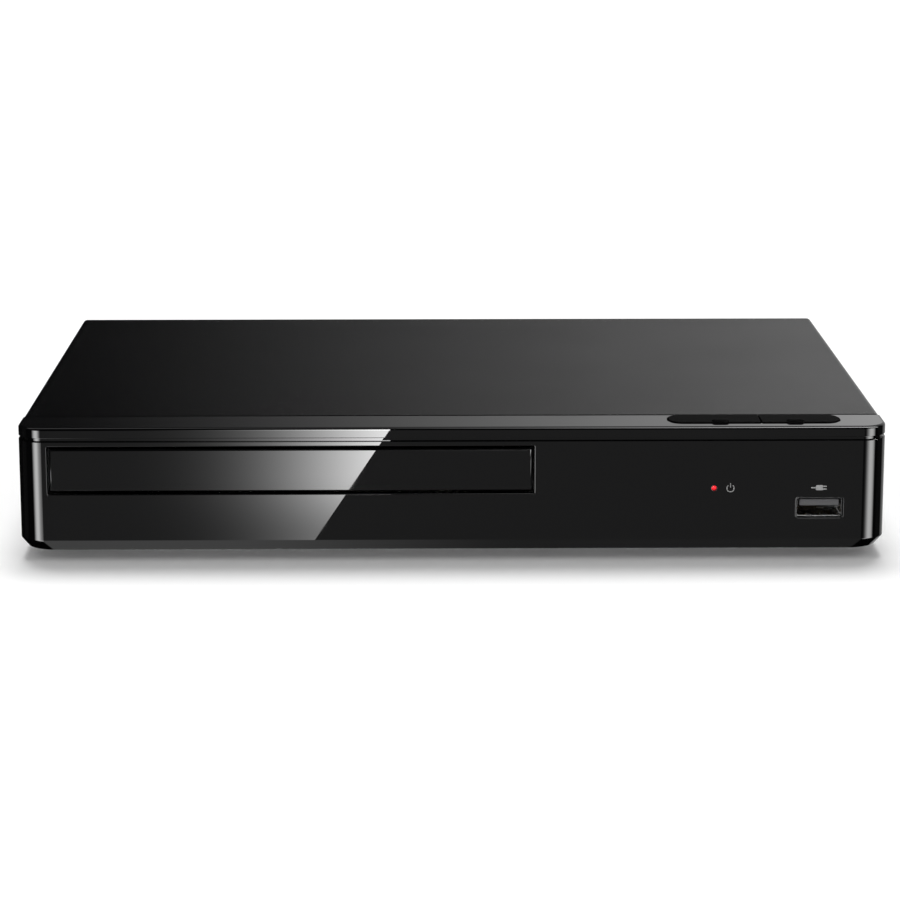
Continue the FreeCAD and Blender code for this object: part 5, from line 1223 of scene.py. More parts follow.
@dataclass
class Fascia:
    """Moulded front of the case with its top lip."""

    corner: float = 7.0
    top_edge: float = 0.8
    drop: float = 0.5
    hem_height: float = 2.4
    hem_inset: float = 1.6
    hem_round: float = 3.0
    groove_drop: float = 3.05
    support: float = 0.03
    groove_height: float = 0.95
    groove_depth: float = 0.8
    door_gap: float = 0.8
    port_margin: float = 0.15
    mouths: tuple[float, float, float] = (0.25, 0.15, 0.1)
    lamp_radius: float = 0.65
    lamp_drop: float = 17.78
    lamp_gap: float = 0.1
    key_gap: float = 0.3
    key_radius: float = 4.0
    key_mouth: float = 0.15
    ledge_skin: float = 1.15
    ledge_depth: float = 2.6
    boss_radius: float = 1.5
    stand_radius: float = 3.2
    stand_place: float = 11.6
    stand_inset: float = 4.0
    bore: float = 0.7
    root: float = 0.6
    boss_flare: float = 1.4
    boss_depth: float = 6.0
    stand_flare: float = 1.2
    stand_depth: float = 4.0
    ledge_gap: float = 0.2

    def __post_init__(self) -> None:
        """Work out the places that follow from the frame."""
        self.back = COVER.low[1] - SEAM
        self.groove_top = TOP - self.groove_drop
        self.groove_low = self.groove_top - self.groove_height
        self.base = BASE - self.drop
        self.hem_top = BASE + self.hem_height
        self.face_high = self.groove_low - FINE
        self.lamp = disc(extent("power_led").middle[0], TOP - self.lamp_drop,
                         self.lamp_radius + self.lamp_gap)
        self.door = DOOR.face(Plane.FRONT, self.door_gap, 0.3, 3)
        self.port = PORT.face(Plane.FRONT, self.port_margin, 0.8)

    def plan(self, inset: float, rounder: float = 0.0, steps: int = 14) -> np.ndarray:
        """Side, round corner, front, round corner and side, seen from above.

        Args:
            inset: How far the path lies inside the outer face.
            rounder: How much larger than usual the corners are.
            steps: Facets of each corner.

        Returns:
            Rows of two numbers, from the right-hand side to the left.
        """
        radius = self.corner - inset + rounder
        right = arc(HALF - inset - radius, FRONT + inset + radius, radius, 0, -90, steps)
        left = right[::-1] * (-1, 1)
        return np.vstack([[(HALF - inset, self.back)], right, left, [(inset - HALF, self.back)]])

    def band(self, skin: Skin, profile: Pairs) -> None:
        """Add a band that carries a profile of inset and height round the front.

        Args:
            skin: Surface to add to.
            profile: Pairs of inset and height.
        """
        rows = []
        for inset, height in profile:
            below = max(0.0, (self.hem_top - height) / (self.hem_top - self.base))
            rows.append(Plane.FLOOR.lift(self.plan(inset, self.hem_round * below), height))
        skin.grid(np.array(rows))

    def key_hole(self) -> Outline:
        """Opening that both keys stand in, a gap wider than their caps."""
        keys = extent("power_button", "open_button")
        return keys.face(Plane.FLOOR, self.key_gap - Keys.flange_reach, self.key_radius + self.key_gap)

    def rim(self, skin: Skin, plane: Plane, hole: Outline, level: float, edge: float, end: float) -> None:
        """Add the rounded mouth and the wall of a hole.

        Args:
            skin: Surface to add to.
            plane: Plane of the hole.
            hole: Its outline.
            level: Outer face.
            edge: Radius of the mouth.
            end: Inner face.
        """
        inward = math.copysign(edge, end - level)
        mouth = arc(edge, level + inward, (edge, inward), -90, -180, 3)
        skin.wall(plane, hole, [*mouth, (0.0, end)])

    def build(self) -> None:
        """Outer bands, the flat face between them, the lip, and the same again inside."""
        skin = Skin()
        low = BASE + WALL
        high = TOP - WALL
        hem = [(self.hem_inset + FINE, self.base), (self.hem_inset, self.base + FINE / 3),
               (FINE, self.hem_top - FINE), (0.0, self.hem_top + FINE)]
        groove = [(0.0, self.face_high), (FINE / 3, self.groove_low - FINE / 3), (FINE, self.groove_low),
                  (self.groove_depth, self.groove_low), (self.groove_depth, self.groove_top),
                  (FINE, self.groove_top), (FINE / 3, self.groove_top + FINE / 3),
                  (0.0, self.groove_top + FINE), (0.0, self.groove_top + FINE + self.support),
                  (0.0, TOP - self.top_edge - self.support)]
        brow = arc(0, TOP - self.top_edge, self.top_edge, 0, 90)
        groove += [(self.top_edge - x, z) for x, z in brow]
        self.band(skin, hem)
        self.band(skin, groove)
        flat = HALF - self.corner
        face_low = self.hem_top + FINE
        self.corners(skin, 0.0, face_low, self.face_high)
        self.corners(skin, WALL, low, high)
        holes = (self.door, self.port, self.lamp)
        for hole, mouth in zip(holes, self.mouths):
            self.rim(skin, Plane.FRONT, hole, FRONT, mouth, FRONT + WALL)
        face = self.upright(flat, face_low, self.face_high)
        skin.fill(Plane.FRONT, FRONT, face, *[hole.loop(mouth) for hole, mouth in zip(holes, self.mouths)])
        inner = self.upright(flat, low, high)
        skin.fill(Plane.FRONT, FRONT + WALL, inner, *[hole.loop() for hole in holes])
        keys = self.key_hole()
        self.rim(skin, Plane.FLOOR, keys, TOP, self.key_mouth, high)
        skin.fill(Plane.FLOOR, TOP, self.plan(self.top_edge)[::-1], keys.loop(self.key_mouth))
        skin.fill(Plane.FLOOR, high, self.plan(WALL)[::-1], keys.loop())
        skin.fill(Plane.FLOOR, low, self.plan(WALL)[::-1])
        skin.fill(Plane.FLOOR, self.base, self.plan(self.hem_inset + FINE, self.hem_round)[::-1])
        rows = [(0.0, z) for z in self.levels(face_low, self.face_high)[1:-1]]
        edge = np.array([(HALF - inset, z) for inset, z in hem + rows + groove])
        section = np.vstack([edge, edge[::-1] * (-1, 1)])
        skin.fill(Plane.FRONT, self.back, section, self.upright(HALF - WALL, low, high))
        fit("front_fascia", "panel_gloss", skin, self.ledge(), self.bosses(), replaces=["front_panel"])
        Prints().build(self.lamp, self.port)

    def levels(self, low: float, high: float) -> tuple[float, ...]:
        """Heights of a corner's rows, with support rows that keep its shading upright."""
        return (low, low + self.support, high - self.support, high)

    def upright(self, half: float, low: float, high: float) -> np.ndarray:
        """Rectangle with the points of the corner rows on both ends."""
        right = [(half, z) for z in self.levels(low, high)]
        return np.array([*right, *[(-x, z) for x, z in right[::-1]]])

    def corners(self, skin: Skin, inset: float, low: float, high: float) -> None:
        """Add both ends of the front between two heights, up to the flat middle.

        Args:
            skin: Surface to add to.
            inset: How far they lie inside the outer face.
            low: Lower height.
            high: Upper height.
        """
        path = self.plan(inset)
        half = len(path) // 2
        for part in (path[:half], path[half:]):
            skin.grid(np.array([Plane.FLOOR.lift(part, height) for height in self.levels(low, high)]))

    def ledge(self) -> Skin:
        """Step under the front edge of the cover, down both sides.

        Returns:
            The step.
        """
        reach = HALF - SHEET - self.ledge_gap
        top = TOP - SHEET - self.ledge_gap
        low = BASE + WALL
        skin = self.ledge_skin
        frame_loop = np.array([
            (-reach, low), (-reach + skin, low), (-reach + skin, top - skin), (reach - skin, top - skin),
            (reach - skin, low), (reach, low), (reach, top), (-reach, top),
        ])
        return Stack(Plane.FRONT).pad(self.back, self.back + self.ledge_depth, frame_loop).settle()

    def bosses(self) -> Skin:
        """Bosses that carry both small boards.

        Returns:
            The bosses.
        """
        keys = extent("button_board")
        small = extent("front_board")
        skin = Skin()
        for x in (keys.low[0] + self.boss_radius * 2, keys.high[0] - self.boss_radius * 2):
            self.boss(skin, (x, keys.middle[1]), self.boss_radius, self.boss_flare,
                      (TOP - WALL, keys.high[2], self.boss_depth))
        for x in (small.low[0] + self.stand_inset, small.high[0] - self.stand_inset):
            self.boss(skin, (x, FRONT + self.stand_place), self.stand_radius, self.stand_flare,
                      (BASE + WALL, small.low[2], self.stand_depth))
        return skin

    def boss(self, skin: Skin, place: tuple[float, float], radius: float, flare: float,
             levels: tuple[float, float, float]) -> None:
        """Add a boss with a flared root and a core hole, as a profile turned about its axis.

        Args:
            skin: Surface to add to.
            place: Its axis.
            radius: Its radius.
            flare: Factor on the radius at the root.
            levels: Where its root and its seat lie, and how deep the hole is.
        """
        root, seat, depth = levels
        way = math.copysign(1, seat - root)
        sunk = root - way * FINE
        floor = seat - way * depth
        skin.lathe(Plane.FLOOR, *place, [
            (0, sunk), (radius * flare, sunk), (radius, root + way * self.root), (radius, seat),
            (self.bore, seat), (self.bore, floor), (0, floor)])


@dataclass
class TrayDoor:
    """Door on the front of the tray."""

    thickness: float = 2.4
    bevel: float = 0.4
    clip_width: float = 8.0
    clip_spacing: float = 40.0
    clip_height: float = 2.0
    clip_drop: float = 2.6
    rib_drop: float = 2.2
    rib_inset: float = 6.0
    rib: float = 0.9

    def build(self) -> None:
        """Bevelled plate, with three clips and a stiffening rib behind it."""
        front = DOOR.low[1]
        back = front + self.thickness
        face = DOOR.face(Plane.FRONT, 0, 0.25, 3)
        bevel = self.bevel
        skin = Skin().fill(Plane.FRONT, front, face.loop(-bevel)).fill(Plane.FRONT, back, face.loop(-FINE))
        skin.wall(Plane.FRONT, face, [
            (-bevel, front), (-bevel * 0.92, front + bevel * 0.03), (-bevel * 0.08, front + bevel * 0.92),
            (0.0, front + bevel * 1.1), (0.0, back - FINE), (-FINE, back)])
        middle = TRAY.high[2] - self.clip_drop
        for shift in (-self.clip_spacing, 0, self.clip_spacing):
            clip = Outline(DOOR.middle[0] + shift, middle, self.clip_width, self.clip_height, 0.3, 3)
            skin.slab(Plane.FRONT, back - FINE, DOOR.high[1], clip)
        rib = Outline(DOOR.middle[0], DOOR.high[2] - self.rib_drop, DOOR.size[0] - self.rib_inset * 2,
                      self.rib, 0.2, 2)
        skin.slab(Plane.FRONT, back - FINE, back + self.rib, rib)
        fit("door_plate", "panel_gloss", skin, replaces=["tray_door"])


@dataclass
class Keys:
    """Both keys on the top lip."""

    flange_reach: float = 1.0
    flange: float = 1.2
    radius: float = 4.0
    proud: float = 0.3
    nub: tuple[float, float] = (5.0, 2.2)
    nub_proud: float = 0.5
    nub_inset: float = 0.3
    nub_round: float = 0.75
    nub_places: tuple[float, float] = (75.8, 97.0)
    nub_sink: float = 0.2
    flange_gap: float = 0.3
    sink: float = 0.1
    stem: float = 1.5
    stem_gap: float = 0.6
    stem_round: float = 0.2
    edge: float = 0.22

    def cap(self, node: str, nub_x: float, outer_right: bool) -> None:
        """Cap, flange, round stem and a domed oval nub.

        Args:
            node: Node of the key.
            nub_x: Place of its nub.
            outer_right: Whether its right-hand end is the round one.
        """
        key = extent(node)
        reach = self.flange_reach
        low = key.low[:2] + (0 if outer_right else reach, reach)
        high = key.high[:2] - (reach if outer_right else 0, reach)
        middle = (low + high) / 2
        size = high - low
        r = self.radius
        ends = (r, 0, 0, r) if outer_right else (0, r, r, 0)
        top = TOP + self.proud
        flange_high = TOP - WALL - self.flange_gap
        cap = Outline(*middle, *size, ends, 8)
        skin = Skin().slab(Plane.FLOOR, flange_high - self.sink, top, cap, 0.1, self.edge)
        flange = key.face(Plane.FLOOR, 0, 0.3, 3)
        skin.slab(Plane.FLOOR, flange_high - self.flange, flange_high, flange, 0.15)
        foot = key.low[2]
        stem = self.stem
        head = flange_high - self.stem_gap
        bent = self.stem_round
        skin.lathe(Plane.FLOOR, *middle, [
            (0, foot), (stem - bent, foot), (stem, foot + bent), (stem, head), (0, head)], 32)
        length, width = self.nub
        nub_y = low[1] + width / 2 + self.nub_inset
        half = width / 2
        bend = half * self.nub_round
        dome = arc(-bend, top, (bend, self.nub_proud), 0, 90)
        oval = Outline(nub_x, nub_y, length, width, half - 0.01, 10)
        sunk = top - self.nub_sink
        skin.wall(Plane.FLOOR, oval, [(0.0, sunk), *dome]).fill(Plane.FLOOR, sunk, oval.loop())
        skin.fill(Plane.FLOOR, top + self.nub_proud, oval.loop(-bend))
        fit(node.replace("button", "key_cap"), "key_black", skin, replaces=[node])

    def build(self) -> None:
        """The standby key on the left and the tray key on the right."""
        self.cap("power_button", self.nub_places[0], False)
        self.cap("open_button", self.nub_places[1], True)


@dataclass
class FrontSocket:
    """Socket and lamp of the front face."""

    skin: float = 0.4
    back: float = 2.2
    spring_shift: float = 3.2
    spring_reach: float = 1.1
    contact_shifts: tuple[float, ...] = (-3.5, -1.0, 1.0, 3.5)
    contact: tuple[float, float] = (1.0, 8.0)
    flare: float = 0.1
    spring: Pairs = ((0.6, 0.42), (4.5, 0.95), (6.0, 0.8), (9.0, 0.42))
    spring_thick: float = 0.15
    dome: float = 0.3
    base_radius: float = 1.5
    lead_shift: float = 0.9
    lead_radius: float = 0.28

    def build(self) -> None:
        """Shell with a flared mouth and springs, tongue, contacts and lamp."""
        low, high = PORT.low, PORT.high
        middle = PORT.middle
        outer = PORT.face(Plane.FRONT, 0, 0.5)
        inner = PORT.face(Plane.FRONT, -self.skin, 0.35)
        shell = Skin()
        mouth = low[1]
        floor = high[1] - self.back
        shell.wall(Plane.FRONT, outer, [(0, high[1]), (0, mouth + self.flare), (-self.flare, mouth)])
        shell.wall(Plane.FRONT, inner, [(0.15, mouth), (0.05, mouth + 0.1), (0, mouth + 0.5), (0, floor)])
        shell.fill(Plane.FRONT, mouth, outer.loop(-self.flare), inner.loop(0.15))
        shell.fill(Plane.FRONT, floor, inner.loop()).fill(Plane.FRONT, high[1], outer.loop())
        strip = np.array(self.spring) + (mouth, low[2])
        leaf = np.vstack([strip, strip[::-1] - (0, self.spring_thick)])
        springs = Stack(Plane.SIDE)
        for x in (middle[0] - self.spring_shift, middle[0] + self.spring_shift):
            springs.pad(x - self.spring_reach, x + self.spring_reach, leaf)
        # The shell takes socket steel darkened with the painted shade of its recess.
        fit("port_shell", "port_shaded_steel", shell, springs.settle(), replaces=["usb_shell"],
            slot_name="socket_steel")
        tongue = extent("usb_tongue")
        body = tongue.face(Plane.FRONT, 0, 0.25, 3)
        blade = Skin().slab(Plane.FRONT, tongue.low[1], tongue.high[1], body, 0.2)
        fit("port_tongue", "tongue_plastic", blade, replaces=["usb_tongue"])
        contacts = Stack(Plane.FLOOR)
        for shift in self.contact_shifts:
            contacts.pad(tongue.low[2] - 0.12, tongue.low[2] + 0.1,
                         Outline(tongue.middle[0] + shift, tongue.middle[1] - 1, *self.contact, 0.3, 3))
        fit("port_contacts", "gold", contacts.settle(), slot_name="socket_steel")
        self.lamp()

    def lamp(self) -> None:
        """Lamp with a domed tip, a collar and two bent leads."""
        box = extent("power_led")
        fascia = Fascia()
        x, z = fascia.lamp.x, fascia.lamp.y
        tip = box.low[1]
        collar = FRONT + WALL + 0.3
        back = collar + 4.5
        r = fascia.lamp_radius
        dome = arc(0, tip + self.dome, (r, self.dome), -90, 0)
        base = [(r, collar), (self.base_radius, collar), (self.base_radius, back), (0, back)]
        bulb = Skin().lathe(Plane.FRONT, x, z, [*dome, *base], 32)
        fit("lamp_bulb", "lamp_red", bulb, replaces=["power_led"])
        leads = Skin()
        for side in (-self.lead_shift, self.lead_shift):
            out = np.linspace((back - 0.5, z), (back + 1.5, z), 5)
            down = np.linspace((back + 2.05, z - 0.5), (back + 2.05, box.low[2] - 0.8), 8)
            path = Plane.SIDE.lift(np.vstack([out, down]), x + side)
            leads.tube(path, self.lead_radius, (1, 0, 0), 8)
        fit("lamp_leads", "jack_metal", leads)


@dataclass
class Cover:
    """Folded steel cover."""

    bend: float = 1.6
    flange: float = 9.5
    edge: float = 0.18
    slot_rim: float = 0.12
    hole_rim: float = 0.15
    slot_width: float = 1.8
    slot_length: float = 8.0
    slot_pitch: float = 4.2
    slot_count: int = 12
    slot_front: float = 60.0
    slot_rise: float = 20.0
    screw_places: tuple[float, ...] = (-100.0, 0.0, 100.0)
    bend_steps: int = 8

    def section(self, shrink: float) -> np.ndarray:
        """Cross-section of the sheet: its outer face from left to right, then its inner face back.

        Args:
            shrink: How far both faces lie inside the sheet.

        Returns:
            Rows of two numbers.
        """
        low = COVER.low[2] + shrink
        faces = []
        for depth in (shrink, SHEET - shrink):
            radius = self.bend - depth
            middle = HALF - depth - radius
            right = arc(middle, TOP - depth - radius, radius, 0, 90, self.bend_steps)
            half = np.vstack([[(HALF - depth, low)], right])
            faces.append(np.vstack([half * (-1, 1), half[::-1]]))
        return np.vstack([faces[0], faces[1][::-1]])

    def slots(self) -> list[Outline]:
        """Cooling slots of one side.

        Returns:
            Their outlines.
        """
        return [
            slot(FRONT + self.slot_front + step * self.slot_pitch, BASE + self.slot_rise,
                 self.slot_width, self.slot_length)
            for step in range(self.slot_count)
        ]

    def build(self) -> None:
        """Sweep the section from front to back, cut the sides, and hang the rear flange."""
        front, back = COVER.low[1], COVER.high[1]
        edge = self.edge
        levels = [(edge, front), (edge * 0.3, front + edge * 0.3), (0.0, front + edge),
                  (0.0, back - edge), (edge * 0.3, back - edge * 0.3), (edge, back)]
        rows = np.array([Plane.FRONT.lift(self.section(shrink), y) for shrink, y in levels])
        count = rows.shape[1]
        half = count // 2
        keep = np.ones((len(levels) - 1, count), bool)
        keep[2, [0, half - 2, half, count - 2]] = False
        skin = Skin().grid(rows, True, keep)
        for y in (front, back):
            skin.fill(Plane.FRONT, y, self.section(edge))
        low = COVER.low[2]
        high = TOP - self.bend
        side = Outline((front + back) / 2, (low + high) / 2, back - front - edge * 2, high - low)
        rim = self.slot_rim
        holes = self.slots()
        for sign in (-1, 1):
            outer, inner = sign * HALF, sign * (HALF - SHEET)
            step = -sign * rim
            for level in (outer, inner):
                skin.fill(Plane.SIDE, level, side.loop(), *[hole.loop(rim) for hole in holes])
            steps = [(rim, outer), (rim * 0.3, outer + step * 0.3), (0, outer + step),
                     (0, inner - step), (rim * 0.3, inner - step * 0.3), (rim, inner)]
            for hole in holes:
                skin.wall(Plane.SIDE, hole, steps)
        fit("cover_shell", "cover_paint", skin, self.rear_flange(), replaces=["top_cover"])
        screws = Skin()
        for x in self.screw_places:
            cross_head(screws, Plane.FRONT, x, extent("cover_screws").middle[2], back, 1)
        fit("cover_screw_heads", "screw_black", screws, replaces=["cover_screws"])

    def rear_flange(self) -> Skin:
        """Turned-down rear edge with three dimpled screw holes.

        Returns:
            The flange.
        """
        back = COVER.high[1]
        z = extent("cover_screws").middle[2]
        reach = HALF - SHEET * 2
        low = TOP - self.flange
        outline = Outline(0, (low + TOP - 0.3) / 2, reach * 2, TOP - 0.3 - low, (0, 0, 2.5, 2.5), 6)
        holes = [disc(x, z, SCREW_HOLE) for x in self.screw_places]
        edge = self.hole_rim
        skin = Skin()
        levels = (back - SHEET, back)
        for level in levels:
            skin.fill(Plane.FRONT, level, outline.loop(-edge), *[hole.loop(edge) for hole in holes])
        steps = [(-edge, levels[0]), (0, levels[0] + edge), (0, back - edge), (-edge, back)]
        skin.wall(Plane.FRONT, outline, steps)
        for hole in holes:
            skin.wall(Plane.FRONT, hole, [(-grow, level) for grow, level in steps])
        return skin


def stamped(
    name: str, finish: str, stack: Stack, replaces: Sequence[str] = (), soften: float = 0.12,
) -> None:
    """Fit a stack of layers as a piece with softened edges."""
    fit(name, finish, stack.settle(), replaces=replaces, soften=soften)


@dataclass
class BottomAndBack:
    """Chassis, rear panel and feet.

    Each bead is its middle and its two sizes, each step of a foot a shift and a level.
    """

    slot_width: float = 1.8
    slot_length: float = 16.0
    slot_pitch: float = 4.2
    flange_height: float = 12.0
    stand_radius: float = 3.2
    board_lift: float = 5.7
    board_inset: float = 4.0
    board_back: float = 24.0
    loader_lift: float = 1.1
    loader_inset: float = 7.5
    loader_front: float = 16.0
    loader_back: float = 6.0
    loader_floor: float = 1.6
    loader_rib: float = 1.2
    rear_slots: int = 14
    rear_slot_left: float = 80.25
    rear_slot_rise: float = 16.0
    floor_slots: int = 7
    bead_depth: float = 0.35
    beads: Sequence[tuple[float, float, float, float]] = (
        (-78.0, -40.0, 34.0, 5.0), (-78.0, 52.0, 34.0, 5.0), (-20.0, -40.0, 34.0, 5.0),
        (-20.0, 52.0, 34.0, 5.0), (-108.0, 6.0, 5.0, 60.0), (14.0, 6.0, 5.0, 60.0),
        (54.5, -52.0, 40.0, 5.0), (54.5, 68.0, 40.0, 5.0),
    )
    flange_setback: float = 2.5
    opening_margin: float = 0.4
    jack_hole: float = 4.9
    cover_hole: float = 1.45
    foot_radius: float = 9.0
    foot_bore: float = 2.6
    foot_seat: float = 1.6
    foot_rings: tuple[float, ...] = (4.2, 5.6, 7.0)
    foot_ring: Pairs = ((0.0, 0.0), (0.2, 0.3), (0.5, 0.3), (0.7, 0.0))
    foot_mouth: Pairs = ((0.0, 1.6), (0.1, 0.3), (0.5, 0.0))
    foot_edge: Pairs = ((-0.6, 0.0), (-0.2, 0.15), (0.0, 0.6))

    def board_places(self) -> list[tuple[float, float]]:
        """Screw places of both large boards.

        Returns:
            Pairs of X and Y.
        """
        places = []
        for node in ("main_board", "power_board"):
            board = extent(node)
            inset = self.board_inset
            places += [(x, y) for x in (board.low[0] + inset, board.high[0] - inset)
                       for y in (board.low[1] + inset, board.high[1] - self.board_back)]
        return places

    def loader_places(self) -> list[tuple[float, float]]:
        """Screw places of the loader."""
        loader = extent("loader_frame")
        inset = self.loader_inset
        return [(x, y) for x in (loader.low[0] + inset, loader.high[0] - inset)
                for y in (loader.low[1] + self.loader_front, loader.high[1] - self.loader_back)]

    def chassis(self) -> None:
        """Floor with flanges, standoffs, cooling slots and pressed beads."""
        low, high = CHASSIS.low, CHASSIS.high
        top = BASE + SHEET
        reach = high[0]
        stack = Stack(Plane.FLOOR)
        stack.pad(BASE, top, Outline(0, (low[1] + high[1]) / 2, reach * 2, high[1] - low[1], 1.0, 4))
        front = low[1] + self.flange_setback
        for side in (-1, 1):
            wall = Outline(side * (reach - SHEET / 2), (front + high[1]) / 2, SHEET, high[1] - front)
            stack.pad(top, BASE + self.flange_height, wall)
        for bead in self.beads:
            stack.pad(BASE - self.bead_depth, BASE, slot(*bead))
            stack.pocket(top - self.bead_depth, top, slot(*bead))
        stands = ((self.board_places(), top, top + self.board_lift),
                  (self.loader_places(), BASE, top + self.loader_lift))
        for places, _, head in stands:
            stack.pad(top, head, *[disc(x, y, self.stand_radius) for x, y in places])
        for places, foot, head in stands:
            stack.pocket(foot, head, *[disc(x, y, SCREW_HOLE) for x, y in places])
        power = extent("power_board")
        for share in (2, 4):
            y = power.low[1] + power.size[1] / share
            stack.pocket(BASE, top, *[
                slot(power.low[0] + self.slot_pitch * (step + 1), y, self.slot_width, self.slot_length)
                for step in range(self.floor_slots)])
        stamped("chassis_floor", "chassis_steel", stack, ["bottom_chassis"])

    def rear(self) -> None:
        """Rear panel with openings for its sockets, cooling slots and screw holes."""
        low, high = REAR.low, REAR.high
        stack = Stack(Plane.FRONT)
        stack.pad(low[1], high[1], REAR.face(Plane.FRONT, 0, 0.8, 3))
        for node, radius in (("hdmi_socket", 0.4), ("lan_socket", 0.4), ("mains_inlet", 1.9)):
            opening = extent(node).face(Plane.FRONT, self.opening_margin, radius)
            stack.pocket(low[1], high[1], opening)
        jack = extent("coax_insulator")
        stack.pocket(low[1], high[1], disc(jack.middle[0], jack.middle[2], self.jack_hole))
        z = extent("cover_screws").middle[2]
        stack.pocket(low[1], high[1], *[disc(x, z, self.cover_hole) for x in Cover().screw_places])
        stack.pocket(low[1], high[1], *[
            slot(step * self.slot_pitch - self.rear_slot_left, BASE + self.rear_slot_rise,
                 self.slot_width, self.slot_length)
            for step in range(self.rear_slots)])
        stamped("rear_sheet", "rear_paint", stack, ["rear_panel"], 0.1)

    def foot(self, node: str) -> None:
        """Ringed rubber foot with a sunk screw.

        Args:
            node: Node of the foot.
        """
        x, y, _ = extent(node).middle
        height = extent(node).high[2]
        r = self.foot_radius
        rings = [(ring, self.foot_ring) for ring in self.foot_rings]
        profile = [(0, self.foot_seat)]
        for radius, steps in ((self.foot_bore, self.foot_mouth), *rings, (r, self.foot_edge)):
            profile += [(radius + shift, level) for shift, level in steps]
        profile += [(r, height - 0.3), (r - 0.2, height), (0, height)]
        fit(node + "_rings", "foot_rubber", Skin().lathe(Plane.FLOOR, x, y, profile, 64), replaces=[node])
        screw = Skin()
        cross_head(screw, Plane.FLOOR, x, y, 1.7, -1, 2.2, 1.2, 1.5)
        fit(node + "_screw", "screw_steel", screw)

    def build(self) -> None:
        """Chassis, rear panel, four feet and the screws inside."""
        self.chassis()
        self.rear()
        for node in ("front_left_foot", "front_right_foot", "rear_left_foot", "rear_right_foot"):
            self.foot(node)
        screws = Skin()
        for x, y in self.board_places():
            cross_head(screws, Plane.FLOOR, x, y, BOARD.high[2], 1)
        seat = BASE + SHEET + self.loader_lift + self.loader_floor + self.loader_rib
        for x, y in self.loader_places():
            cross_head(screws, Plane.FLOOR, x, y, seat, 1)
        fit("inner_screw_heads", "screw_steel", screws, replaces=["inner_screws"])


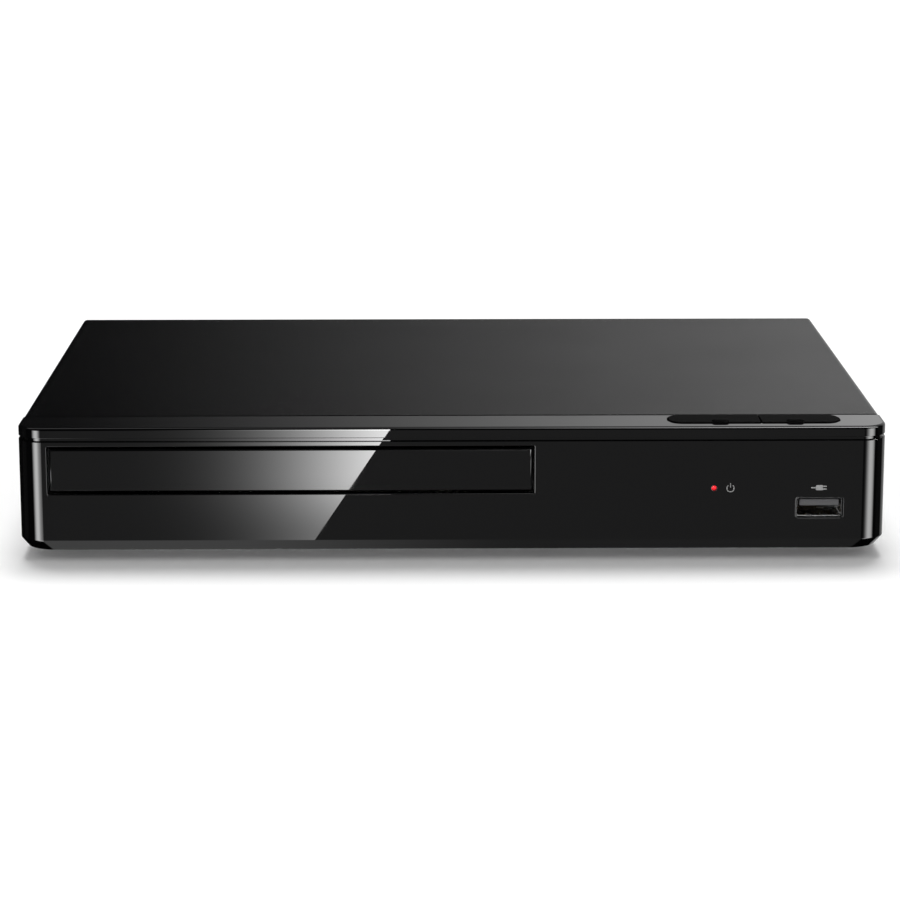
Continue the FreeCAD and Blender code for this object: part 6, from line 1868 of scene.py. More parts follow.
@dataclass
class RearSockets:
    """Sockets of the back: video, network, audio and mains."""

    skin: float = 0.4
    slope: float = 1.2
    shoulder: float = 1.6
    video_floor: float = 2.2
    tongue: tuple[float, float] = (11.8, 1.1)
    tongue_rise: float = 0.2
    tongue_recess: float = 0.9
    contact: tuple[float, float] = (0.45, 6.0)
    contact_rows: Sequence[tuple[int, float]] = ((10, -0.62), (9, 0.5))
    contact_thick: float = 0.12
    contact_recess: float = 4.4
    housing: tuple[float, float] = (14.3, 11.7)
    plug: tuple[float, float] = (11.8, 8.0)
    latch: tuple[float, float] = (5.9, 2.2)
    lamp: tuple[float, float] = (2.4, 1.3)
    lamp_place: tuple[float, float] = (5.5, 4.95)
    lamp_depth: float = 1.2
    latch_drop: float = 4.0
    shield_floor: float = 4.5
    shield_gap: float = 0.1
    core_floor: float = 6.0
    wire: float = 0.22
    wire_count: int = 8
    wire_pitch: float = 1.02
    wire_path: Pairs = ((-1.6, 3.6), (-2.2, 3.5), (-5.0, 2.4), (-8.0, 1.2), (-11.0, 0.3))
    collar: float = 4.55
    sleeve: float = 4.15
    bore: float = 3.65
    pin_hole: float = 1.6
    pin_shift: float = 4.3
    pin_radius: float = 1.15
    inlet_depth: float = 12.5
    inlet_radius: float = 4.0
    inlet_turn: float = 117.0

    def video(self) -> None:
        """Shell whose mouth narrows downwards, its tongue and two rows of contacts."""
        box = extent("hdmi_socket")
        x = box.middle[0]
        low, high = box.low, box.high
        mouth = high[1]
        reach = box.size[0] / 2 - self.skin
        bottom, top = low[2] + self.skin, high[2] - self.skin
        waist = bottom + self.shoulder
        half = [(reach - self.slope, bottom), (reach, waist), (reach, top)]
        opening = np.vstack([half, np.array(half[::-1]) * (-1, 1)]) + (x, 0)
        stack = Stack(Plane.FRONT)
        stack.pad(low[1], mouth, box.face(Plane.FRONT, 0, 0.6, 4))
        stack.pocket(low[1] + self.video_floor, mouth, opening)
        stamped("video_shell", "socket_steel", stack, ["hdmi_socket"], 0.1)
        z = box.middle[2] + self.tongue_rise
        blade = Outline(x, z, *self.tongue, 0.15, 2)
        tongue = Stack(Plane.FRONT).pad(low[1] + 2.0, mouth - self.tongue_recess, blade)
        stamped("video_tongue", "chip_black", tongue, (), 0.08)
        contacts = Stack(Plane.FLOOR)
        for count, rise in self.contact_rows:
            for step in range(count):
                place = Outline(x + step - (count - 1) / 2, mouth - self.contact_recess, *self.contact)
                contacts.pad(z + rise, z + rise + self.contact_thick, place)
        fit("video_contacts", "gold", contacts.settle(), slot_name="socket_steel")

    def network(self) -> None:
        """Shielded housing, a moulded mouth with a latch notch, eight contacts and two lamps."""
        box = extent("lan_socket")
        x, z = box.middle[0], box.middle[2]
        low, mouth = box.low, box.high[1]
        hole = Outline(x, z, *self.plug, 0.3, 3)
        latch = Outline(x, z - self.latch_drop, *self.latch, 0.2, 2)
        shield = Stack(Plane.FRONT)
        shield.pad(low[1], mouth, box.face(Plane.FRONT, 0, 0.7, 4))
        wide, tall = self.housing
        gap = self.shield_gap
        shield.pocket(low[1] + self.shield_floor, mouth, Outline(x, z, wide + gap, tall + gap, 0.4, 3))
        stamped("network_shield", "socket_steel", shield, ["lan_socket"], 0.1)
        face = mouth - 0.4
        core = Stack(Plane.FRONT).pad(low[1] + 4.0, face, Outline(x, z, wide, tall, 0.4, 3))
        core.pocket(low[1] + self.core_floor, face, hole, latch)
        across, drop = self.lamp_place
        lamps = [Outline(x + side * across, z - drop, *self.lamp, 0.2, 2) for side in (-1, 1)]
        core.pocket(mouth - self.lamp_depth, face, *lamps)
        stamped("network_core", "chip_black", core, (), 0.1)
        for name, finish, lamp in zip(("amber", "green"), ("lamp_amber", "lamp_green"), lamps):
            lens = Stack(Plane.FRONT).pad(mouth - 1.3, mouth - 0.45, lamp)
            fit("network_lamp_" + name, finish, lens.settle(), slot_name="chip_black")
        contacts = Skin()
        sag = np.array(self.wire_path) + (mouth, z)
        for step in range(self.wire_count):
            shift = (step - (self.wire_count - 1) / 2) * self.wire_pitch
            contacts.tube(Plane.SIDE.lift(sag, x + shift), self.wire, (1, 0, 0), 8)
        fit("network_contacts", "gold", contacts, slot_name="socket_steel")

    def audio(self) -> None:
        """Block, collar, sleeve with a rolled mouth, and the insulator with its centre hole."""
        block = extent("coax_jack")
        plug = extent("coax_insulator")
        x, z = plug.middle[0], plug.middle[2]
        back = REAR.low[1]
        tip = block.high[1]
        body = Outline(x, (block.low[2] + block.high[2]) / 2, 10, block.size[2], 0.5, 3)
        skin = Skin().slab(Plane.FRONT, block.low[1], back, body, 0.25)
        collar, sleeve, bore = self.collar, self.sleeve, self.bore
        skin.lathe(Plane.FRONT, x, z, [
            (collar, back - 0.2), (collar, back + 1.6), (collar - 0.15, back + 1.7), (sleeve, back + 1.7),
            (sleeve, tip - 0.25), (sleeve - 0.1, tip - 0.07), (sleeve - 0.25, tip), (bore + 0.1, tip - 0.07),
            (bore, tip - 0.25), (bore, back - 0.2), (collar, back - 0.2)], 64)
        fit("audio_jack", "jack_metal", skin, replaces=["coax_jack"])
        face = tip - 1.0
        fill, hole = bore - 0.02, self.pin_hole
        core = Skin().lathe(Plane.FRONT, x, z, [
            (0, back - 1), (fill, back - 1), (fill, face - 0.15), (fill - 0.13, face), (hole + 0.7, face),
            (hole + 0.5, face - 0.3), (hole + 0.15, face - 0.3), (hole, face - 0.5), (hole, back - 0.5),
            (0, back - 0.5)], 48)
        fit("audio_insulator", "jack_insulator", core, replaces=["coax_insulator"])

    def mains(self) -> None:
        """Housing with a mouth of two joined circles, and two pins with round tips."""
        box = extent("mains_inlet")
        x, z = box.middle[0], box.middle[2]
        mouth = box.high[1]
        floor = mouth - self.inlet_depth
        outer = box.face(Plane.FRONT, 0, 1.5)
        collar = box.face(Plane.FRONT, -1.2, 1.2)
        shift, turn = self.pin_shift, self.inlet_turn
        circles = np.vstack([arc(x + shift, z, self.inlet_radius, -turn, turn, 20),
                             arc(x - shift, z, self.inlet_radius, 180 - turn, 180 + turn, 20)])
        stack = Stack(Plane.FRONT).pad(box.low[1], mouth - 0.5, outer).pad(mouth - 0.5, mouth, collar)
        stack.pocket(floor, mouth, circles)
        stamped("mains_housing", "inlet_plastic", stack, ["mains_inlet"], 0.2)
        pins = Skin()
        r = self.pin_radius
        for side in (-shift, shift):
            pins.lathe(Plane.FRONT, x + side, z, [
                (0, floor - 0.3), (r, floor - 0.3), (r, floor + 8.9), (r - 0.15, floor + 9.5),
                (r - 0.55, floor + 9.9), (0, floor + 10)], 24)
        fit("mains_pins", "jack_metal", pins)

    def build(self) -> None:
        """All four sockets."""
        self.video()
        self.network()
        self.audio()
        self.mains()


@dataclass
class Mechanism:
    """Turned parts of the pickup's drive and of the turntable."""

    chamfer: float = 0.35
    thread_pitch: float = 2.0
    thread_radius: float = 0.3
    journal: float = 2.5
    ball_radius: float = 0.55
    ball_circle: float = 7.2
    ball_drop: float = 1.2
    ball_count: int = 3
    neck: float = 0.7
    hub_cap: Pairs = (
        (0.0, -0.4), (3.2, -0.4), (3.2, 0.05), (2.9, 0.1), (1.2, 0.1), (0.9, -0.1), (0.0, -0.1))

    def rods(self) -> None:
        """Two ground rods with chamfered ends."""
        rods = extent("guide_rods")
        radius = rods.size[2] / 2
        start, end = rods.low[1], rods.high[1]
        cut = self.chamfer
        skin = Skin()
        for x in (rods.low[0] + radius, rods.high[0] - radius):
            skin.lathe(Plane.FRONT, x, rods.middle[2], [
                (0, start), (radius - cut, start), (radius, start + cut), (radius, end - cut),
                (radius - cut, end), (0, end)], 32)
        fit("guide_rods_ground", "rod_steel", skin, replaces=["guide_rods"])

    def thread(self) -> None:
        """Screw whose thread is a round bar along a helix: sine and cosine of the way along it."""
        screw = extent("lead_screw")
        x, _, z = screw.middle
        core = screw.size[2] / 2 - self.thread_radius
        neck = core * self.neck
        start, end = screw.low[1], screw.high[1]
        near, far = start + self.journal, end - self.journal
        skin = Skin().lathe(Plane.FRONT, x, z, [
            (0, start), (neck, start), (neck, near), (core, near), (core, far), (neck, far), (neck, end),
            (0, end)], 24)
        way = np.arange(near, far, self.thread_pitch / 20)
        turn = way / self.thread_pitch * 2 * math.pi
        path = np.column_stack([x + core * np.cos(turn), way, z + core * np.sin(turn)])
        skin.tube(path, self.thread_radius, (0, 1, 0), 6)
        fit("lead_screw_thread", "rod_steel", skin, replaces=["lead_screw"])

    def balls(self) -> None:
        """Balls round the hub that hold a disc, half circles turned about upright axes."""
        table = extent("turntable")
        x, y, _ = table.middle
        top = table.high[2]
        level = top - self.ball_drop
        profile = arc(0, level, self.ball_radius, -90, 90, 8)
        skin = Skin()
        for place in arc(x, y, self.ball_circle, 0, 360, self.ball_count)[:-1]:
            skin.lathe(Plane.FLOOR, *place, profile, 16)
        cap = Skin().lathe(Plane.FLOOR, x, y, [(radius, top + rise) for radius, rise in self.hub_cap], 32)
        fit("hub_balls", "rod_steel", skin, cap, on="turntable")

    def build(self) -> None:
        """Rods, thread and hub."""
        self.rods()
        self.thread()
        self.balls()


def can(radius: float, low: float, high: float, foot: Pairs, crown: Pairs) -> list[tuple[float, float]]:
    """Profile of a can, from the middle of its foot to the middle of its top.

    Args:
        radius: Its radius.
        low: Level of the board.
        high: Level of the top.
        foot: Pairs of inset and height over the board.
        crown: Pairs of inset and depth under the top.

    Returns:
        Pairs of radius and level.
    """
    outer = [(radius - inset, low + rise) for inset, rise in foot]
    outer += [(radius - inset, high - drop) for inset, drop in crown]
    return [(0, outer[0][1]), *outer, (0, outer[-1][1])]


@dataclass
class PowerParts:
    """Large parts of the power board."""

    core_length: float = 20.0
    core_base: float = 2.2
    core_window: tuple[float, float] = (5.0, 4.2)
    coil_rise: float = 0.6
    coil_width: float = 0.52
    coil_margin: float = 6.0
    tape_thick: float = 0.3
    can_foot: Pairs = ((0.6, 0.0), (0.1, 0.5), (0.0, 1.2), (0.0, 2.0), (0.7, 2.6), (0.0, 3.3))
    can_crown: Pairs = ((0.0, 1.0), (0.3, 0.3), (1.0, 0.0), (1.6, 0.1), (1.9, 0.4))
    vent_drop: float = 0.28
    cap_length: float = 5.2
    cap_round: float = 0.3
    fuse_wire: float = 0.12
    wire_radius: float = 0.69
    wire_arch: float = 5.0
    wire_pitch: float = 2.2
    wire_count: int = 5

    def transformer(self) -> None:
        """Core of two halves with windings through it and a tape band."""
        box = extent("transformer")
        x, y, _ = box.middle
        low, high = box.low[2], box.high[2]
        width = box.size[0]
        length = self.core_length
        seat = low + self.core_base
        core = Stack(Plane.FLOOR).pad(seat, high, Outline(x, y, width, length, 0.8, 3))
        wide, deep = self.core_window
        for side in (-1, 1):
            core.pocket(high - deep, high, Outline(x + side * width / 2, y, wide, length * 0.45, 0.4, 3))
        core.pad(low, seat, Outline(x, y, width - 3, length + 5, 0.6, 3))
        fit("transformer_core", "core_ferrite", core.settle(), replaces=["transformer"], soften=0.25)
        coil, tape = Skin(), Skin()
        middle = (low + high) / 2 + self.coil_rise
        wide, tall = width * self.coil_width, high - low - self.coil_margin
        inner = Outline(x, middle, wide, tall, 1.6, 5)
        outer = Outline(x, middle, wide + self.tape_thick, tall + self.tape_thick, 1.7, 5)
        for skin, outline, reach, edge in ((coil, inner, (-1, 2.8), 0.5), (tape, outer, (0.1, 1.6), 0.05)):
            for side in (-1, 1):
                ends = sorted(y + side * (length / 2 + way) for way in reach)
                skin.slab(Plane.FRONT, *ends, outline, edge)
        fit("transformer_windings", "copper_wire", coil, slot_name="jack_metal")
        fit("transformer_tape", "yellow_tape", tape, slot_name="jack_insulator")

    def capacitor(self) -> None:
        """Can with a crimped groove, a rolled top edge and a scored vent."""
        box = extent("bulk_capacitor")
        x, y, _ = box.middle
        low, high = box.low[2], box.high[2]
        r = box.size[0] / 2
        skin = Skin().lathe(Plane.FLOOR, x, y, can(r, low, high, self.can_foot, self.can_crown), 64)
        floor = high - self.can_crown[-1][1]
        vent = Stack(Plane.FLOOR).pad(floor, high - self.vent_drop, cross(x, y, r * 0.6, 0.4)).settle()
        fit("bulk_capacitor_can", "capacitor_sleeve", skin, vent, replaces=["bulk_capacitor"])

    def fuse(self) -> None:
        """Glass tube between two rolled caps, with a thin wire along it."""
        box = extent("fuse")
        x, _, z = box.middle
        r = box.size[0] / 2
        start, end = box.low[1], box.high[1]
        cap = self.cap_length
        bent = self.cap_round
        caps = Skin()
        for edge, way in ((start, 1), (end, -1)):
            caps.lathe(Plane.FRONT, x, z, [
                (0, edge), (r - bent, edge), (r, edge + way * bent), (r, edge + way * (cap - bent)),
                (r - 0.2, edge + way * cap), (0, edge + way * cap)], 40)
        path = np.linspace((x, start + cap, z), (x, end - cap, z), 20)
        caps.tube(path, self.fuse_wire, (0, 0, 1), 6)
        fit("fuse_caps", "socket_steel", caps)
        glass = Skin().lathe(Plane.FRONT, x, z, [
            (0, start + cap - 0.4), (r - 0.3, start + cap - 0.4), (r - 0.25, (start + end) / 2),
            (r - 0.3, end - cap + 0.4), (0, end - cap + 0.4)], 40)
        fit("fuse_tube", "fuse_glass", glass, replaces=["fuse"])

    def harness(self) -> None:
        """Wires over half circles from header to header."""
        box = extent("power_harness")
        x, _, _ = box.middle
        low = box.low[2]
        first = box.low[1] + self.wire_radius
        wires = Skin()
        headers = Stack(Plane.FLOOR)
        for step in range(self.wire_count):
            y = first + step * self.wire_pitch
            arch = Plane.FRONT.lift(arc(x, low, self.wire_arch, 0, 180, 24), y)
            wires.tube(arch, self.wire_radius, (0, 1, 0), 12)
        for side in (-1, 1):
            foot = x + side * self.wire_arch
            headers.pad(low, low + 2.4, Outline(foot, first + 2 * self.wire_pitch, 2.6, 12.0, 0.2, 2))
        fit("harness_wires", "wire_red", wires, replaces=["power_harness"])
        fit("harness_headers", "ivory_plastic", headers.settle(), slot_name="ribbon_white", soften=0.1)

    def build(self) -> None:
        """Transformer, capacitor, fuse and harness."""
        self.transformer()
        self.capacitor()
        self.fuse()
        self.harness()


@dataclass(frozen=True)
class Kind:
    """Kind of small component: how many, their footprint and height."""

    count: int
    width: float
    length: float
    height: float


@dataclass
class SmallParts:
    """Small components that fill the free places of a board."""

    board: str
    taken: tuple[str, ...]
    kinds: tuple[Kind, Kind, Kind] = (
        Kind(46, 2.0, 1.25, 0.55), Kind(5, 5.0, 4.0, 1.4), Kind(5, 5.2, 5.2, 5.4))
    seed: int = 4
    tries: int = 4000
    gap: float = 0.5
    margin: float = 2.5
    rim: float = 1.0
    screw_reach: float = 8.0
    lead: float = 0.13
    lead_insets: tuple[float, ...] = (0.9, 0.55, 0.4, 0.1)
    lead_rises: tuple[float, ...] = (0.75, 0.75, 0.14, 0.14)
    can_foot: Pairs = ((0.0, 0.9), (0.0, 1.5), (0.3, 1.8), (0.0, 2.1))
    can_crown: Pairs = ((0.0, 0.4), (0.3, 0.05), (0.6, 0.0))

    def places(self) -> list[list[np.ndarray]]:
        """Find a free place for each component, large ones first.

        Returns:
            Boxes of low and high corners for each kind.
        """
        chance = np.random.default_rng(self.seed)
        board = extent(self.board)
        busy = [np.concatenate([extent(node).low[:2], extent(node).high[:2]]) for node in self.taken]
        corners = [(x, y) for x in (board.low[0], board.high[0]) for y in (board.low[1], board.high[1])]
        clear = self.screw_reach
        busy += [np.array([x - clear, y - clear, x + clear, y + clear]) for x, y in corners]
        found: list[list[np.ndarray]] = [[], [], []]
        for number in (2, 1, 0):
            kind = self.kinds[number]
            room = board.size[:2] - self.margin * 2
            spots = chance.random((self.tries, 2)) * room + board.low[:2] + self.margin
            turned = chance.random(self.tries) < 0.5
            half = np.where(turned[:, None], (kind.length, kind.width), (kind.width, kind.length)) / 2
            boxes = np.hstack([spots - half, spots + half])
            fits = (boxes[:, :2] > board.low[:2] + self.rim) & (boxes[:, 2:] < board.high[:2] - self.rim)
            for box in boxes[fits.all(axis=1)]:
                others = np.array(busy)
                apart = (others[:, :2] > box[2:] + self.gap) | (others[:, 2:] < box[:2] - self.gap)
                if apart.any(axis=1).all():
                    busy.append(box)
                    found[number].append(box)
                if len(found[number]) == kind.count:
                    break
        return found

    def build(self) -> None:
        """Chip parts with tinned ends, packages with bent leads, and cans on square feet."""
        level = extent(self.board).high[2]
        small, packages, cans = self.places()
        body, ends, legs, tops = Stack(Plane.FLOOR), Stack(Plane.FLOOR), Skin(), Skin()
        for box in small:
            middle, size = (box[:2] + box[2:]) / 2, box[2:] - box[:2]
            height = level + self.kinds[0].height
            ends.pad(level, height, Outline(*middle, *size, 0.08, 2))
            inner = size * np.where(size == size.max(), 0.6, 1.02)
            ends.pocket(level, height, Outline(*middle, *inner))
            body.pad(level, height - 0.03, Outline(*middle, *inner))
        for box in packages:
            middle, size = (box[:2] + box[2:]) / 2, box[2:] - box[:2]
            along = int(np.argmax(size))
            core = size - np.where(np.arange(2) == along, 0.0, 1.4)
            body.pad(level + 0.15, level + self.kinds[1].height, Outline(*middle, *core, 0.15, 2))
            for place in np.linspace(-1.5, 1.5, 4):
                for side in (-1, 1):
                    reach = size[1 - along] / 2
                    across = side * (reach - np.array(self.lead_insets))
                    heights = level + np.array(self.lead_rises)
                    path = np.empty((4, 3))
                    path[:, along] = middle[along] + place
                    path[:, 1 - along] = middle[1 - along] + across
                    path[:, 2] = heights
                    legs.tube(path, self.lead, np.eye(3)[along], 6)
        for box in cans:
            (x, y), size = (box[:2] + box[2:]) / 2, box[2:] - box[:2]
            body.pad(level, level + 1.0, Outline(x, y, *size, (0.9, 0, 0, 0.9), 2))
            r = size[0] / 2 - 0.25
            top = level + self.kinds[2].height
            tops.lathe(Plane.FLOOR, x, y, can(r, level, top, self.can_foot, self.can_crown), 28)
        name = self.board.replace("board", "parts")
        fit(name + "_bodies", "chip_black", body.settle(), soften=0.06)
        fit(name + "_ends", "jack_metal", ends.settle(), legs)
        if cans:
            fit(name + "_cans", "rod_steel", tops)


@dataclass
class ChipLeads:
    """Leads of the memory chips and of the processor."""

    pitch: float = 0.9
    reach: float = 0.75
    lead: float = 0.13
    memory: tuple[float, float] = (9.0, 13.5)
    bend: tuple[float, ...] = (-0.1, 0.25, 0.4, 1.0)
    rises: tuple[float, ...] = (0.55, 0.55, 0.13, 0.13)
    dot_inset: float = 1.2
    dot_radius: float = 0.45
    dot_levels: tuple[float, float] = (1.1, 1.12)

    def build(self) -> None:
        """Rows of bent leads, and a printed dot in a corner of each chip."""
        level = BOARD.high[2]
        processor = extent("main_processor")
        memory = extent("memory_chips")
        x, y, _ = processor.middle
        width, length = self.memory
        row = (memory.size[1] - length) / 2
        chips = [(x + side * width, y + end * row) for side in (-1, 1) for end in (-1, 1)]
        leads, dots = Skin(), Stack(Plane.FLOOR)
        bend = np.array(self.bend)
        heights = level + np.array(self.rises)
        low, high = self.dot_levels
        for chip_x, chip_y in chips:
            dot = disc(chip_x - width / 2 + self.dot_inset, chip_y + length / 2 - self.dot_inset,
                       self.dot_radius, 4)
            dots.pad(level + low, level + high, dot)
            for step in np.arange(-length / 2 + 1, length / 2 - 0.6, self.pitch):
                for side in (-1, 1):
                    path = np.column_stack([chip_x + side * (width / 2 + bend * self.reach),
                                            np.full(4, chip_y + step), heights])
                    leads.tube(path, self.lead, (0, 1, 0), 6)
        side_length = processor.size[0] / 2
        for step in np.arange(-side_length + 1.2, side_length - 1, self.pitch):
            for side in (-1, 1):
                out = side * (side_length + bend * self.reach)
                along = np.full(4, step)
                leads.tube(np.column_stack([x + out, y + along, heights]), self.lead, (0, 1, 0), 6)
                leads.tube(np.column_stack([x + along, y + out, heights]), self.lead, (1, 0, 0), 6)
        fit("chip_leads", "jack_metal", leads)
        fit("chip_dots", "white_print", dots.settle(), slot_name="chip_black")


INNER = (
    Mechanism(),
    PowerParts(),
    ChipLeads(),
    SmallParts("main_board", ("main_processor", "memory_chips", "heat_sink", "hdmi_socket", "lan_socket",
                              "coax_jack", "front_ribbon", "power_harness")),
    SmallParts("power_board", ("transformer", "bulk_capacitor", "fuse", "mains_inlet", "power_harness"),
               (Kind(18, 2.0, 1.25, 0.55), Kind(3, 5.0, 4.0, 1.4), Kind(4, 7.0, 7.0, 11.0)), 9),
    SmallParts("button_board", ("tact_switches",),
               (Kind(8, 2.0, 1.25, 0.5), Kind(0, 5, 4, 1), Kind(0, 5, 5, 5)), 2),
)


# Studio

class Ray(Enum):
    """Kinds of ray that a studio surface tells apart."""

    CAMERA = "Is Camera Ray"
    GLOSSY = "Is Glossy Ray"
    TRANSMISSION = "Is Transmission Ray"


Span = tuple[float, float]


@dataclass
class Studio:
    """Pale floor, reflection cards, soft light and the camera.

    The eye is measured from the middle of the front's upper edge. Each card's places are those
    of its X and Z, and each pair of a slope is where it starts and where it ends.
    """

    reach: float = 4000.0
    card_gap: float = 400.0
    back_gap: float = 900.0
    card_low: float = -900.0
    card_high: float = 3000.0
    card_side: float = 3000.0
    focal_pixels: float = 3038.0
    picture: int = 900
    far: float = 20.0
    eye: tuple[float, float, float] = (-8.2, -833.1, 177.5)
    turn: tuple[float, float, float] = (77.545, 0.039, -0.523)
    slant_low: Span = (-54.1, -95.4)
    slant_high: Span = (-21.97, -47.4)
    panel_x: float = -37.4
    panel_end: float = -300.0
    panel_sides: tuple[Span, Span] = ((-200.0, -160.0), (180.0, 260.0))
    panel_foot: Span = (-95.0, -66.0)
    panel_dim: float = 0.45
    panel_glow: float = 13.2
    fade_rate: float = 0.0295
    fade_square: float = 0.00034
    lip_start: float = 15.0
    lip_boost: float = 0.8
    front_glow: float = 0.25
    left_strip: tuple[Span, Span] = ((-172.0, -345.0), (-365.0, -620.0))
    right_strip: tuple[Span, Span] = ((240.0, 500.0), (530.0, 1150.0))
    strip_glow: Span = (11.0, 9.0)
    strip_top: float = 60.0
    panel_top: float = 150.0
    brow: Span = (500.0, 1300.0)
    brow_side: Span = (-80.0, 320.0)
    brow_glow: float = 14.0
    low_slope: Span = (-130.0, 60.0)
    low_sides: tuple[Span, Span] = ((-310.0, -245.0), (250.0, 330.0))
    low_left: float = 1.0
    low_right: float = 0.25
    side_glow: float = 0.03
    back_slopes: tuple[Span, Span] = ((-260.0, 620.0), (1500.0, 2500.0))
    back_left: float = 0.004
    back_right: float = 0.57
    stripe: Span = (259.6, 270.0)
    stripe_gain: float = 1.2
    floor_level: float = -0.05
    paper_near: Span = (0.93, 0.95)
    paper_far: Span = (0.5, 0.52)
    shadow_lift: float = 0.06
    ambient: float = 0.48
    sun: float = 2.25
    sun_turn: Span = (-24.0, 0.0)
    sun_width: float = 30.0

    def surface(
        self, name: str, corners: Sequence[tuple[float, float, float]], look: bpy.types.Material,
    ) -> bpy.types.Object:
        """Add one flat surface of the studio.

        Args:
            name: Its name.
            corners: Its four corners.
            look: Its material.

        Returns:
            The surface.
        """
        mesh = bpy.data.meshes.new(name)
        mesh.from_pydata((np.array(corners) * UNIT).tolist(), [], [(0, 1, 2, 3)])
        mesh.materials.append(look)
        plane = bpy.data.objects.new(name, mesh)
        bpy.context.scene.collection.objects.link(plane)
        return plane

    def card(self, name: str, start: Sequence[float], along: Sequence[float], up: Sequence[float],
             strength: Callable[[Graph], Value]) -> None:
        """Add a card that only reflections see.

        Args:
            name: Its name.
            start: One corner.
            along: From there to the next corner.
            up: From there to the corner before.
            strength: Works out its light.
        """
        graph = Graph(name)
        graph.material.cycles.emission_sampling = "NONE"
        light = graph.node("ShaderNodeEmission", {"Strength": strength(graph)})
        corner, side, rise = np.array(start), np.array(along), np.array(up)
        corners = [corner, corner + side, corner + side + rise, corner + rise]
        plane = self.surface(name, corners, graph.close(light))
        for kind in ("camera", "diffuse", "transmission", "volume_scatter", "shadow"):
            setattr(plane, "visible_" + kind, False)

    def band(self, x: Wire, rise: Span, fall: Span) -> Wire:
        """Upright band of light with soft sides."""
        return x.between(*rise) * (1 - x.between(*fall))

    def frontal(self, graph: Graph) -> Wire:
        """Front card: a low panel cut off along a slant, two side strips and a bright upper half.

        The panel fades to the left as the exponential of a quadratic.

        Args:
            graph: Graph to build in.

        Returns:
            The card's light.
        """
        x, _, z = graph.axes()
        (low_x, low_z), (high_x, high_z) = self.slant_low, self.slant_high
        slant = (z - low_z) * ((high_x - low_x) / (high_z - low_z)) + low_x
        edge = graph.math("MINIMUM", slant, high_x)
        away = x * -1 + self.panel_x
        fade = graph.math("POWER", math.e, away * (away * -self.fade_square - self.fade_rate))
        height = z.between(*self.panel_foot) * (1 - self.panel_dim) + self.panel_dim
        boost = (z > self.lip_start) * self.lip_boost + 1
        panel = (x < edge) * (x > self.panel_end) * fade * height * boost * self.panel_glow
        panel = panel + (z < self.lip_start) * self.front_glow
        left, right = self.strip_glow
        strips = self.band(x, *self.left_strip) * left + self.band(x, *self.right_strip) * right
        middle = self.band(x, *self.panel_sides)
        high = (z > self.brow[0]) * (z < self.brow[1]) * x.between(*self.brow_side) * self.brow_glow
        above = z > self.panel_top
        return (1 - above) * middle * panel + above * high + strips * (z < self.strip_top)

    def sideways(self, graph: Graph) -> Wire:
        """Dark on the left and pale on the right, with a paler stripe for the lip.

        Args:
            graph: Graph to build in.

        Returns:
            The card's light.
        """
        x, _, z = graph.axes()
        rise, fall = self.back_slopes
        pale = x.between(*rise) * (self.back_right - self.back_left) + self.back_left
        pale = pale * (1 - x.between(*fall))
        return pale * ((z > self.stripe[0]) * (z < self.stripe[1]) * self.stripe_gain + 1)

    def downward(self, graph: Graph) -> Wire:
        """Paler on the left, for the sloped lower edge.

        Args:
            graph: Graph to build in.

        Returns:
            The card's light.
        """
        x, _, _ = graph.axes()
        pale = (1 - x.between(*self.low_slope)) * (self.low_left - self.low_right) + self.low_right
        return self.band(x, *self.low_sides) * pale

    def seen(self, graph: Graph, *kinds: Ray) -> Wire:
        """Tell rays of the named kinds from the rest.

        Args:
            graph: Graph to build in.
            *kinds: The kinds.

        Returns:
            1 for them, 0 for the rest.
        """
        path = graph.node("ShaderNodeLightPath").socket.node.outputs
        total = Wire(graph, path[kinds[0].value])
        for kind in kinds[1:]:
            total = total + Wire(graph, path[kind.value])
        return graph.math("MINIMUM", total, 1.0)

    def floor(self) -> None:
        """Floor that the camera sees nearly white and that lights the player less."""
        graph = Graph("floor_paper")
        paper = graph.noise(30, 3)
        colours = [graph.mix(paper, *[(grey, grey, grey) for grey in greys])
                   for greys in (self.paper_far, self.paper_near)]
        shaders = [graph.node("ShaderNodeBsdfDiffuse", {"Color": colour}) for colour in colours]
        lift = graph.node("ShaderNodeEmission", {"Strength": self.shadow_lift})
        white = graph.node("ShaderNodeAddShader", {0: shaders[1], 1: lift})
        mixed = graph.node("ShaderNodeMixShader", {0: self.seen(graph, Ray.CAMERA), 1: shaders[0], 2: white})
        reach = self.reach
        corners = [(x * reach, y * reach, self.floor_level) for x, y in ((-1, -1), (1, -1), (1, 1), (-1, 1))]
        plane = self.surface("floor", corners, graph.close(mixed))
        plane.visible_glossy = False

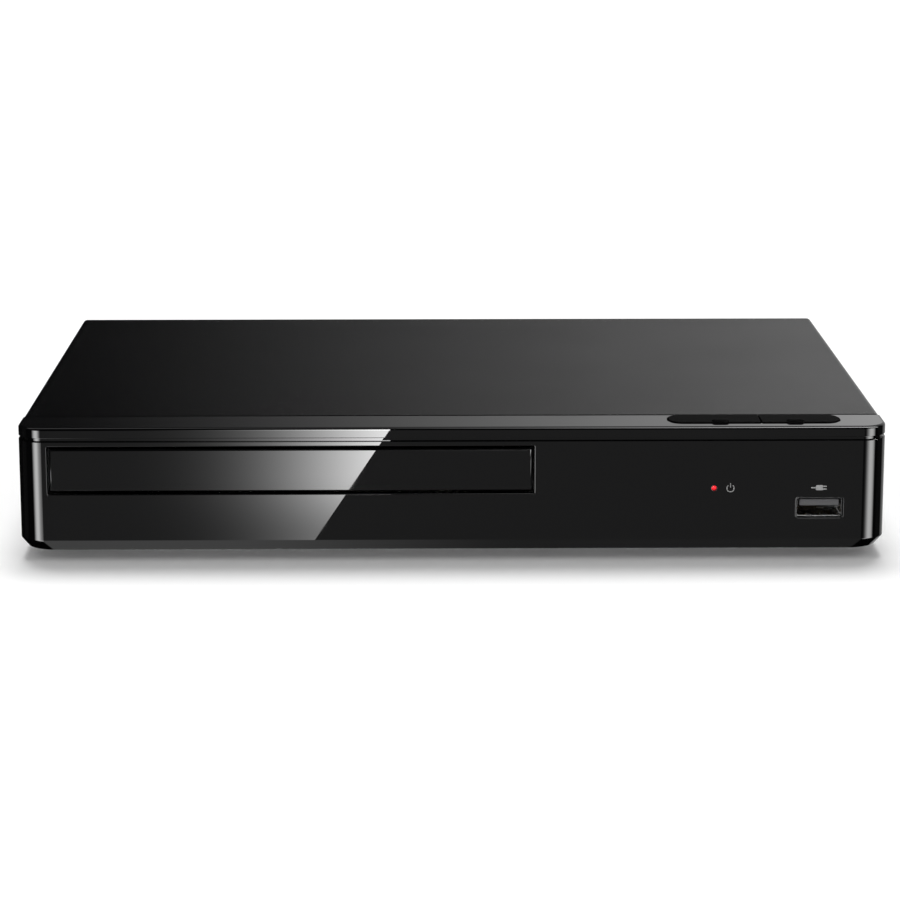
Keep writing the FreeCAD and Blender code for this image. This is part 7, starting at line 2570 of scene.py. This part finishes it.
    def surrounding(self) -> None:
        """White to the camera and to reflections, dimmer as a light."""
        world = bpy.data.worlds.new("surrounding")
        world.use_nodes = True
        background = world.node_tree.nodes["Background"]
        background.inputs["Color"].default_value = (1, 1, 1, 1)
        strength = self.seen(WorldGraph(world), *Ray) * (1 - self.ambient) + self.ambient
        world.node_tree.links.new(strength.socket, background.inputs["Strength"])
        bpy.context.scene.world = world

    def light(self) -> None:
        """Wide soft light from above and a little behind."""
        sun = bpy.data.lights.new("overhead", "SUN")
        sun.energy = self.sun
        sun.angle = math.radians(self.sun_width)
        lamp = bpy.data.objects.new("overhead", sun)
        lamp.visible_glossy = False
        lamp.rotation_euler = [math.radians(angle) for angle in (*self.sun_turn, 0)]
        bpy.context.scene.collection.objects.link(lamp)

    def camera(self) -> None:
        """Camera where the photograph was taken."""
        lens = bpy.data.cameras.new("camera")
        lens.lens = self.focal_pixels / self.picture * lens.sensor_width
        lens.clip_end = self.far
        camera = bpy.data.objects.new("camera", lens)
        camera.location = Vector(self.eye) * UNIT + Vector((0, FRONT, TOP)) * UNIT
        camera.rotation_euler = [math.radians(angle) for angle in self.turn]
        bpy.context.scene.collection.objects.link(camera)
        bpy.context.scene.camera = camera

    def build(self) -> None:
        """Floor, cards, surrounding, light and camera."""
        self.floor()
        front = FRONT - self.card_gap
        back = COVER.high[1] + self.back_gap
        side = self.card_side
        corner = (-side, front, self.card_low)
        across = (side * 2, 0, 0)
        deep = (0, back - front, 0)
        up = (0, 0, self.card_high - self.card_low)
        for name, start, along, rise, strength in (
            ("front_card", corner, across, up, self.frontal),
            ("left_card", corner, deep, up, lambda graph: self.side_glow),
            ("right_card", (side, front, self.card_low), deep, up, lambda graph: self.side_glow),
            ("low_card", corner, across, deep, self.downward),
            ("back_card", (-side, back, self.card_low), across, up, self.sideways),
        ):
            self.card(name, start, along, rise, strength)
        self.surrounding()
        self.light()
        self.camera()


def main() -> None:
    """Build every sub-assembly in order, then the studio."""
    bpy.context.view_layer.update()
    paint_nodes()
    outer = (Fascia(), TrayDoor(), Keys(), FrontSocket(), Cover(), BottomAndBack(), RearSockets())
    for part in (*outer, *INNER):
        part.build()
        log.info("%s is built", type(part).__name__)
    Studio().build()
    bpy.context.scene.view_settings.view_transform = "Standard"


if __name__ == "__main__":
    main()
